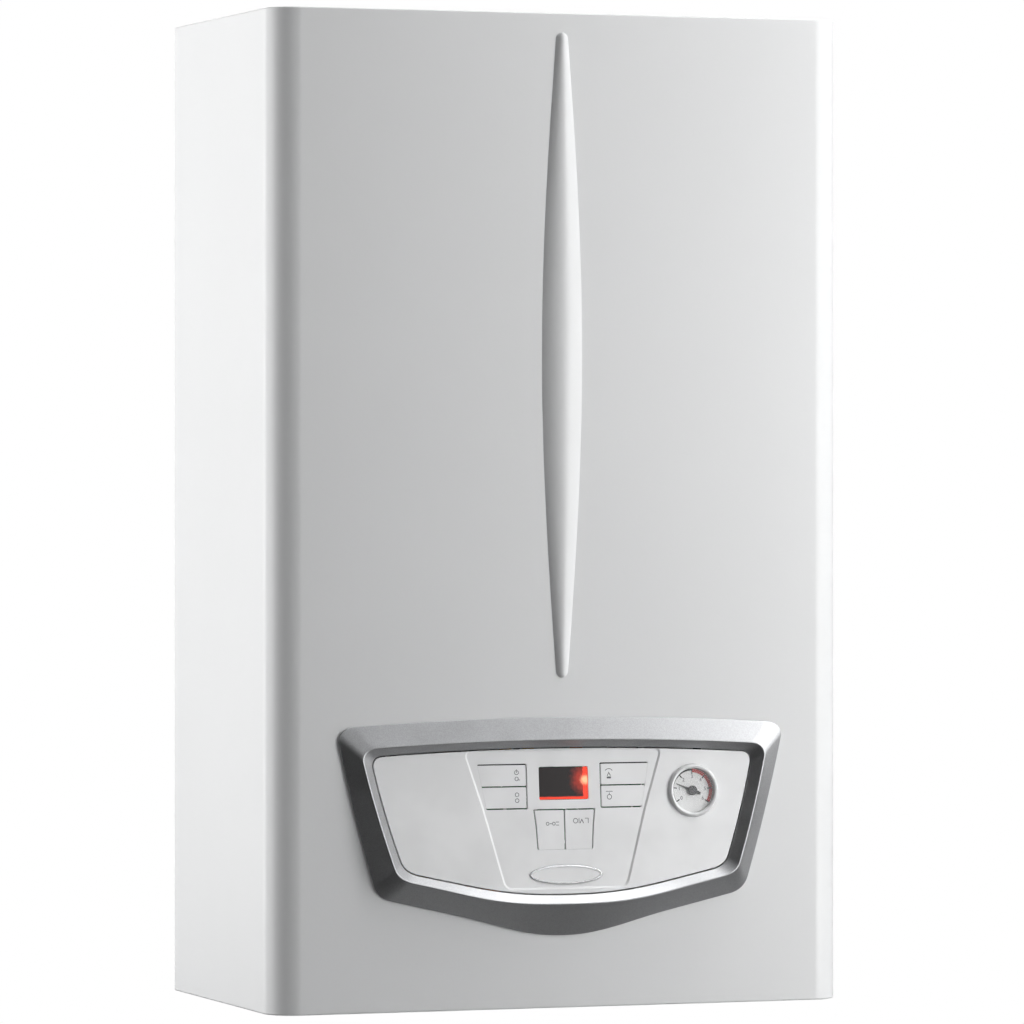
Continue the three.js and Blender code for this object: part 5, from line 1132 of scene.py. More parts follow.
@dataclass
class ControlPanel:
    """Fascia with its keys, display, badge plate and gauge, and the box behind it."""

    shop: Workshop
    gap: float = 0.8
    thickness: float = 3.0
    recess: float = 0.9
    slope: float = 1.5
    slot: float = 0.9
    key_thickness: float = 1.8
    key_outer: float = 66.0
    key_inner: float = 28.5
    key_top: float = 37.0
    key_pitch: float = 16.0
    key_taper: float = 3.0
    badge_height: float = -43.0
    gauge: Point2 = (100.0, 16.0)
    dial_radius: float = 16.2
    scale_start: float = 213.0
    scale_red: float = 89.0
    scale_end: float = -35.0
    scale_step: float = 41.33
    scale_bars: int = 7
    needle_rest: float = 158.0
    print_span: Span = (-0.06, 0.05)
    matrix: Matrix = field(default_factory=panel_matrix)

    def flat(
        self, name: str, finish: Finish, add: Sequence[Any], cut: Sequence[Any] = (), **more: Any
    ) -> bpy.types.Object:
        """A piece modelled flat and then set into the tilted panel."""
        return self.shop.piece(name, finish, add, cut, matrix=self.matrix, **more)

    def side_outline(self, side: int, row: int, grow: float, hinge: float) -> list[Point2]:
        """Outline of a side key, grown at its free edges and at its hinge."""
        top = self.key_top - row * self.key_pitch

        def outer(v: float) -> float:
            return self.key_outer - self.key_taper * (self.key_top - v) / self.key_pitch + hinge

        high, low, inner = top + grow, top - self.key_pitch - grow, self.key_inner - grow
        return [(side * inner, high), (side * outer(high), high), (side * outer(low), low), (side * inner, low)]

    @staticmethod
    def low_outline(side: int, grow: float, hinge: float, centre: float) -> list[Point2]:
        """Outline of a low key."""
        high, low = 4.0 + grow, -25.0 - hinge

        def half(v: float) -> float:
            return 21.0 + 2.5 * (v + 25.0) / 29.0 + grow

        return [
            (side * centre, high), (side * half(high), high), (side * (half(-8.0) - 0.5), -8.0),
            (side * half(low), low), (side * centre, low)
        ]

    def stroke(self, x: Span, v: Span) -> Block:
        """A short printed bar."""
        return Block(x, self.print_span, (HOME + v[0], HOME + v[1]), edge=0.0)

    def hoop(self, x: float, v: float, radius: float, width: float = 0.42) -> Rod:
        """A printed ring."""
        return Rod(Axis.Y, (x, HOME + v), self.print_span, radius, bore=radius - width, edge=0.0, sides=28)

    def bow(self, x: float, v: float, radius: float, width: float = 0.42) -> Prism:
        """A printed arc, open below."""
        angles = [math.radians(a) for a in range(35, 146, 10)]
        outer = [(x + radius * math.cos(a), HOME + v + radius * math.sin(a)) for a in angles]
        inner = [
            (x + (radius - width) * math.cos(a), HOME + v + (radius - width) * math.sin(a)) for a in reversed(angles)
        ]
        return Prism(Axis.Y, tuple(outer + inner), self.print_span, 0.0)

    def tent(self, x: float, v: float, size: float) -> Prism:
        """A printed chevron."""
        points = [
            (-size, -size), (0.0, size), (size, -size), (size - 0.6, -size), (0.0, size - 1.0), (-size + 0.6, -size)
        ]
        return Prism(Axis.Y, tuple((x + a, HOME + v + b) for a, b in points), self.print_span, 0.0)

    def keys(self) -> list[KeyPlan]:
        """The six keys with their plain marks."""
        half, tiny = self.slot / 2, -0.05
        side = self.side_outline
        row = [self.key_top - (k + 0.5) * self.key_pitch for k in (0, 1)]
        mark = self.key_inner + 7.6
        return [
            KeyPlan(
                "key_left_top", tuple(side(-1, 0, -half, tiny)),
                (
                    self.hoop(-mark, row[0] + 2.1, 1.7),
                    self.stroke((-mark - 0.2, -mark + 0.2), (row[0] + 1.9, row[0] + 4.4)),
                    self.hoop(-mark, row[0] - 2.4, 1.5),
                    self.stroke((-mark + 0.6, -mark + 2.6), (row[0] - 3.4, row[0] - 3.0))
                )
            ),
            KeyPlan(
                "key_left_middle", tuple(side(-1, 1, -half, tiny)),
                (self.hoop(-mark, row[1] + 2.1, 1.6), self.hoop(-mark, row[1] - 2.1, 1.6))
            ),
            KeyPlan(
                "key_left_low", tuple(self.low_outline(-1, -half, tiny, half)),
                (
                    self.hoop(-13.2, -6.2, 1.3), self.stroke((-11.6, -9.8), (-6.4, -6.0)), self.hoop(-8.4, -6.2, 1.3),
                    self.stroke((-6.8, -4.4), (-5.3, -4.9)), self.stroke((-6.8, -4.4), (-7.5, -7.1))
                )
            ),
            KeyPlan(
                "key_right_top", tuple(side(1, 0, -half, tiny)),
                (
                    self.bow(mark - 1.0, row[0] + 0.6, 3.5), self.tent(mark - 1.0, row[0] + 0.2, 1.5),
                    self.stroke((mark - 2.6, mark + 0.6), (row[0] - 3.2, row[0] - 1.9))
                )
            ),
            KeyPlan(
                "key_right_middle", tuple(side(1, 1, -half, tiny)),
                (
                    self.stroke((mark - 3.6, mark + 1.6), (row[1] + 3.2, row[1] + 3.6)),
                    self.hoop(mark - 1.0, row[1] - 0.6, 1.9),
                    self.stroke((mark - 1.2, mark - 0.8), (row[1] + 1.1, row[1] + 2.6))
                )
            ),
            KeyPlan(
                "key_right_low", tuple(self.low_outline(1, -half, tiny, half)),
                (
                    self.hoop(8.4, -4.4, 1.9), self.stroke((10.9, 11.3), (-6.2, -2.5)), self.tent(13.2, -4.6, 1.7),
                    self.stroke((15.6, 18.4), (-2.9, -2.5)), self.stroke((18.0, 18.4), (-6.2, -2.5))
                )
            ),
        ]

    def build_fascia(self) -> None:
        """Pale panel with its soft recess, the key slots, and the holes for display, gauge and plate."""
        plane = [(p.x, (p.y - PANEL_HEIGHT) / math.cos(PANEL_TILT)) for p in inset(LIP_LINE.loop(), self.gap)]
        body = flat_prism(plane, 0.0, self.thickness)
        Bench.bevel(body, 0.5, 3, 50.0)
        field_shape = rounded(
            [(-75.0, 46.4), (75.0, 46.4), (62.0, 6.0), (46.0, -52.0), (-46.0, -52.0), (-62.0, 6.0)], 5.0, 5
        )
        floor = [Vector(p) for p in reversed(field_shape)]
        wide = inset(floor, -self.slope) if self._clockwise(floor) else inset(floor, self.slope)
        rings = [[at(p.x, y, p.y + HOME) for p in loop] for loop, y in ((wide, -0.001), (floor, self.recess))]
        top = [at(p.x, -1.0, p.y + HOME) for p in wide]
        recess = Bench.skin("recess", [top, *rings], False)
        half = self.slot / 2
        cuts: list[Any] = [recess]
        for sign in (-1, 1):
            for row in (0, 1):
                cuts.append(flat_prism(rounded(self.side_outline(sign, row, half, 0.0), 1.3), -1.0, 4.0))
            cuts.append(flat_prism(rounded(self.low_outline(sign, half, 0.0, -half), 1.3), -1.0, 4.0))
        cuts.append(flat_prism(rounded([(-19, 35), (19, 35), (19, 11), (-19, 11)], 1.3), -1.0, 4.0))
        cuts.append(
            Rod(
                Axis.Y, (self.gauge[0], self.gauge[1] + HOME), (-1.0, 4.0), self.dial_radius + 0.6, edge=0.0, sides=64
            )
        )
        cuts.append(flat_prism(self.oval(0.55), -1.0, 1.9))
        self.flat("fascia_panel", PALE_PLASTIC, [body], cuts, replaces=("fascia",), angle=28.0)

    @staticmethod
    def _clockwise(loop: Sequence[Vector]) -> bool:
        """True for a loop that runs clockwise."""
        return sum((b.x - a.x) * (b.y + a.y) for a, b in zip(loop, list(loop[1:]) + [loop[0]])) > 0

    def oval(self, grow: float) -> tuple[Point2, ...]:
        """Outline of the oval plate."""
        return tuple(
            ((27.8 + grow) * math.cos(a), self.badge_height + (6.9 + grow) * math.sin(a))
            for a in (2 * math.pi * i / 72 for i in range(72))
        )

    def build_keys(self) -> None:
        """Keys flush with the recessed field, each with its post and its print."""
        front, back = self.recess, self.recess + self.key_thickness
        for plan in self.keys():
            body = self.shop.body_of[plan.node]
            shape = flat_prism(rounded(plan.outline, 0.9), front, back)
            Bench.bevel(shape, 0.22, 2, 40.0)
            xs = [x for x, _ in plan.outline]
            post_x = (1 if xs[0] + xs[1] > 0 else -1) * (10.0 if plan.node.endswith("low") else self.key_inner + 8.0)
            post_v = {"top": 29.0, "middle": 13.0, "low": -4.0}[plan.node.rsplit("_", 1)[1]]
            post = Rod(Axis.Y, (post_x, post_v + HOME), (back - 0.3, 5.4), 2.0, edge=0.2, sides=20)
            self.flat(f"{plan.node}_cap", PALE_PLASTIC, [shape, post], replaces=(plan.node,))
            shift = Matrix.Translation((0.0, front * MM, 0.0))
            marks = [form.make("mark") for form in plan.marks]
            for mark in marks:
                mark.data.transform(shift)
            self.flat(f"{plan.node}_print", PRINT, marks, body=body)

    def build_display(self) -> None:
        """Display glass in its window."""
        glass = flat_prism(rounded([(-18.6, 34.6), (18.6, 34.6), (18.6, 11.4), (-18.6, 11.4)], 1.1), 1.1, 3.0)
        Bench.bevel(glass, 0.2, 2, 50.0)
        self.flat("display_glass", DISPLAY, [glass], replaces=("display_window",))

    def build_badge(self) -> None:
        """Bare oval plate in a thin silver ring."""
        plate = flat_prism(self.oval(-1.3), 0.55, 1.7)
        Bench.bevel(plate, 0.4, 3, 50.0)
        self.flat("badge_oval", PALE_PLASTIC, [plate], replaces=("badge_plaque",))
        ring = flat_prism(self.oval(0.0), 0.05, 1.7)
        Bench.bevel(ring, 0.45, 3, 50.0)
        self.flat("badge_ring", BRIGHT_SILVER, [ring], [flat_prism(self.oval(-1.25), -1.0, 3.0)])

    def build_gauge(self) -> None:
        """Pressure gauge: case, rim, dial with its arcs, ticks and numbers, needle and lens."""
        x, v = self.gauge
        centre = (x, v + HOME)
        r = self.dial_radius
        case = Rod(Axis.Y, centre, (1.0, 24.0), r + 0.3, edge=0.6, sides=64)
        stem = Rod(Axis.Y, centre, (23.5, 51.0), 4.0, edge=0.4, sides=24)
        nut = Rod(Axis.Y, centre, (40.0, 46.0), 7.0, edge=0.4, sides=6)
        well = Rod(Axis.Y, centre, (-1.0, 2.6), r - 0.05, edge=0.0, sides=64)
        self.flat(
            "gauge_body", BLACK_PLASTIC, [case, stem, nut],
            [well, Rod(Axis.Y, centre, (2.0, 9.0), 0.9, edge=0.0, sides=20)], replaces=("gauge_case",)
        )
        rim = (
            (r - 0.1, 1.4), (r - 0.1, -1.6), (r + 0.5, -2.4), (r + 1.5, -2.6), (r + 2.6, -2.0), (r + 3.2, -0.9),
            (r + 3.3, -0.2), (r + 0.2, -0.2), (r + 0.2, 1.4), (r - 0.1, 1.4)
        )
        self.flat("gauge_rim", RIM, [Turned(Axis.Y, centre, 0.0, rim, 72)])
        dial = Rod(Axis.Y, centre, (1.9, 2.5), r - 0.15, bore=0.9, edge=0.0, sides=64)
        self.flat("gauge_face", DIAL_WHITE, [dial], replaces=("gauge_dial",))
        self.flat(
            "gauge_scale_low", DIAL_BLACK,
            [self.arc(centre, self.scale_start, self.scale_red, r - 0.4, 1.3), *self.ticks(centre)]
        )
        self.flat("gauge_scale_high", DIAL_RED, [self.arc(centre, self.scale_red, self.scale_end, r - 0.4, 2.6)])
        for bar in range(self.scale_bars):
            self.number(centre, bar)
        lens = (
            (0.0, -1.9), (r * 0.5, -1.8), (r * 0.85, -1.45), (r - 0.3, -1.0), (r - 0.3, -0.5), (r * 0.85, -0.95),
            (r * 0.5, -1.3), (0.0, -1.4)
        )
        self.flat("gauge_glass", LENS, [Turned(Axis.Y, centre, 0.0, lens, 64)], replaces=("gauge_lens",))
        self.build_needle(centre)

    def arc(self, centre: Point2, start: float, end: float, outer: float, width: float) -> Prism:
        """A printed arc of the scale, clockwise from start to end in degrees."""
        count = max(8, round(abs(start - end) / 4))
        angles = [math.radians(start + (end - start) * i / count) for i in range(count + 1)]
        outside = [(centre[0] + outer * math.cos(a), centre[1] + outer * math.sin(a)) for a in angles]
        inside = [
            (centre[0] + (outer - width) * math.cos(a), centre[1] + (outer - width) * math.sin(a))
            for a in reversed(angles)
        ]
        return Prism(Axis.Y, tuple(outside + inside), (1.84, 1.95), 0.0)

    def ticks(self, centre: Point2) -> list[Prism]:
        """A tick at each bar."""
        result = []
        for bar in range(self.scale_bars):
            a = math.radians(self.scale_start - self.scale_step * bar)
            along, across = Vector((math.cos(a), math.sin(a))), Vector((-math.sin(a), math.cos(a))) * 0.42
            middle = Vector(centre)
            near, far = middle + along * (self.dial_radius - 4.3), middle + along * (self.dial_radius - 0.9)
            points = (near + across, far + across, far - across, near - across)
            result.append(Prism(Axis.Y, tuple((p.x, p.y) for p in points), (1.83, 1.95), 0.0))
        return result

    def number(self, centre: Point2, bar: int) -> None:
        """One plain number of the scale."""
        a = math.radians(self.scale_start - self.scale_step * bar)
        place = Vector(centre) + Vector((math.cos(a), math.sin(a))) * (self.dial_radius - 6.1)
        Bench.clear()
        bpy.ops.object.text_add(location=at(place.x, 1.9, place.y), rotation=(math.pi / 2, 0.0, 0.0))
        text = bpy.context.object
        text.data.body = str(bar)
        text.data.size = 3.8 * MM
        text.data.extrude = 0.05 * MM
        text.data.align_x = "CENTER"
        text.data.align_y = "CENTER"
        bpy.ops.object.convert(target="MESH")
        obj = Bench.tidy(Bench.settle(bpy.context.object, f"gauge_number_{bar}"))
        obj.data.transform(self.matrix)
        self.shop.dress(obj, DIAL_BLACK)

    def build_needle(self, centre: Point2) -> None:
        """Black needle with its hub and tail, pointing at its rest reading."""
        turn = math.radians(self.needle_rest)
        blade = [
            (-6.6, -0.9), (-3.2, -1.3), (0.0, -1.5), (4.0, -0.62), (13.6, -0.22), (13.6, 0.22), (4.0, 0.62),
            (0.0, 1.5), (-3.2, 1.3), (-6.6, 0.9)
        ]
        turned = [
            (
                centre[0] + a * math.cos(turn) - b * math.sin(turn),
                centre[1] + a * math.sin(turn) + b * math.cos(turn)
            ) for a,
            b in blade
        ]
        tail = (centre[0] - 4.6 * math.cos(turn), centre[1] - 4.6 * math.sin(turn))
        forms = [
            Prism(Axis.Y, tuple(turned), (0.75, 1.15), 0.08),
            Rod(Axis.Y, centre, (0.2, 1.3), 3.5, edge=0.3, sides=32),
            Rod(Axis.Y, tail, (0.7, 1.2), 1.3, edge=0.1, sides=24),
            Rod(Axis.Y, centre, (1.0, 7.0), 0.6, edge=0.0, sides=16)
        ]
        self.flat("gauge_pointer", BLACK_PLASTIC, forms, replaces=("gauge_needle",))

    def build_box(self) -> None:
        """Black control box and the board in it."""
        self.shop.soften("control_box", BLACK_PLASTIC, 0.5)
        self.shop.paint_node("control_board", BOARD)

    def build(self) -> None:
        """Makes the whole control panel."""
        self.build_fascia()
        self.build_keys()
        self.build_display()
        self.build_badge()
        self.build_gauge()
        self.build_box()


# ------------------------------------------------------------------ fasteners
@dataclass(frozen=True)
class Fastener:
    """A screw or bolt head that lies on a surface, modelled at the origin with its head upward."""

    radius: float
    hexagon: bool = False
    washer: float = 0.0

    def make(self) -> bpy.types.Object:
        """Models the head, with its cross recess or its six flats."""
        r = self.radius
        if self.hexagon:
            head = Rod(Axis.Z, (0, 0), (HOME - 0.4, HOME + 0.75 * r), r, edge=0.25, sides=6).make("head")
            Bench.boolean(
                head,
                Rod(Axis.Z, (0, 0), (HOME + 0.6 * r, HOME + 1.6 * r), 0.45 * r, edge=0.0, sides=16).make("dimple"),
                "DIFFERENCE"
            )
        else:
            profile = (
                (0.0, -0.4), (r, -0.4), (r, 0.18 * r), (0.86 * r, 0.42 * r), (0.5 * r, 0.6 * r), (0.0, 0.66 * r)
            )
            head = Turned(Axis.Z, (0, 0), HOME, profile, 20).make("head")
            for wide, long in ((0.14, 0.62), (0.62, 0.14)):
                slot = Block(
                    (-long * r, long * r), (-wide * r, wide * r), (HOME + 0.28 * r, HOME + r), edge=0.0
                ).make("slot")
                Bench.boolean(head, slot, "DIFFERENCE")
        if self.washer > 0:
            Bench.boolean(
                head, Rod(Axis.Z, (0, 0), (HOME - 0.5, HOME + 0.35), self.washer, edge=0.15, sides=24).make("washer"),
                "UNION"
            )
        return head


def facing(place: Point3, direction: Point3) -> Matrix:
    """Matrix that lays the origin's +Z onto a direction at a place."""
    turn = Vector((0, 0, 1)).rotation_difference(Vector(direction)).to_matrix().to_4x4()
    return Matrix.Translation(at(*place)) @ turn


def circle(count: int, radius: float, start: float = 0.0) -> list[Point2]:
    """Points round a circle, its start in degrees."""
    return [
        (
            radius * math.cos(math.radians(start) + 2 * math.pi * i / count),
            radius * math.sin(math.radians(start) + 2 * math.pi * i / count)
        )
        for i in range(count)
    ]


def box_outline(x: Span, z: Span, radius: float, steps: int = 5) -> tuple[Point2, ...]:
    """Outline of a rectangle with round corners."""
    return rounded([(x[0], z[0]), (x[1], z[0]), (x[1], z[1]), (x[0], z[1])], radius, steps)


def scallop(radius: float, lobes: int, depth: float, centre: Point2, steps: int = 72) -> tuple[Point2, ...]:
    """Outline of a grip with hollows round it."""
    result = []
    for i in range(steps):
        angle = 2 * math.pi * i / steps
        r = radius - depth * (0.5 + 0.5 * math.cos(lobes * angle)) ** 2
        result.append((centre[0] + r * math.cos(angle), centre[1] + r * math.sin(angle)))
    return tuple(result)


# ------------------------------------------------------------------ back frame and rail
@dataclass
class BackFrame:
    """Galvanised tray that hangs on the wall, with the rail for the pipe tails."""

    shop: Workshop
    half: float = 218.7
    top: float = 718.7
    foot: float = 12.0
    sheet: float = 1.5
    flange: float = 25.0
    chamber_half: float = 204.0
    chamber_span: Span = (306.0, 712.0)
    upright_reach: float = 87.7
    upright_width: float = 18.0
    hang_x: float = 120.0
    hang_height: float = 694.7
    rail_height: float = 38.0

    def slot(self, side: int) -> Prism:
        """One hanging slot, wider at its lower end."""
        x, z = side * self.hang_x, self.hang_height
        return Prism(Axis.Y, box_outline((x - 5.5, x + 5.5), (z - 13, z + 13), 5.4, 8), (-6.0, 4.0), 0.0)

    def tray(self) -> None:
        """Back sheet with its flanges, uprights, pressed grooves and stamped holes."""
        half, t = self.half, self.sheet
        add: list[Form] = [Block((-half, half), (-t, 0.0), (self.foot, self.top), edge=0.3)]
        for side in (-1, 1):
            add.append(Block((side * (half - t), side * half), (-self.flange, 0.0), (self.foot, self.top), edge=0.35))
            outer, inner = side * self.chamber_half, side * (self.chamber_half - self.upright_width)
            add.append(Block((outer - side * t, outer), (-self.upright_reach, 0.0), self.chamber_span, edge=0.35))
            add.append(
                Block((inner, outer), (-self.upright_reach, -self.upright_reach + t), self.chamber_span, edge=0.35)
            )
        add.append(Block((-half, half), (-self.flange, 0.0), (self.top - t, self.top), edge=0.35))
        cut: list[Form] = [self.slot(-1), self.slot(1)]
        for z in (250.0, 330.0, 676.0):
            cut.append(Prism(Axis.Y, box_outline((-150, 150), (z - 5, z + 5), 4.9, 6), (-0.7, 1.0), 0.0))
        for side in (-1, 1):
            x = side * 196.0
            cut.append(Prism(Axis.Y, box_outline((x - 4, x + 4), (60, 640), 3.9, 6), (-0.7, 1.0), 0.0))
            for z in (36.0, 292.0, 660.0):
                cut.append(Rod(Axis.Y, (side * 176.0, z), (-6.0, 4.0), 3.4, edge=0.0, sides=24))
            for z in (120.0, 240.0, 400.0, 560.0):
                cut.append(Rod(Axis.X, (-13.0, z), (side * (half - 6), side * (half + 4)), 2.6, edge=0.0, sides=20))
        for x in (-60.0, 0.0, 60.0):
            cut.append(Rod(Axis.Y, (x, self.hang_height), (-6.0, 4.0), 4.2, edge=0.0, sides=24))
        self.shop.piece("back_tray", ZINC, add, cut, replaces=("back_frame",))
        spots = [
            ((side * 196.5, -1.5, z), (0, -1, 0)) for side in (-1, 1) for z in (180.0, 320.0, 480.0, 600.0, 690.0)
        ]
        self.shop.fasten("tray_rivets", Fastener(2.6), spots)

    def rail(self) -> None:
        """Rail for the tails, softened, with its screws and a rubber grommet round each tail."""
        self.shop.soften("connection_rail", ZINC, 0.35)
        spots = [((x, -1.5 - 1.8, 27.0), (0, -1, 0)) for x in (-172.0, -56.0, 56.0, 172.0)]
        self.shop.fasten("rail_screws", Fastener(3.6, True, 5.6), spots)
        clips = [
            Rod(Axis.Z, (i * PORT_PITCH, PIPE_Y), (37.2, 40.3), 13.2, bore=9.2, edge=0.4) for i in (-2, -1, 0, 1, 2)
        ]
        for i, clip in enumerate(clips):
            self.shop.piece(f"tail_grommet_{i}", RUBBER, [clip])

    def gland(self) -> None:
        """Cable gland: hexagon, domed cap and rubber sleeve."""
        x, y, z = -112.0, -28.0, self.rail_height
        profile = (
            (4.0, -19.5), (8.9, -19.5), (10.2, -18.2), (10.6, -9.0), (10.6, -7.2), (8.0, -7.2), (8.0, -0.3),
            (7.4, 0.0), (7.4, 13.3), (6.8, 13.6), (4.0, 13.6), (4.0, -19.5)
        )
        self.shop.piece(
            "gland_body", BLACK_PLASTIC,
            [
                Turned(Axis.Z, (x, y), z, profile),
                Rod(Axis.Z, (x, y), (z - 7.3, z - 0.3), 11.0, bore=5.0, edge=0.7, sides=6)
            ],
            replaces=("cable_gland",)
        )
        self.shop.piece(
            "gland_nut", BLACK_PLASTIC, [Rod(Axis.Z, (x, y), (z + 1.8, z + 6.5), 10.6, bore=7.2, edge=0.5, sides=6)]
        )
        self.shop.piece("gland_seal", RUBBER, [Rod(Axis.Z, (x, y), (z - 20.3, z - 8.0), 4.6, bore=2.2, edge=0.6)])

    def build(self) -> None:
        """Makes tray, rail and gland."""
        self.tray()
        self.rail()
        self.gland()


# ------------------------------------------------------------------ sealed chamber and what is on it
@dataclass
class Chamber:
    """Sealed chamber with its cover, collar, outlet, and the expansion vessel behind it."""

    shop: Workshop
    half: float = 204.0
    span: Span = (306.0, 712.0)
    back: float = -88.0
    front: float = -222.0
    sheet: float = 1.2
    rim: float = 9.0
    flue_y: float = -141.5
    cover_rise: float = 8.0
    sight_height: float = 372.0
    sight_radius: float = 17.0

    def body(self) -> None:
        """Folded box with swaged sides, its mouth, and the holes in roof and floor."""
        h, t, (low, high) = self.half, self.sheet, self.span
        add: list[Form] = [Block((-h, h), (self.front, self.back), self.span, edge=1.8, segments=4)]
        for side in (-1, 1):
            for y in (-122.0, -188.0):
                swage = box_outline((y - 7, y + 7), (low + 34, high - 34), 6.8, 6)
                add.append(Prism(Axis.X, swage, (side * (h - 0.6), side * (h + 1.6)), 0.9))
        cut: list[Form] = [Block((-h + t, h - t), (self.front + t, self.back - t), (low + t, high - t), edge=1.0)]
        mouth = box_outline((-h + self.rim, h - self.rim), (low + self.rim, high - self.rim), 8.0)
        cut.append(Prism(Axis.Y, mouth, (self.front - 5, self.front + 5), 0.0))
        cut.append(Rod(Axis.Z, (0, self.flue_y), (high - 4, high + 4), 48.5, edge=0.0, sides=64))
        for x, y, r in ((-158.0, -150.0, 10.5), (150.0, -150.0, 10.5), (20.0, -200.0, 9.0)):
            cut.append(Rod(Axis.Z, (x, y), (low - 4, low + 4), r, edge=0.0, sides=32))
        self.shop.piece("chamber_box", ALUMINISED, add, cut, replaces=("sealed_chamber",))
        for i, (x, y, r, inner) in enumerate(
            ((-158.0, -150.0, 14.5, 9.0), (150.0, -150.0, 14.5, 9.0), (20.0, -203.0, 9.6, 6.0))
        ):
            ring = ((inner, -3.0), (r - 1.2, -3.0), (r, -1.8), (r, -0.2), (inner, -0.2), (inner, -3.0))
            self.shop.piece(f"pipe_grommet_{i}", RUBBER, [Turned(Axis.Z, (x, y), low, ring, 40)])
        spots = [
            ((side * (h + 0.1), y, z), (side, 0, 0)) for side in (-1, 1) for y in (-98.0, -212.0)
            for z in (330.0, 420.0, 510.0, 600.0, 690.0)
        ]
        spots += [((x, y, high + 0.1), (0, 0, 1)) for x in (-180.0, -110.0, 110.0, 180.0) for y in (-98.0, -212.0)]
        self.shop.fasten("chamber_rivets", Fastener(2.3), spots)

    def outline(self, edge: float, radius: float, y: float) -> list[Vector]:
        """A rounded rectangle set in from the cover's edge, at a depth."""
        h, (low, high) = self.half - edge, self.span
        points = box_outline((-h, h), (low + edge, high - edge), radius, 8)
        return [at(x, y, z) for x, z in points]

    def cover(self) -> None:
        """Pressed cover: flat rim, raised field with a rounded shoulder, three beads, screws and seal."""
        face = self.front - SEAT
        t, rise = self.sheet, self.cover_rise
        lump = Bench.skin(
            "cover",
            [
                self.outline(0.0, 6.0, face), self.outline(0.0, 6.0, face - t), self.outline(22.0, 14.0, face - t),
                self.outline(24.5, 13.0, face - t - 1.4), self.outline(28.0, 11.0, face - rise + 1.4),
                self.outline(31.0, 9.0, face - rise)
            ],
            False
        )
        hollow = Bench.skin(
            "hollow",
            [
                self.outline(22.6, 13.4, face + 1.0), self.outline(23.2, 13.0, face - 0.2),
                self.outline(25.4, 12.0, face - 1.4), self.outline(29.0, 10.0, face - rise + 2.4),
                self.outline(32.0, 8.0, face - rise + t)
            ],
            False
        )
        Bench.boolean(lump, hollow, "DIFFERENCE")
        beads: list[Any] = [
            Prism(
                Axis.Y, box_outline((-140, 140), (z - 8, z + 8), 7.8, 8), (face - rise - 1.4, face - rise + 0.6), 0.8
            )
            for z in (452.0, 566.0, 652.0)
        ]
        hole = Rod(Axis.Y, (0, self.sight_height), (face - 20, face + 4), self.sight_radius - 3, edge=0.0, sides=40)
        self.shop.piece("chamber_lid", ALUMINISED, [lump, *beads], [hole], replaces=("chamber_cover",), angle=40.0)
        y = face - t
        edge = self.half - 11
        low, high = self.span[0] + 11, self.span[1] - 11
        spots = [((x, y, z), (0, -1, 0)) for x in (-edge, -edge / 2, 0, edge / 2, edge) for z in (low, high)]
        spots += [((x, y, z), (0, -1, 0)) for x in (-edge, edge) for z in (410.0, 509.0, 608.0)]
        self.shop.fasten("cover_screws", Fastener(3.6, True, 5.2), spots)
        seal = Bench.skin(
            "seal",
            [
                self.outline(1.5, 6.0, face + 0.15), self.outline(8.0, 4.0, face + 0.15),
                self.outline(8.0, 4.0, face + 0.0), self.outline(1.5, 6.0, face + 0.0)
            ],
            True
        )
        self.shop.piece("cover_seal", RUBBER, [seal])

    def sight(self) -> None:
        """Sight glass behind the cover, its ring in front, and two test points below it."""
        face = self.front - SEAT - self.cover_rise
        z, r = self.sight_height, self.sight_radius
        self.shop.piece(
            "sight_disc", SIGHT, [Rod(Axis.Y, (0, z), (face + 1.5, face + 4.5), r, edge=0.3, sides=48)],
            replaces=("sight_glass",)
        )
        ring = (
            (r - 3.5, 0.2), (r - 3.5, -1.6), (r - 2.6, -2.2), (r + 4.4, -2.2), (r + 5.2, -1.6), (r + 5.2, 0.2),
            (r - 3.5, 0.2)
        )
        self.shop.piece("sight_ring", BRIGHT_ZINC, [Turned(Axis.Y, (0, z), face, ring, 56)])
        spots = [((x, face - 2.2, z + dz), (0, -1, 0)) for x, dz in circle(3, r + 1.2, 90.0)]
        self.shop.fasten("sight_screws", Fastener(1.9), spots)
        for x in (-30.0, 30.0):
            nipple = (
                (0.0, 0.2), (4.2, 0.2), (4.2, -2.0), (2.4, -2.4), (2.4, -4.6), (3.0, -5.2), (2.0, -6.2), (0.0, -6.2)
            )
            self.shop.piece(
                f"test_point_{'left' if x < 0 else 'right'}", BRASS, [Turned(Axis.Y, (x, z - 30), face, nipple, 32)]
            )

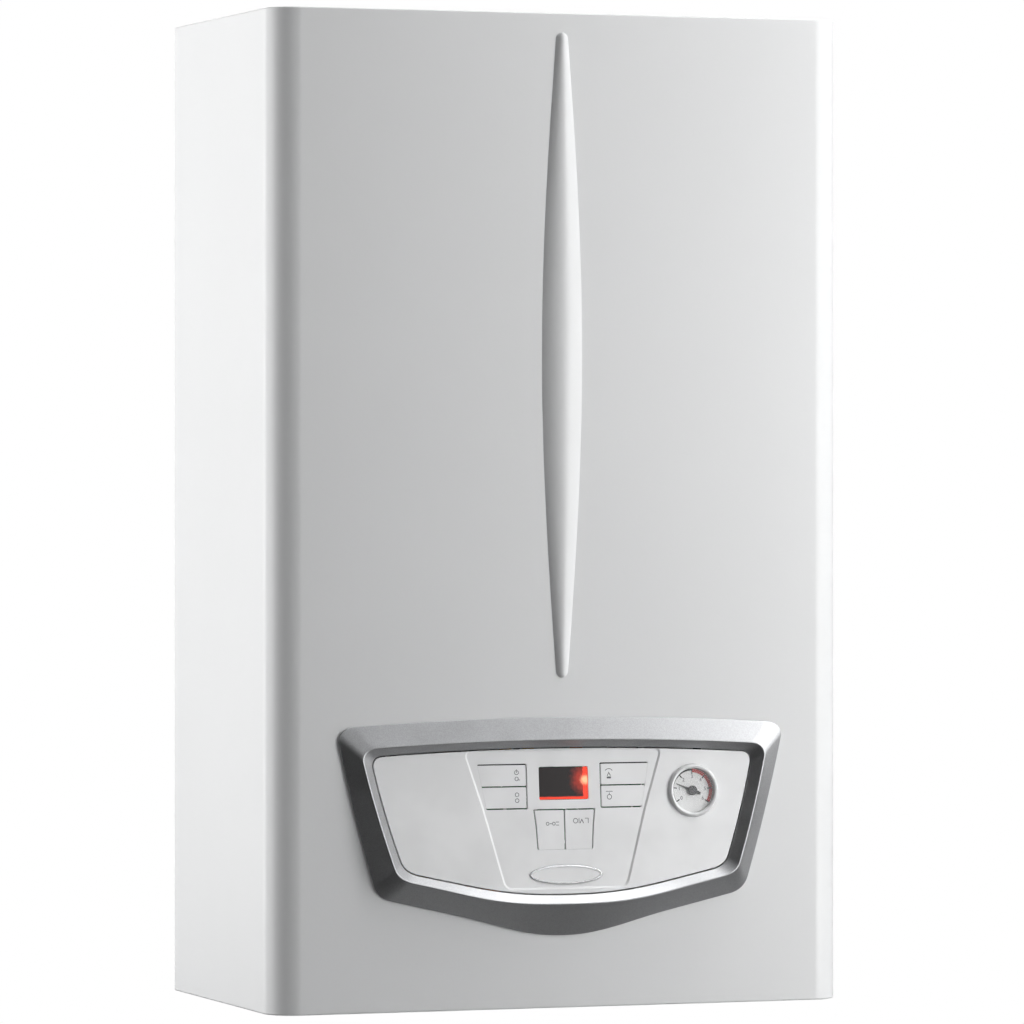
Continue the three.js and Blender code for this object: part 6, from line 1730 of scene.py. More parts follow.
    def vessel(self) -> None:
        """Round flat vessel: two dishes rolled together at the seam, nipple, valve cap and four brackets."""
        centre, middle = (0.0, VESSEL_HEIGHT), VESSEL_Y
        side = []
        for i in range(25):
            angle = math.radians(90 - 180 * i / 24)
            side.append((112.0 + 48.0 * max(0.0, math.cos(angle)) ** 0.62, 40.0 * math.sin(angle)))
        profile = [
            (0.0, 40.0), *[(r, d) for r, d in side[:12]], (158.5, 3.4), (162.4, 2.6), (163.0, 0.0), (162.4, -2.6),
            (158.5, -3.4), *[(r, d) for r, d in side[13:]], (0.0, -40.0)
        ]
        shell = Turned(Axis.Y, centre, middle, tuple(profile), 96)
        port = Rod(Axis.Z, (VESSEL_PORT_X, middle), (VESSEL_EDGE - 12, VESSEL_EDGE + 10), 9.0, edge=0.8, sides=6)
        bore = Rod(Axis.Z, (VESSEL_PORT_X, middle), (VESSEL_EDGE - 14, VESSEL_EDGE + 4), 5.2, edge=0.0, sides=24)
        self.shop.piece("vessel_shell", VESSEL_RED, [shell, port], [bore], replaces=("expansion_vessel",), angle=40.0)
        cap = ((0.0, -6.0), (5.4, -6.0), (5.4, 5.0), (4.6, 6.4), (0.0, 6.8))
        self.shop.piece(
            "vessel_valve_cap", BLACK_PLASTIC, [Turned(Axis.Z, (-70.0, middle), VESSEL_HEIGHT + 147.0, cap, 32)]
        )
        for i, angle in enumerate((35.0, 145.0, 215.0, 325.0)):
            x, dz = circle(1, 163.0, angle)[0]
            lug = Block((x - 9, x + 9), (-46.0, -2.2), (VESSEL_HEIGHT + dz - 2, VESSEL_HEIGHT + dz + 2), edge=0.6)
            self.shop.piece(f"vessel_bracket_{i}", ZINC, [lug])

    def roof(self) -> None:
        """Air collar, flue outlet with its rolled rim, and the capped sampling points."""
        z = self.span[1] + SEAT
        collar = (
            (48.5, 0.0), (60.8, 0.0), (62.0, 0.5), (62.0, 1.3), (61.5, 1.6), (52.5, 1.6), (50.6, 2.6), (50.0, 4.0),
            (50.0, 5.9), (49.7, 6.2), (48.8, 6.2), (48.5, 5.9), (48.5, 0.0)
        )
        self.shop.piece(
            "collar_ring", DIE_CAST, [Turned(Axis.Z, (0, self.flue_y), z, collar, 96)], replaces=("air_collar",)
        )
        spots = [((x, self.flue_y + y, z + 1.6), (0, 0, 1)) for x, y in circle(6, 56.5, 30.0)]
        self.shop.fasten("collar_screws", Fastener(2.5), spots)
        tube = (
            (28.0, 690.3), (29.5, 690.3), (29.5, 704.0), (29.9, 706.0), (29.5, 708.0), (29.5, 716.6), (29.2, 717.0),
            (28.3, 717.0), (28.0, 716.6), (28.0, 690.3)
        )
        self.shop.piece(
            "outlet_tube", ALUMINISED, [Turned(Axis.Z, (0, self.flue_y), 0.0, tube, 72)], replaces=("flue_outlet",)
        )
        for side in (-1, 1):
            cap = ((0.0, -0.2), (6.4, -0.2), (6.4, 1.2), (5.4, 1.6), (5.4, 3.6), (4.6, 4.6), (0.0, 4.8))
            self.shop.piece(
                f"sampling_cap_{'left' if side < 0 else 'right'}", BLACK_PLASTIC,
                [Turned(Axis.Z, (side * 82.0, self.flue_y), self.span[1], cap, 36)]
            )
        gasket = Rod(
            Axis.Z, (0, self.flue_y), (self.span[1], self.span[1] + 0.3), 62.0, bore=48.6, edge=0.0, sides=64
        )
        self.shop.piece("collar_gasket", RUBBER, [gasket])

    def build(self) -> None:
        """Makes the chamber and everything on it."""
        self.body()
        self.cover()
        self.sight()
        self.vessel()
        self.roof()


# ------------------------------------------------------------------ burner, exchanger and fan
@dataclass
class Combustion:
    """Burner, firebox, heat exchanger, hood, fan and air switch inside the chamber."""

    shop: Workshop
    stack_y: float = -150.0
    burner_span: Span = (307.5, 361.5)
    fan: Point2 = (-52.0, 628.0)
    fan_span: Span = (-161.5, -121.5)

    def burner(self) -> None:
        """Burner, injector bar, firebox and hood with softened edges, the electrodes and the tray lining."""
        low, high = self.burner_span
        y0, y1 = self.stack_y - 42, self.stack_y + 42
        self.shop.soften("burner", STEEL, 0.2)
        self.shop.soften("injector_bar", BRASS, 0.4)
        self.shop.soften("firebox", ALUMINISED, 0.5)
        self.shop.soften("flue_hood", ALUMINISED, 0.5, 30.0)
        face = self.stack_y - 50.3
        z = high + 9
        rods: list[Form] = [Block((-42, 40), (face - 1.5, face), (z - 6, z + 6), edge=0.4)]
        for x in (-32.0, -18.0, 30.0):
            sleeve = (
                (0.0, -12.0), (2.2, -12.0), (3.2, -11.0), (3.2, 14.0), (2.4, 15.0), (1.0, 15.2), (1.0, 32.5),
                (0.6, 33.0), (0.0, 33.0)
            )
            rods.append(Turned(Axis.Y, (x, z), face, sleeve, 28))
        self.shop.piece("electrode_set", CERAMIC, rods, replaces=("electrodes",))
        insulation = [Block((-101, 101), (y0 + 2, y1 - 2), (low + 0.1, low + 1.2), edge=0.2)]
        self.shop.piece("burner_tray_lining", STEEL, insulation)

    def exchanger(self) -> None:
        """Copper exchanger: close fins on three tubes between the water boxes."""
        half, low, high = 100.0, 465.7, 523.7
        tube_z = (low + high) / 2
        y0, y1 = self.stack_y - 44, self.stack_y + 44
        add: list[Form] = []
        for side in (-1, 1):
            add.append(
                Block(
                    (side * (half - 1), side * (half + 1.2)), (self.stack_y - 50, self.stack_y + 50), (low, high),
                    edge=0.3
                )
            )
            add.append(
                Block(
                    (side * (half + 0.9), side * (half + 13)), (y0 + 3, y1 - 3), (tube_z - 11, tube_z + 11), edge=3.0,
                    segments=4
                )
            )
        fins = 30
        for i in range(fins):
            x = -half + 2 * half * (i + 0.5) / fins
            add.append(Block((x - 0.3, x + 0.3), (y0, y1), (low + 0.6, high - 0.6), edge=0.0))
        for i in range(3):
            y = y0 + 88.0 / 3 * (i + 0.5)
            add.append(Rod(Axis.X, (y, tube_z), (-half - 1, half + 1), 10.0, edge=0.0, sides=32))
        self.shop.piece("exchanger_block", COPPER, add, replaces=("heat_exchanger",))

    def fan_set(self) -> None:
        """Fan housing, motor and air switch with softened edges, and the wheel with its blades."""
        self.shop.soften("fan_housing", ZINC, 0.4, 30.0)
        (x, z), (y1, y0) = self.fan, self.fan_span
        wheel: list[Form] = [
            Rod(Axis.Y, self.fan, (y1 + 5, y1 + 6.5), 45.0, edge=0.2, sides=72),
            Rod(Axis.Y, self.fan, (y0 - 7, y0 - 5), 45.0, bore=36.0, edge=0.2, sides=72),
            Rod(Axis.Y, self.fan, (y1 + 5, (y0 + y1) / 2), 8.0, edge=0.4, sides=32),
            Rod(Axis.Y, self.fan, (y1 - 24.3, y1 + 6), 3.0, edge=0.2, sides=20)
        ]
        blades = 20
        for i in range(blades):
            angle = 2 * math.pi * i / blades
            tip = (x + 44.4 * math.cos(angle), z + 44.4 * math.sin(angle))
            root = (x + 36.6 * math.cos(angle - 0.13), z + 36.6 * math.sin(angle - 0.13))
            across = Vector((root[1] - tip[1], tip[0] - root[0])).normalized() * 0.4
            outline = (
                (tip[0] + across.x, tip[1] + across.y), (root[0] + across.x, root[1] + across.y),
                (root[0] - across.x, root[1] - across.y), (tip[0] - across.x, tip[1] - across.y)
            )
            wheel.append(Prism(Axis.Y, outline, (y1 + 6.2, y0 - 5.2), 0.0))
        self.shop.piece("wheel_bladed", STEEL, wheel, replaces=("fan_wheel",))
        self.shop.soften("fan_motor", BLACK_IRON, 0.6, 40.0)
        self.shop.soften("air_pressure_switch", GREY_PLASTIC, 0.6, 40.0)

    def build(self) -> None:
        """Makes everything in the chamber."""
        self.burner()
        self.exchanger()
        self.fan_set()


# ------------------------------------------------------------------ hydraulics
@dataclass
class Hydraulics:
    """Tails, brass groups, plate exchanger, pump, valves and pipes under the chamber."""

    shop: Workshop
    level: float = 81.0
    port: float = 24.0
    body_radius: float = 20.0
    tail_bottom: float = 4.0
    nut_height: float = 18.0
    pump_x: float = 150.0
    pump_z: float = 170.0
    diverter_x: float = -112.0
    filling_place: Point2 = (92.0, -150.0)

    @property
    def low_port(self) -> float:
        """Height of the lower ports."""
        return self.level - self.port

    @property
    def high_port(self) -> float:
        """Height of the upper ports."""
        return self.level + self.port

    def tail(self, node: str, x: float, top: float, radius: float) -> None:
        """Copper tail with its flared end, union nut with an inner thread, and fibre washer."""
        c, low = (x, PIPE_Y), self.tail_bottom
        mouth = low + 9.0
        pipe = (
            (radius - 1.4, mouth + 1.2), (radius + 2.2, mouth + 1.2), (radius + 2.2, mouth + 3.0),
            (radius, mouth + 5.0), (radius, low + 27), (radius + 0.9, low + 28.5), (radius, low + 30),
            (radius, top - SEAT), (radius - 1.4, top - SEAT), (radius - 1.4, mouth + 1.2)
        )
        self.shop.piece(f"{node}_pipe", COPPER, [Turned(Axis.Z, c, 0.0, pipe, 48)], replaces=(node,))
        hexagon = Rod(Axis.Z, c, (low, low + self.nut_height), radius + 6.0, edge=0.9, sides=6).make("nut")
        thread = [(0.0, low - 1.0), (radius + 2.9, low - 1.0)]
        thread += [(radius + (2.9 if k % 2 else 2.3), low + 0.8 * k) for k in range(1, 12)]
        thread += [
            (radius + 2.4, mouth + 3.2), (radius + 0.2, mouth + 5.6), (radius + 0.2, low + self.nut_height + 1),
            (0.0, low + self.nut_height + 1)
        ]
        Bench.boolean(hexagon, Turned(Axis.Z, c, 0.0, tuple(thread), 48).make("thread"), "DIFFERENCE")
        self.shop.piece(f"{node}_nut", BRASS, [hexagon])
        washer = Rod(Axis.Z, c, (mouth, mouth + 1.2), radius + 2.2, bore=radius - 1.0, edge=0.15, sides=48)
        self.shop.piece(f"{node}_washer", RUBBER, [washer])

    def collar(self, x: float, low: float, high: float, radius: float) -> list[Form]:
        """A port with a hexagon on it."""
        c = (x, PIPE_Y)
        return [
            Rod(Axis.Z, c, (low, high), radius, edge=0.7, sides=40),
            Rod(Axis.Z, c, ((low + high) / 2 - 3.5, (low + high) / 2 + 4.5), radius + 2.2, edge=0.6, sides=6)
        ]

    def group(self, side: int, rings: Point2) -> tuple[list[Form], list[Form]]:
        """What the two brass groups share.

        Args:
            side: -1 for the left group, 1 for the right one.
            rings: Places of the two raised rings.

        Returns:
            The body with its ports, and the bores that go into the ports at the end.
        """
        z, y, r = self.level, PIPE_Y, self.body_radius
        ports = (side * 2 * PORT_PITCH, side * PORT_PITCH)
        add: list[Form] = [Rod(Axis.X, (y, z), (side * 55.0, side * 172.0), r, edge=3.0, sides=48)]
        add += [Rod(Axis.X, (y, z), (x - 2.5, x + 2.5), r + 1.6, edge=0.8, sides=48) for x in rings]
        add.append(Rod(Axis.X, (y, z), (side * 170.0, side * 178.0), 11.0, edge=0.8, sides=6))
        for x in ports:
            add += self.collar(x, self.low_port, z - 12, 14.0)
        add += [Rod(Axis.Z, (x, y), (z - 14, z), 13.0, edge=0.4, sides=40) for x in ports]
        bores: list[Form] = []
        for x, radius in zip(reversed(ports), (6.0, 7.6)):
            bores.append(Rod(Axis.Z, (x, y), (self.low_port - 1, z - 6), radius, edge=0.0, sides=32))
        return add, bores

    def flow_group(self) -> None:
        """Brass group on the flow side with the diverter's seat."""
        z, y, r = self.level, PIPE_Y, self.body_radius
        seat = z + 69.0
        add, bores = self.group(-1, (-134.0, -92.0))
        add.append(Rod(Axis.Z, (-158.0, y), (z, self.high_port), 13.0, edge=0.6, sides=40))
        add.append(Rod(Axis.Z, (self.diverter_x, y), (z, seat), 17.0, edge=0.6, sides=48))
        add.append(Rod(Axis.Z, (self.diverter_x, y), (seat - 8, seat), r, edge=0.8, sides=48))
        add.append(Rod(Axis.Z, (self.diverter_x, y), (z + 32, z + 40), 20.0, edge=0.8, sides=6))
        add.append(Block((-91.0, -57.0), (y, y + 25.0), (z - 14, z + 14), edge=2.0, segments=3))
        add.append(Block((-132.0, -92.0), (y - 19.0, y - 12.0), (z - 9, z + 9), edge=1.2))
        cut = [Rod(Axis.Z, (self.diverter_x, y), (z, seat + 2), 7.0, edge=0.0, sides=32), *bores]
        self.shop.piece("flow_group", BRASS, add, cut, replaces=("flow_manifold",), angle=40.0)
        plug = Rod(Axis.Y, (-112.0, z), (y - 22.5, y - 18.0), 6.5, edge=0.6, sides=6)
        self.shop.piece("flow_group_plug", BRASS, [plug])

    def return_group(self) -> None:
        """Brass group on the return side: filling valve, safety-valve boss and gauge port."""
        z, y = self.level, PIPE_Y
        add, bores = self.group(1, (86.0, 113.0))
        add.append(Rod(Axis.Z, (2 * PORT_PITCH, y), (z, self.high_port), 14.0, edge=0.6, sides=40))
        add.append(Rod(Axis.Z, (68.0, y), (z, self.high_port), 8.0, edge=0.5, sides=32))
        add.append(Rod(Axis.Z, (68.0, y), (self.high_port - 9, self.high_port), 9.4, edge=0.5, sides=6))
        add.append(Rod(Axis.Z, (100.0, y), (z, self.high_port), 5.0, edge=0.4, sides=24))
        add.append(Rod(Axis.Z, (100.0, y), (self.high_port - 8, self.high_port), 6.4, edge=0.4, sides=6))
        add.append(Rod(Axis.Y, (92.0, z - 5), (-150.0, y), 8.0, edge=0.5, sides=36))
        add.append(Rod(Axis.Y, (92.0, z - 5), (-128.0, -118.0), 10.0, edge=0.6, sides=6))
        add.append(Rod(Axis.Z, self.filling_place, (z - 31, z + 7), 11.0, edge=1.2, sides=40))
        add.append(Rod(Axis.Y, (128.0, z), (y - 25, y), 10.0, edge=0.5, sides=36))
        add.append(Block((57.0, 91.0), (y, y + 25.0), (z - 14, z + 14), edge=2.0, segments=3))
        cut = [Rod(Axis.Z, self.filling_place, (z - 32, z - 1), 3.4, edge=0.0, sides=24), *bores]
        self.shop.piece("return_group", BRASS, add, cut, replaces=("return_manifold",), angle=40.0)

    def plates(self) -> None:
        """Brazed stack of pressed plates between two cover plates."""
        front, stack, count, z = PIPE_Y + 25.3, 44.0, 14, self.level + 18
        half, high = 95.0, 38.0
        pitch = (stack - 3.0) / count
        add: list[Form] = [
            Prism(
                Axis.Y, box_outline((-half + 2.5, half - 2.5), (z - high + 2.5, z + high - 2.5), 10.0, 6),
                (front + 0.2, front + stack - 0.6), 0.0
            )
        ]
        for i in range(count):
            y = front + 1.2 + pitch * (i + 0.5)
            add.append(
                Prism(Axis.Y, box_outline((-half, half), (z - high, z + high), 12.0, 6), (y - 0.75, y + 0.75), 0.35)
            )
        for y in (front, front + stack - 1.6):
            add.append(
                Prism(
                    Axis.Y, box_outline((-half + 3, half - 3), (z - high + 3, z + high - 3), 10.0, 6), (y, y + 1.6),
                    0.4
                )
            )
        self.shop.piece("plate_stack", STEEL, add, replaces=("plate_exchanger",), angle=30.0)

    def pump(self) -> None:
        """Wet-rotor pump: volute with its ports, motor with terminal box and speed switch."""
        x, z, y = self.pump_x, self.pump_z, PIPE_Y
        back, front = y + 17.0, y - 17.0
        volute = (
            (0.0, back), (30.0, back), (37.5, back - 3.0), (41.0, back - 9.0), (41.0, front + 3.0), (39.5, front),
            (0.0, front)
        )
        add: list[Form] = [Turned(Axis.Y, (x, z), 0.0, volute, 72)]
        for low, high in ((self.high_port + SEAT, z), (z, z + 58.0)):
            add.append(Rod(Axis.Z, (x, y), (low, high), 14.0, edge=0.6, sides=40))
        add.append(Rod(Axis.Z, (x, y), (z + 50.0, z + 58.0), 17.5, edge=0.8, sides=8))
        add.append(Rod(Axis.Z, (x, y), (self.high_port + SEAT, self.high_port + 8.5), 17.5, edge=0.8, sides=8))
        add.append(Rod(Axis.X, (y, z + 20), (104.0, x), 8.0, edge=0.5, sides=32))
        add.append(Rod(Axis.Z, (104.0, y), (z + 10, z + 34), 9.6, edge=0.8, sides=32))
        for angle in (45, 135, 225, 315):
            px, pz = circle(1, 40.0, angle)[0]
            add.append(Rod(Axis.Y, (x + px, z + pz), (front, front + 12), 6.0, edge=0.8, sides=24))
        cut = [
            Rod(Axis.Z, (x, y), (self.high_port - 5, z + 63), 9.0, edge=0.0, sides=32),
            Rod(Axis.Y, (x, z), (back - 20, back - 4), 33.0, edge=0.0, sides=64),
            Rod(Axis.Y, (x, z), (front - 2, back - 10), 8.0, edge=0.0, sides=32)
        ]
        self.shop.piece("pump_volute", BLACK_IRON, add, cut, replaces=("pump_body",), angle=40.0)
        self.pump_motor(x, z, front - SEAT)
        wheel: list[Form] = [
            Rod(Axis.Y, (x, z), (back - 9, back - 7), 30.0, edge=0.3, sides=64),
            Rod(Axis.Y, (x, z), (front - 56, back - 8), 4.0, edge=0.2, sides=24),
            Rod(Axis.Y, (x, z), (front - 50, front - 12), 17.0, edge=0.6, sides=48)
        ]
        for i in range(7):
            outline = []
            for k in range(9):
                angle, r = math.radians(360 / 7 * i - 9 * k), 9.0 + 2.4 * k
                outline.append((x + r * math.cos(angle), z + r * math.sin(angle)))
            back_side = [
                (
                    x + (px - x) - 0.9 * math.sin(math.atan2(pz - z, px - x) + 0.4),
                    z + (pz - z) + 0.9 * math.cos(math.atan2(pz - z, px - x) + 0.4)
                ) for px,
                pz in reversed(outline)
            ]
            wheel.append(Prism(Axis.Y, tuple(outline + back_side), (back - 16, back - 8.5), 0.0))
        self.shop.piece("pump_wheel", STEEL, wheel, replaces=("pump_rotor",), angle=35.0)

    def pump_motor(self, x: float, z: float, back: float) -> None:
        """Motor can with its flange, cooling ribs, terminal box and bleed screw."""
        front = back - 74.0
        flange = Prism(Axis.Y, box_outline((x - 39, x + 39), (z - 39, z + 39), 14.0, 8), (back - 6, back), 0.8)
        can = (
            (0.0, back - 5), (36.0, back - 5), (37.0, back - 8), (37.0, front + 13), (35.0, front + 8),
            (30.0, front + 6), (24.5, front + 6), (24.0, front + 5), (23.4, front + 0.8), (22.6, front), (0.0, front)
        )
        add: list[Form] = [flange, Turned(Axis.Y, (x, z), 0.0, can, 72)]
        for angle in range(150, 390, 12):
            cx, cz = circle(1, 36.6, angle)[0]
            add.append(Rod(Axis.Y, (x + cx, z + cz), (front + 16, back - 5), 1.3, edge=0.3, sides=12))
        add.append(Block((x - 20, x + 20), (back - 58, back - 14), (z + 20, z + 51), edge=2.4, segments=4))
        cut = [
            Rod(Axis.Y, (x, z), (front + 24 - 0.3, back + 2), 18.5, edge=0.0, sides=48),
            Rod(Axis.Y, (x, z), (front + 14 - 0.3, back), 4.3, edge=0.0, sides=24)
        ]
        self.shop.piece("pump_motor_can", DIE_CAST, add, cut, replaces=("pump_motor",), angle=40.0)
        lid = [Block((x - 18.5, x + 18.5), (back - 59.6, back - 57.6), (z + 22, z + 49.5), edge=0.8)]
        self.shop.piece("pump_terminal_lid", BLACK_PLASTIC, lid)
        knob: list[Form] = [
            Rod(Axis.Y, (x, z + 36), (back - 63.5, back - 59.4), 8.0, edge=0.7, sides=32),
            Block((x - 1.1, x + 1.1), (back - 64.4, back - 63.0), (z + 29.5, z + 42.5), edge=0.3)
        ]
        self.shop.piece("pump_speed_switch", RED_PLASTIC, knob)
        bleed = Rod(Axis.Y, (x, z), (front - 2.2, front + 1), 11.0, edge=0.8, sides=32)
        slot = Block((x - 8, x + 8), (front - 4, front - 0.9), (z - 1, z + 1), edge=0.0)
        self.shop.piece("pump_bleed_screw", BRASS, [bleed], [slot])
        spots = [((x + px, back - 6, z + pz), (0, -1, 0)) for px, pz in circle(4, 44.5, 45.0)]
        self.shop.fasten("pump_bolts", Fastener(3.4, True), spots)

    def vent(self) -> None:
        """Automatic air vent with its knurled cap."""
        c, base = (104.0, PIPE_Y), self.pump_z + 34.3
        profile = (
            (0.0, 0.0), (8.0, 0.0), (8.0, 7.0), (10.0, 8.4), (12.4, 11.0), (13.0, 13.0), (13.0, 42.0), (12.4, 44.0),
            (9.0, 46.5), (7.0, 47.2), (5.0, 47.6), (4.0, 48.0), (4.0, 51.4), (3.4, 52.0), (0.0, 52.0)
        )
        add: list[Form] = [
            Turned(Axis.Z, c, base, profile, 56), Rod(Axis.Z, c, (base + 1.5, base + 7), 10.4, edge=0.5, sides=6)
        ]
        self.shop.piece("vent_body", BRASS, add, replaces=("air_vent",), angle=40.0)
        cap = Prism(Axis.Z, scallop(5.4, 18, 0.5, c, 108), (base + 47.6, base + 51.0), 0.3)
        self.shop.piece("vent_cap", BLACK_PLASTIC, [cap])

    def diverter(self) -> None:
        """Diverter actuator with its ribs, plug and clip, and the stem inside it."""
        x, y = self.diverter_x, PIPE_Y
        base = self.level + 69.3
        top = base + 62.0
        half = 23.0
        add: list[Form] = [
            Prism(
                Axis.Z, box_outline((x - half, x + half), (y - half, y + half), 7.0, 6), (base + 8, base + 62.0), 1.2
            ),
            Rod(Axis.Z, (x, y), (base, base + 9), 20.0, edge=0.5, sides=48),
            Block((x - half + 8, x + half - 8), (y - half - 12, y - half + 1), (base + 26, base + 44), edge=1.0)
        ]
        for dx in (-15.0, -7.5, 0.0, 7.5, 15.0):
            add.append(
                Block((x + dx - 1, x + dx + 1), (y + half - 1, y + half + 0.8), (base + 14, base + 56), edge=0.4)
            )
        cut = [
            Rod(Axis.Z, (x, y), (base - 1, base + 26), 7.0, edge=0.0, sides=32),
            Block((x - 12, x + 12), (y - half - 14, y - half - 8), (base + 28.5, base + 41.5), edge=0.6)
        ]
        self.shop.piece("diverter_motor", BLACK_PLASTIC, add, cut, replaces=("diverter_actuator",))
        lid = Prism(
            Axis.Z, box_outline((x - 20.5, x + 20.5), (y - 20.5, y + 20.5), 5.6, 6), (top - 0.4, top + 1.4), 0.6
        )
        self.shop.piece("diverter_lid", GREY_PLASTIC, [lid])
        spots = [((x + dx, y + dy, top + 1.4), (0, 0, 1)) for dx in (-15, 15) for dy in (-15, 15)]
        self.shop.fasten("diverter_screws", Fastener(2.0), spots)
        clip = Rod(Axis.Z, (x, y), (base - 3.0, base - 1.0), 23.0, bore=20.2, edge=0.4, sides=48)
        self.shop.piece("diverter_clip", STEEL, [clip])
        z = self.level
        stem = (
            (0.0, z + 6), (5.2, z + 6), (6.4, z + 7.2), (6.4, z + 10.8), (5.2, z + 12), (3.0, z + 12.6),
            (3.0, base + 11.4), (5.6, base + 12), (6.4, base + 12.8), (6.4, base + 15.2), (5.6, base + 16),
            (3.0, base + 16.4), (3.0, base + 17.6), (2.6, base + 18), (0.0, base + 18)
        )
        self.shop.piece(
            "diverter_spindle", STEEL, [Turned(Axis.Z, (x, y), 0.0, stem, 40)], replaces=("diverter_stem",)
        )

    def safety(self) -> None:
        """Safety valve with its outlet and red knob."""
        x, z, y = 128.0, self.level, PIPE_Y - 25.3
        end = y - 30.0
        body = (
            (0.0, y), (11.5, y), (13.0, y - 1.5), (13.0, y - 22.0), (12.2, y - 24.0), (12.2, end + 1.0), (11.2, end),
            (0.0, end)
        )
        add: list[Form] = [
            Turned(Axis.Y, (x, z), 0.0, body, 56), Rod(Axis.Y, (x, z), (y - 13, y - 5), 15.5, edge=0.7, sides=6),
            Rod(Axis.Z, (x, y - 18), (z - 38, z), 7.0, edge=0.5, sides=36),
            Rod(Axis.Z, (x, y - 18), (z - 38, z - 33.5), 8.4, edge=0.7, sides=36)
        ]
        cut = [
            Rod(Axis.Z, (x, y - 18), (z - 40, z - 14), 4.8, edge=0.0, sides=32),
            Rod(Axis.Y, (x, z), (end - 2, end + 12), 2.4, edge=0.0, sides=20)
        ]
        self.shop.piece("safety_body", BRASS, add, cut, replaces=("safety_valve",), angle=40.0)
        back = end - SEAT
        grip = Prism(Axis.Y, scallop(15.0, 8, 1.9, (x, z), 96), (back - 16, back), 1.1)
        hub: list[Form] = [grip, Rod(Axis.Y, (x, z), (back - 0.5, back + 9), 2.0, edge=0.2, sides=20)]
        arrow = Prism(
            Axis.Y,
            (
                (x - 6, z - 1), (x + 1, z - 1), (x + 1, z - 3), (x + 6, z), (x + 1, z + 3), (x + 1, z + 1),
                (x - 6, z + 1)
            ),
            (back - 18, back - 15.4), 0.0
        )
        self.shop.piece("safety_grip", RED_PLASTIC, hub, [arrow], replaces=("safety_valve_knob",))

    def filling(self) -> None:
        """Filling knob, gripped from below."""
        c = self.filling_place
        top = self.level - 31 - SEAT
        grip = Prism(Axis.Z, scallop(12.0, 6, 2.3, c, 96), (top - 27, top), 1.0)
        add: list[Form] = [grip, Rod(Axis.Z, c, (top - 1, self.level - 3), 3.0, edge=0.2, sides=24)]
        cut = [Rod(Axis.Z, c, (top - 29, top - 25.6), 6.0, edge=0.0, sides=32)]
        self.shop.piece("filling_grip", BLUE_PLASTIC, add, cut, replaces=("filling_valve_knob",))

    def gas(self) -> None:
        """Gas valve: cast block with bosses, screws, test points and the modulating coil."""
        low, high, y = 150.0, 212.0, PIPE_Y
        back, front = y + 20.0, y - 46.0
        add: list[Form] = [
            Prism(Axis.Y, box_outline((-40, 40), (low + 6, high - 6), 5.0, 6), (front, back), 1.2),
            Rod(Axis.Z, (0, y), (low, high), 15.0, edge=0.6, sides=40),
            Rod(Axis.Z, (0, y), (low, low + 7), 17.0, edge=0.7, sides=8),
            Block((-34, 34), (front - 9, front + 1), (low + 16, high - 16), edge=2.0, segments=3),
            Rod(Axis.Z, (20.0, y), (low + 10, high), 13.0, edge=0.6, sides=36)
        ]
        for z in (low + 12.5, high - 12.5):
            add.append(Block((-40, 40), (front - 1.2, front + 1), (z - 1.5, z + 1.5), edge=0.5))
        cut = [Rod(Axis.Z, (0, y), (low - 2, low + 12), 8.6, edge=0.0, sides=32)]
        self.shop.piece("gas_block", DIE_CAST, add, cut, replaces=("gas_valve",), angle=40.0)
        spots = [((px, front - 9, pz), (0, -1, 0)) for px in (-29, 29) for pz in (low + 21, high - 21)]
        spots += [((px, front, pz), (0, -1, 0)) for px in (-36, 36) for pz in (low + 10, high - 10)]
        self.shop.fasten("gas_valve_screws", Fastener(2.8), spots)
        for i, px in enumerate((-9.0, 9.0)):
            nipple = (
                (0.0, front - 8.5), (4.6, front - 8.5), (4.6, front - 11.5), (3.0, front - 12.5), (3.0, front - 16.0),
                (3.8, front - 17.0), (3.4, front - 18.6), (0.0, front - 18.6)
            )
            self.shop.piece(f"gas_test_point_{i}", BRASS, [Turned(Axis.Y, (px, low + 31), 0.0, nipple, 32)])
        cx, cy, base = -23.0, front + 17.0, high - 5.7
        coil: list[Form] = [
            Rod(Axis.Z, (cx, cy), (base, base + 36), 15.0, edge=1.4, sides=48),
            Rod(Axis.Z, (cx, cy), (base + 35, base + 40), 7.0, edge=0.6, sides=6),
            Block((cx - 9, cx + 9), (cy - 22, cy - 13), (base + 8, base + 24), edge=0.8)
        ]
        coil += [Rod(Axis.Z, (cx, cy), (base + h, base + h + 1.6), 15.7, edge=0.4, sides=48) for h in (4.0, 28.0)]
        slot = Block((cx - 7, cx + 7), (cy - 24, cy - 19), (base + 10.5, base + 21.5), edge=0.4)
        self.shop.piece("gas_coil", BLACK_PLASTIC, coil, [slot], replaces=("gas_valve_coil",))

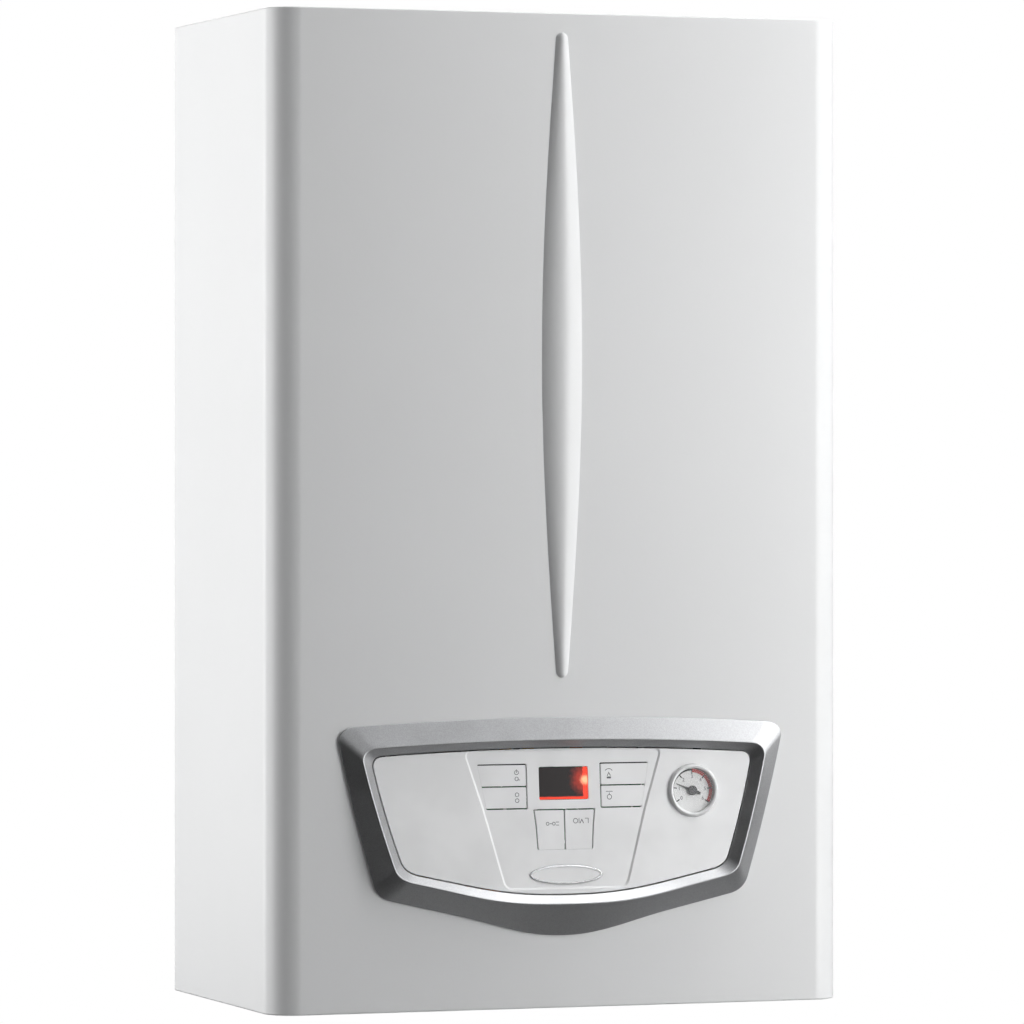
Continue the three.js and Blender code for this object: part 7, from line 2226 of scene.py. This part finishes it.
    def pipes(self) -> None:
        """Copper pipes with round bends, and the nuts at their ends."""
        y, tube_z = PIPE_Y, 494.7
        header = 113.3
        for name, x, start, node in (
            ("flow", -158.0, self.high_port, "flow_pipe"), ("return", 150.0, self.pump_z + 58.0, "return_pipe")
        ):
            side = 1 if x > 0 else -1
            line = (
                (x, y, start + SEAT), (x, y, 266.0), (x, -150.0, 266.0), (x, -150.0, tube_z),
                (side * header, -150.0, tube_z)
            )
            self.shop.piece(f"{name}_line", COPPER, [Tube(line, 9.0, 18.0, 10)], replaces=(node,), angle=50.0)
            nut = Rod(Axis.Z, (x, y), (start + 0.6, start + 14.6), 15.5, bore=9.1, edge=0.9, sides=6)
            self.shop.piece(f"{name}_line_nut", BRASS, [nut])
        gas = ((20.0, y, 212.3), (20.0, y, 242.0), (20.0, -203.0, 242.0), (20.0, -203.0, 312.5))
        self.shop.piece("gas_line", COPPER, [Tube(gas, 6.0, 16.0, 8)], replaces=("gas_feed_pipe",), angle=50.0)
        self.shop.piece(
            "gas_line_nut", BRASS, [Rod(Axis.Z, (20.0, y), (212.6, 223.0), 12.5, bore=6.1, edge=0.8, sides=6)]
        )
        x = VESSEL_PORT_X
        vessel = (
            (x, VESSEL_Y, VESSEL_EDGE - 12 - SEAT), (x, VESSEL_Y, 276.0), (x, y, 246.0), (x, y, self.high_port + SEAT)
        )
        self.shop.piece("vessel_line", COPPER, [Tube(vessel, 5.0, 24.0, 8)], replaces=("vessel_pipe",), angle=50.0)
        self.shop.soften("gauge_capillary", COPPER, 0.0, 70.0)

    def cables(self) -> None:
        """Cables from the control box to the pump, the diverter and the gas coil."""
        routes = (
            (
                "pump_cable", BLACK_PLASTIC, 3.0,
                ((118, -207, 178), (118, -207, 232), (150, -150, 244), (150, -140, 219))
            ),
            (
                "diverter_cable", GREY_PLASTIC, 2.4,
                ((-118, -207, 178), (-118, -207, 222), (-112, -165, 222), (-112, -142, 186), (-112, -121, 186))
            ),
            (
                "coil_cable", BLACK_PLASTIC, 2.4,
                ((-23, -207, 178), (-23, -207, 246), (-23, -160, 240), (-23, -150, 222), (-23, -136, 222))
            ),
        )
        for name, finish, radius, line in routes:
            self.shop.piece(name, finish, [Tube(line, radius, 9.0, 8)], angle=50.0)

    def build(self) -> None:
        """Makes the hydraulic set."""
        p = PORT_PITCH
        for node, x, top, radius in (
            ("heating_flow_tail", -2 * p, self.low_port, 9.0), ("hot_water_tail", -p, self.low_port, 7.0),
            ("gas_tail", 0.0, 150.0, 8.0), ("cold_water_tail", p, self.low_port, 7.0),
            ("heating_return_tail", 2 * p, self.low_port, 9.0)
        ):
            self.tail(node, x, top, radius)
        self.flow_group()
        self.return_group()
        self.plates()
        self.pump()
        self.vent()
        self.diverter()
        self.safety()
        self.filling()
        self.gas()
        self.pipes()
        self.cables()


# ------------------------------------------------------------------ studio
LAMPS: tuple[tuple[str, Point3, Point3, Point2, float], ...] = (
    ("near light", (0.75, -0.85, 0.1), (0.1, -0.24, 0.0), (0.35, 1.9), 6.5),
    ("front light", (1.8, -3.6, 0.4), (0.0, -0.24, 0.0), (1.2, 2.2), 13.9),
    ("left light", (-2.0, 0.3, 0.3), (-0.22, -0.12, 0.0), (1.2, 1.8), 26.0),
    ("left front light", (-2.4, -0.6, 0.2), (-0.22, -0.12, 0.0), (0.8, 1.8), 3.1),
    ("left back light", (-1.4, 1.6, 0.3), (-0.22, -0.12, 0.0), (1.2, 1.8), 21.5),
    ("right light", (2.0, -0.5, 0.2), (0.22, -0.2, 0.0), (1.0, 1.8), 4.0),
    ("high light", (0.9, -0.5, 2.2), (0.0, -0.2, 0.1), (1.4, 1.0), 22.0),
    ("key light", (1.05, -1.15, 0.1), (0.1, -0.24, 0.0), (0.5, 1.9), 7.5),
    ("far light", (-0.6, -4.2, 1.6), (0.0, -0.24, 0.0), (1.6, 1.6), 8.0),
    ("floor light", (0.8, -0.2, -2.6), (0.0, -0.24, -0.2), (2.2, 2.2), 3.0),
    ("back light", (0.7, 2.4, 0.8), (0.0, 0.0, 0.0), (1.6, 1.6), 18.0),
    ("low light", (0.5, 0.9, -1.3), (0.0, -0.1, -0.36), (1.2, 0.8), 9.0),
)


@dataclass
class Studio:
    """Floor, lights, surroundings and camera."""

    distance: float = 4497.0
    corner_shift: float = -170.6
    yaw: float = 19.93
    eye_height: float = 393.2
    focal_px: float = 6316.0
    horizon_px: float = 464.6
    frame_px: float = 1024.0

    def build_camera(self) -> None:
        """Camera at the photograph's place."""
        turn = math.radians(self.yaw)
        right, ahead = Vector((math.cos(turn), -math.sin(turn))), Vector((math.sin(turn), math.cos(turn)))
        corner = Vector((-CASING_WIDTH / 2, -CASING_DEPTH))
        eye = corner - right * self.corner_shift - ahead * self.distance
        data = bpy.data.cameras.new("camera")
        data.sensor_width = 36.0
        data.lens = 36.0 * self.focal_px / self.frame_px
        data.shift_y = -(self.frame_px / 2 - self.horizon_px) / self.frame_px
        data.clip_end = 100.0
        camera = bpy.data.objects.new("camera", data)
        camera.location = at(eye.x, eye.y, self.eye_height)
        camera.rotation_euler = (math.pi / 2, 0.0, -turn)
        bpy.context.scene.collection.objects.link(camera)
        bpy.context.scene.camera = camera

    @staticmethod
    def softbox(name: str, place: Point3, target: Point3, size: Point2, power: float) -> None:
        """One rectangular lamp, in metres and watts."""
        data = bpy.data.lights.new(name, "AREA")
        data.shape = "RECTANGLE"
        data.size, data.size_y = size
        data.energy = power
        lamp = bpy.data.objects.new(name, data)
        lamp.visible_camera = False
        lamp.location = place
        lamp.rotation_euler = (Vector(target) - Vector(place)).to_track_quat("-Z", "Y").to_euler()
        bpy.context.scene.collection.objects.link(lamp)

    def build_lights(self) -> None:
        """Places the lamps that were fitted to the photograph."""
        for name, place, target, size, power in LAMPS:
            self.softbox(name, place, target, size, power)

    @staticmethod
    def build_world() -> None:
        """White for the camera, a dim studio for everything else."""
        world = bpy.data.worlds.new("studio")
        bpy.context.scene.world = world
        world.use_nodes = True
        tree = world.node_tree
        tree.nodes.clear()
        output = tree.nodes.new("ShaderNodeOutputWorld")
        path = tree.nodes.new("ShaderNodeLightPath")
        seen = tree.nodes.new("ShaderNodeMath")
        seen.operation = "MAXIMUM"
        tree.links.new(path.outputs["Is Camera Ray"], seen.inputs[0])
        tree.links.new(path.outputs["Is Transmission Ray"], seen.inputs[1])
        coords = tree.nodes.new("ShaderNodeTexCoord")
        ramp = tree.nodes.new("ShaderNodeValToRGB")
        dot = tree.nodes.new("ShaderNodeVectorMath")
        dot.operation = "DOT_PRODUCT"
        dot.inputs[1].default_value = (0.45, 0.1, 0.89)
        tree.links.new(coords.outputs["Generated"], dot.inputs[0])
        tree.links.new(dot.outputs["Value"], ramp.inputs[0])
        ramp.color_ramp.elements[0].position = 0.2
        ramp.color_ramp.elements[0].color = (0.045, 0.045, 0.046, 1.0)
        ramp.color_ramp.elements[1].position = 1.0
        ramp.color_ramp.elements[1].color = (1.25, 1.26, 1.28, 1.0)
        glossy = tree.nodes.new("ShaderNodeMix")
        glossy.data_type = "RGBA"
        glossy.inputs[6].default_value = (0.05, 0.05, 0.0515, 1.0)
        tree.links.new(path.outputs["Is Glossy Ray"], glossy.inputs[0])
        tree.links.new(ramp.outputs[0], glossy.inputs[7])
        mix = tree.nodes.new("ShaderNodeMix")
        mix.data_type = "RGBA"
        mix.inputs[7].default_value = (1.0, 1.0, 1.0, 1.0)
        tree.links.new(seen.outputs[0], mix.inputs[0])
        tree.links.new(glossy.outputs[2], mix.inputs[6])
        background = tree.nodes.new("ShaderNodeBackground")
        tree.links.new(mix.outputs[2], background.inputs[0])
        tree.links.new(background.outputs[0], output.inputs[0])

    @staticmethod
    def build_floor() -> None:
        """Pale floor far below the hanging boiler, white to the camera."""
        Bench.clear()
        bpy.ops.mesh.primitive_plane_add(size=60.0, location=(0.0, 0.0, -6.5))
        floor = bpy.context.object
        floor.name = "floor"
        graph = Graph("pale floor")
        graph.drive(
            Base_Color=graph.blend(graph.noise(400.0).ramp(0.3, 0.7), (0.78, 0.78, 0.78), (0.82, 0.82, 0.82)),
            Roughness=0.9
        )
        path = graph.node("ShaderNodeLightPath", {}, {}, "Is Camera Ray")
        bright = graph.node("ShaderNodeEmission", {}, {"Color": (1.0, 1.0, 1.0, 1.0), "Strength": 1.0})
        surface = Wire(graph, graph.shader.outputs[0])
        mixed = graph.node("ShaderNodeMixShader", {}, {0: path, 1: surface, 2: bright})
        output = next(n for n in graph.tree.nodes if n.type == "OUTPUT_MATERIAL")
        graph.tree.links.new(mixed.socket, output.inputs[0])
        floor.data.materials.append(graph.material)

    def build(self) -> None:
        """Sets up the studio."""
        bpy.context.scene.view_settings.view_transform = "Standard"
        self.build_camera()
        self.build_world()
        self.build_lights()
        self.build_floor()


def main() -> None:
    """Builds the scene."""
    logging.basicConfig(level=logging.INFO, format="%(message)s")
    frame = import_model()
    shop = Workshop(frame)
    Studio().build()
    for part in (Cover(shop), ControlPanel(shop), BackFrame(shop), Chamber(shop), Combustion(shop), Hydraulics(shop)):
        part.build()
        LOG.info("%s done", type(part).__name__)
    LOG.info("%d pieces", shop.made)


if __name__ == "__main__":
    main()
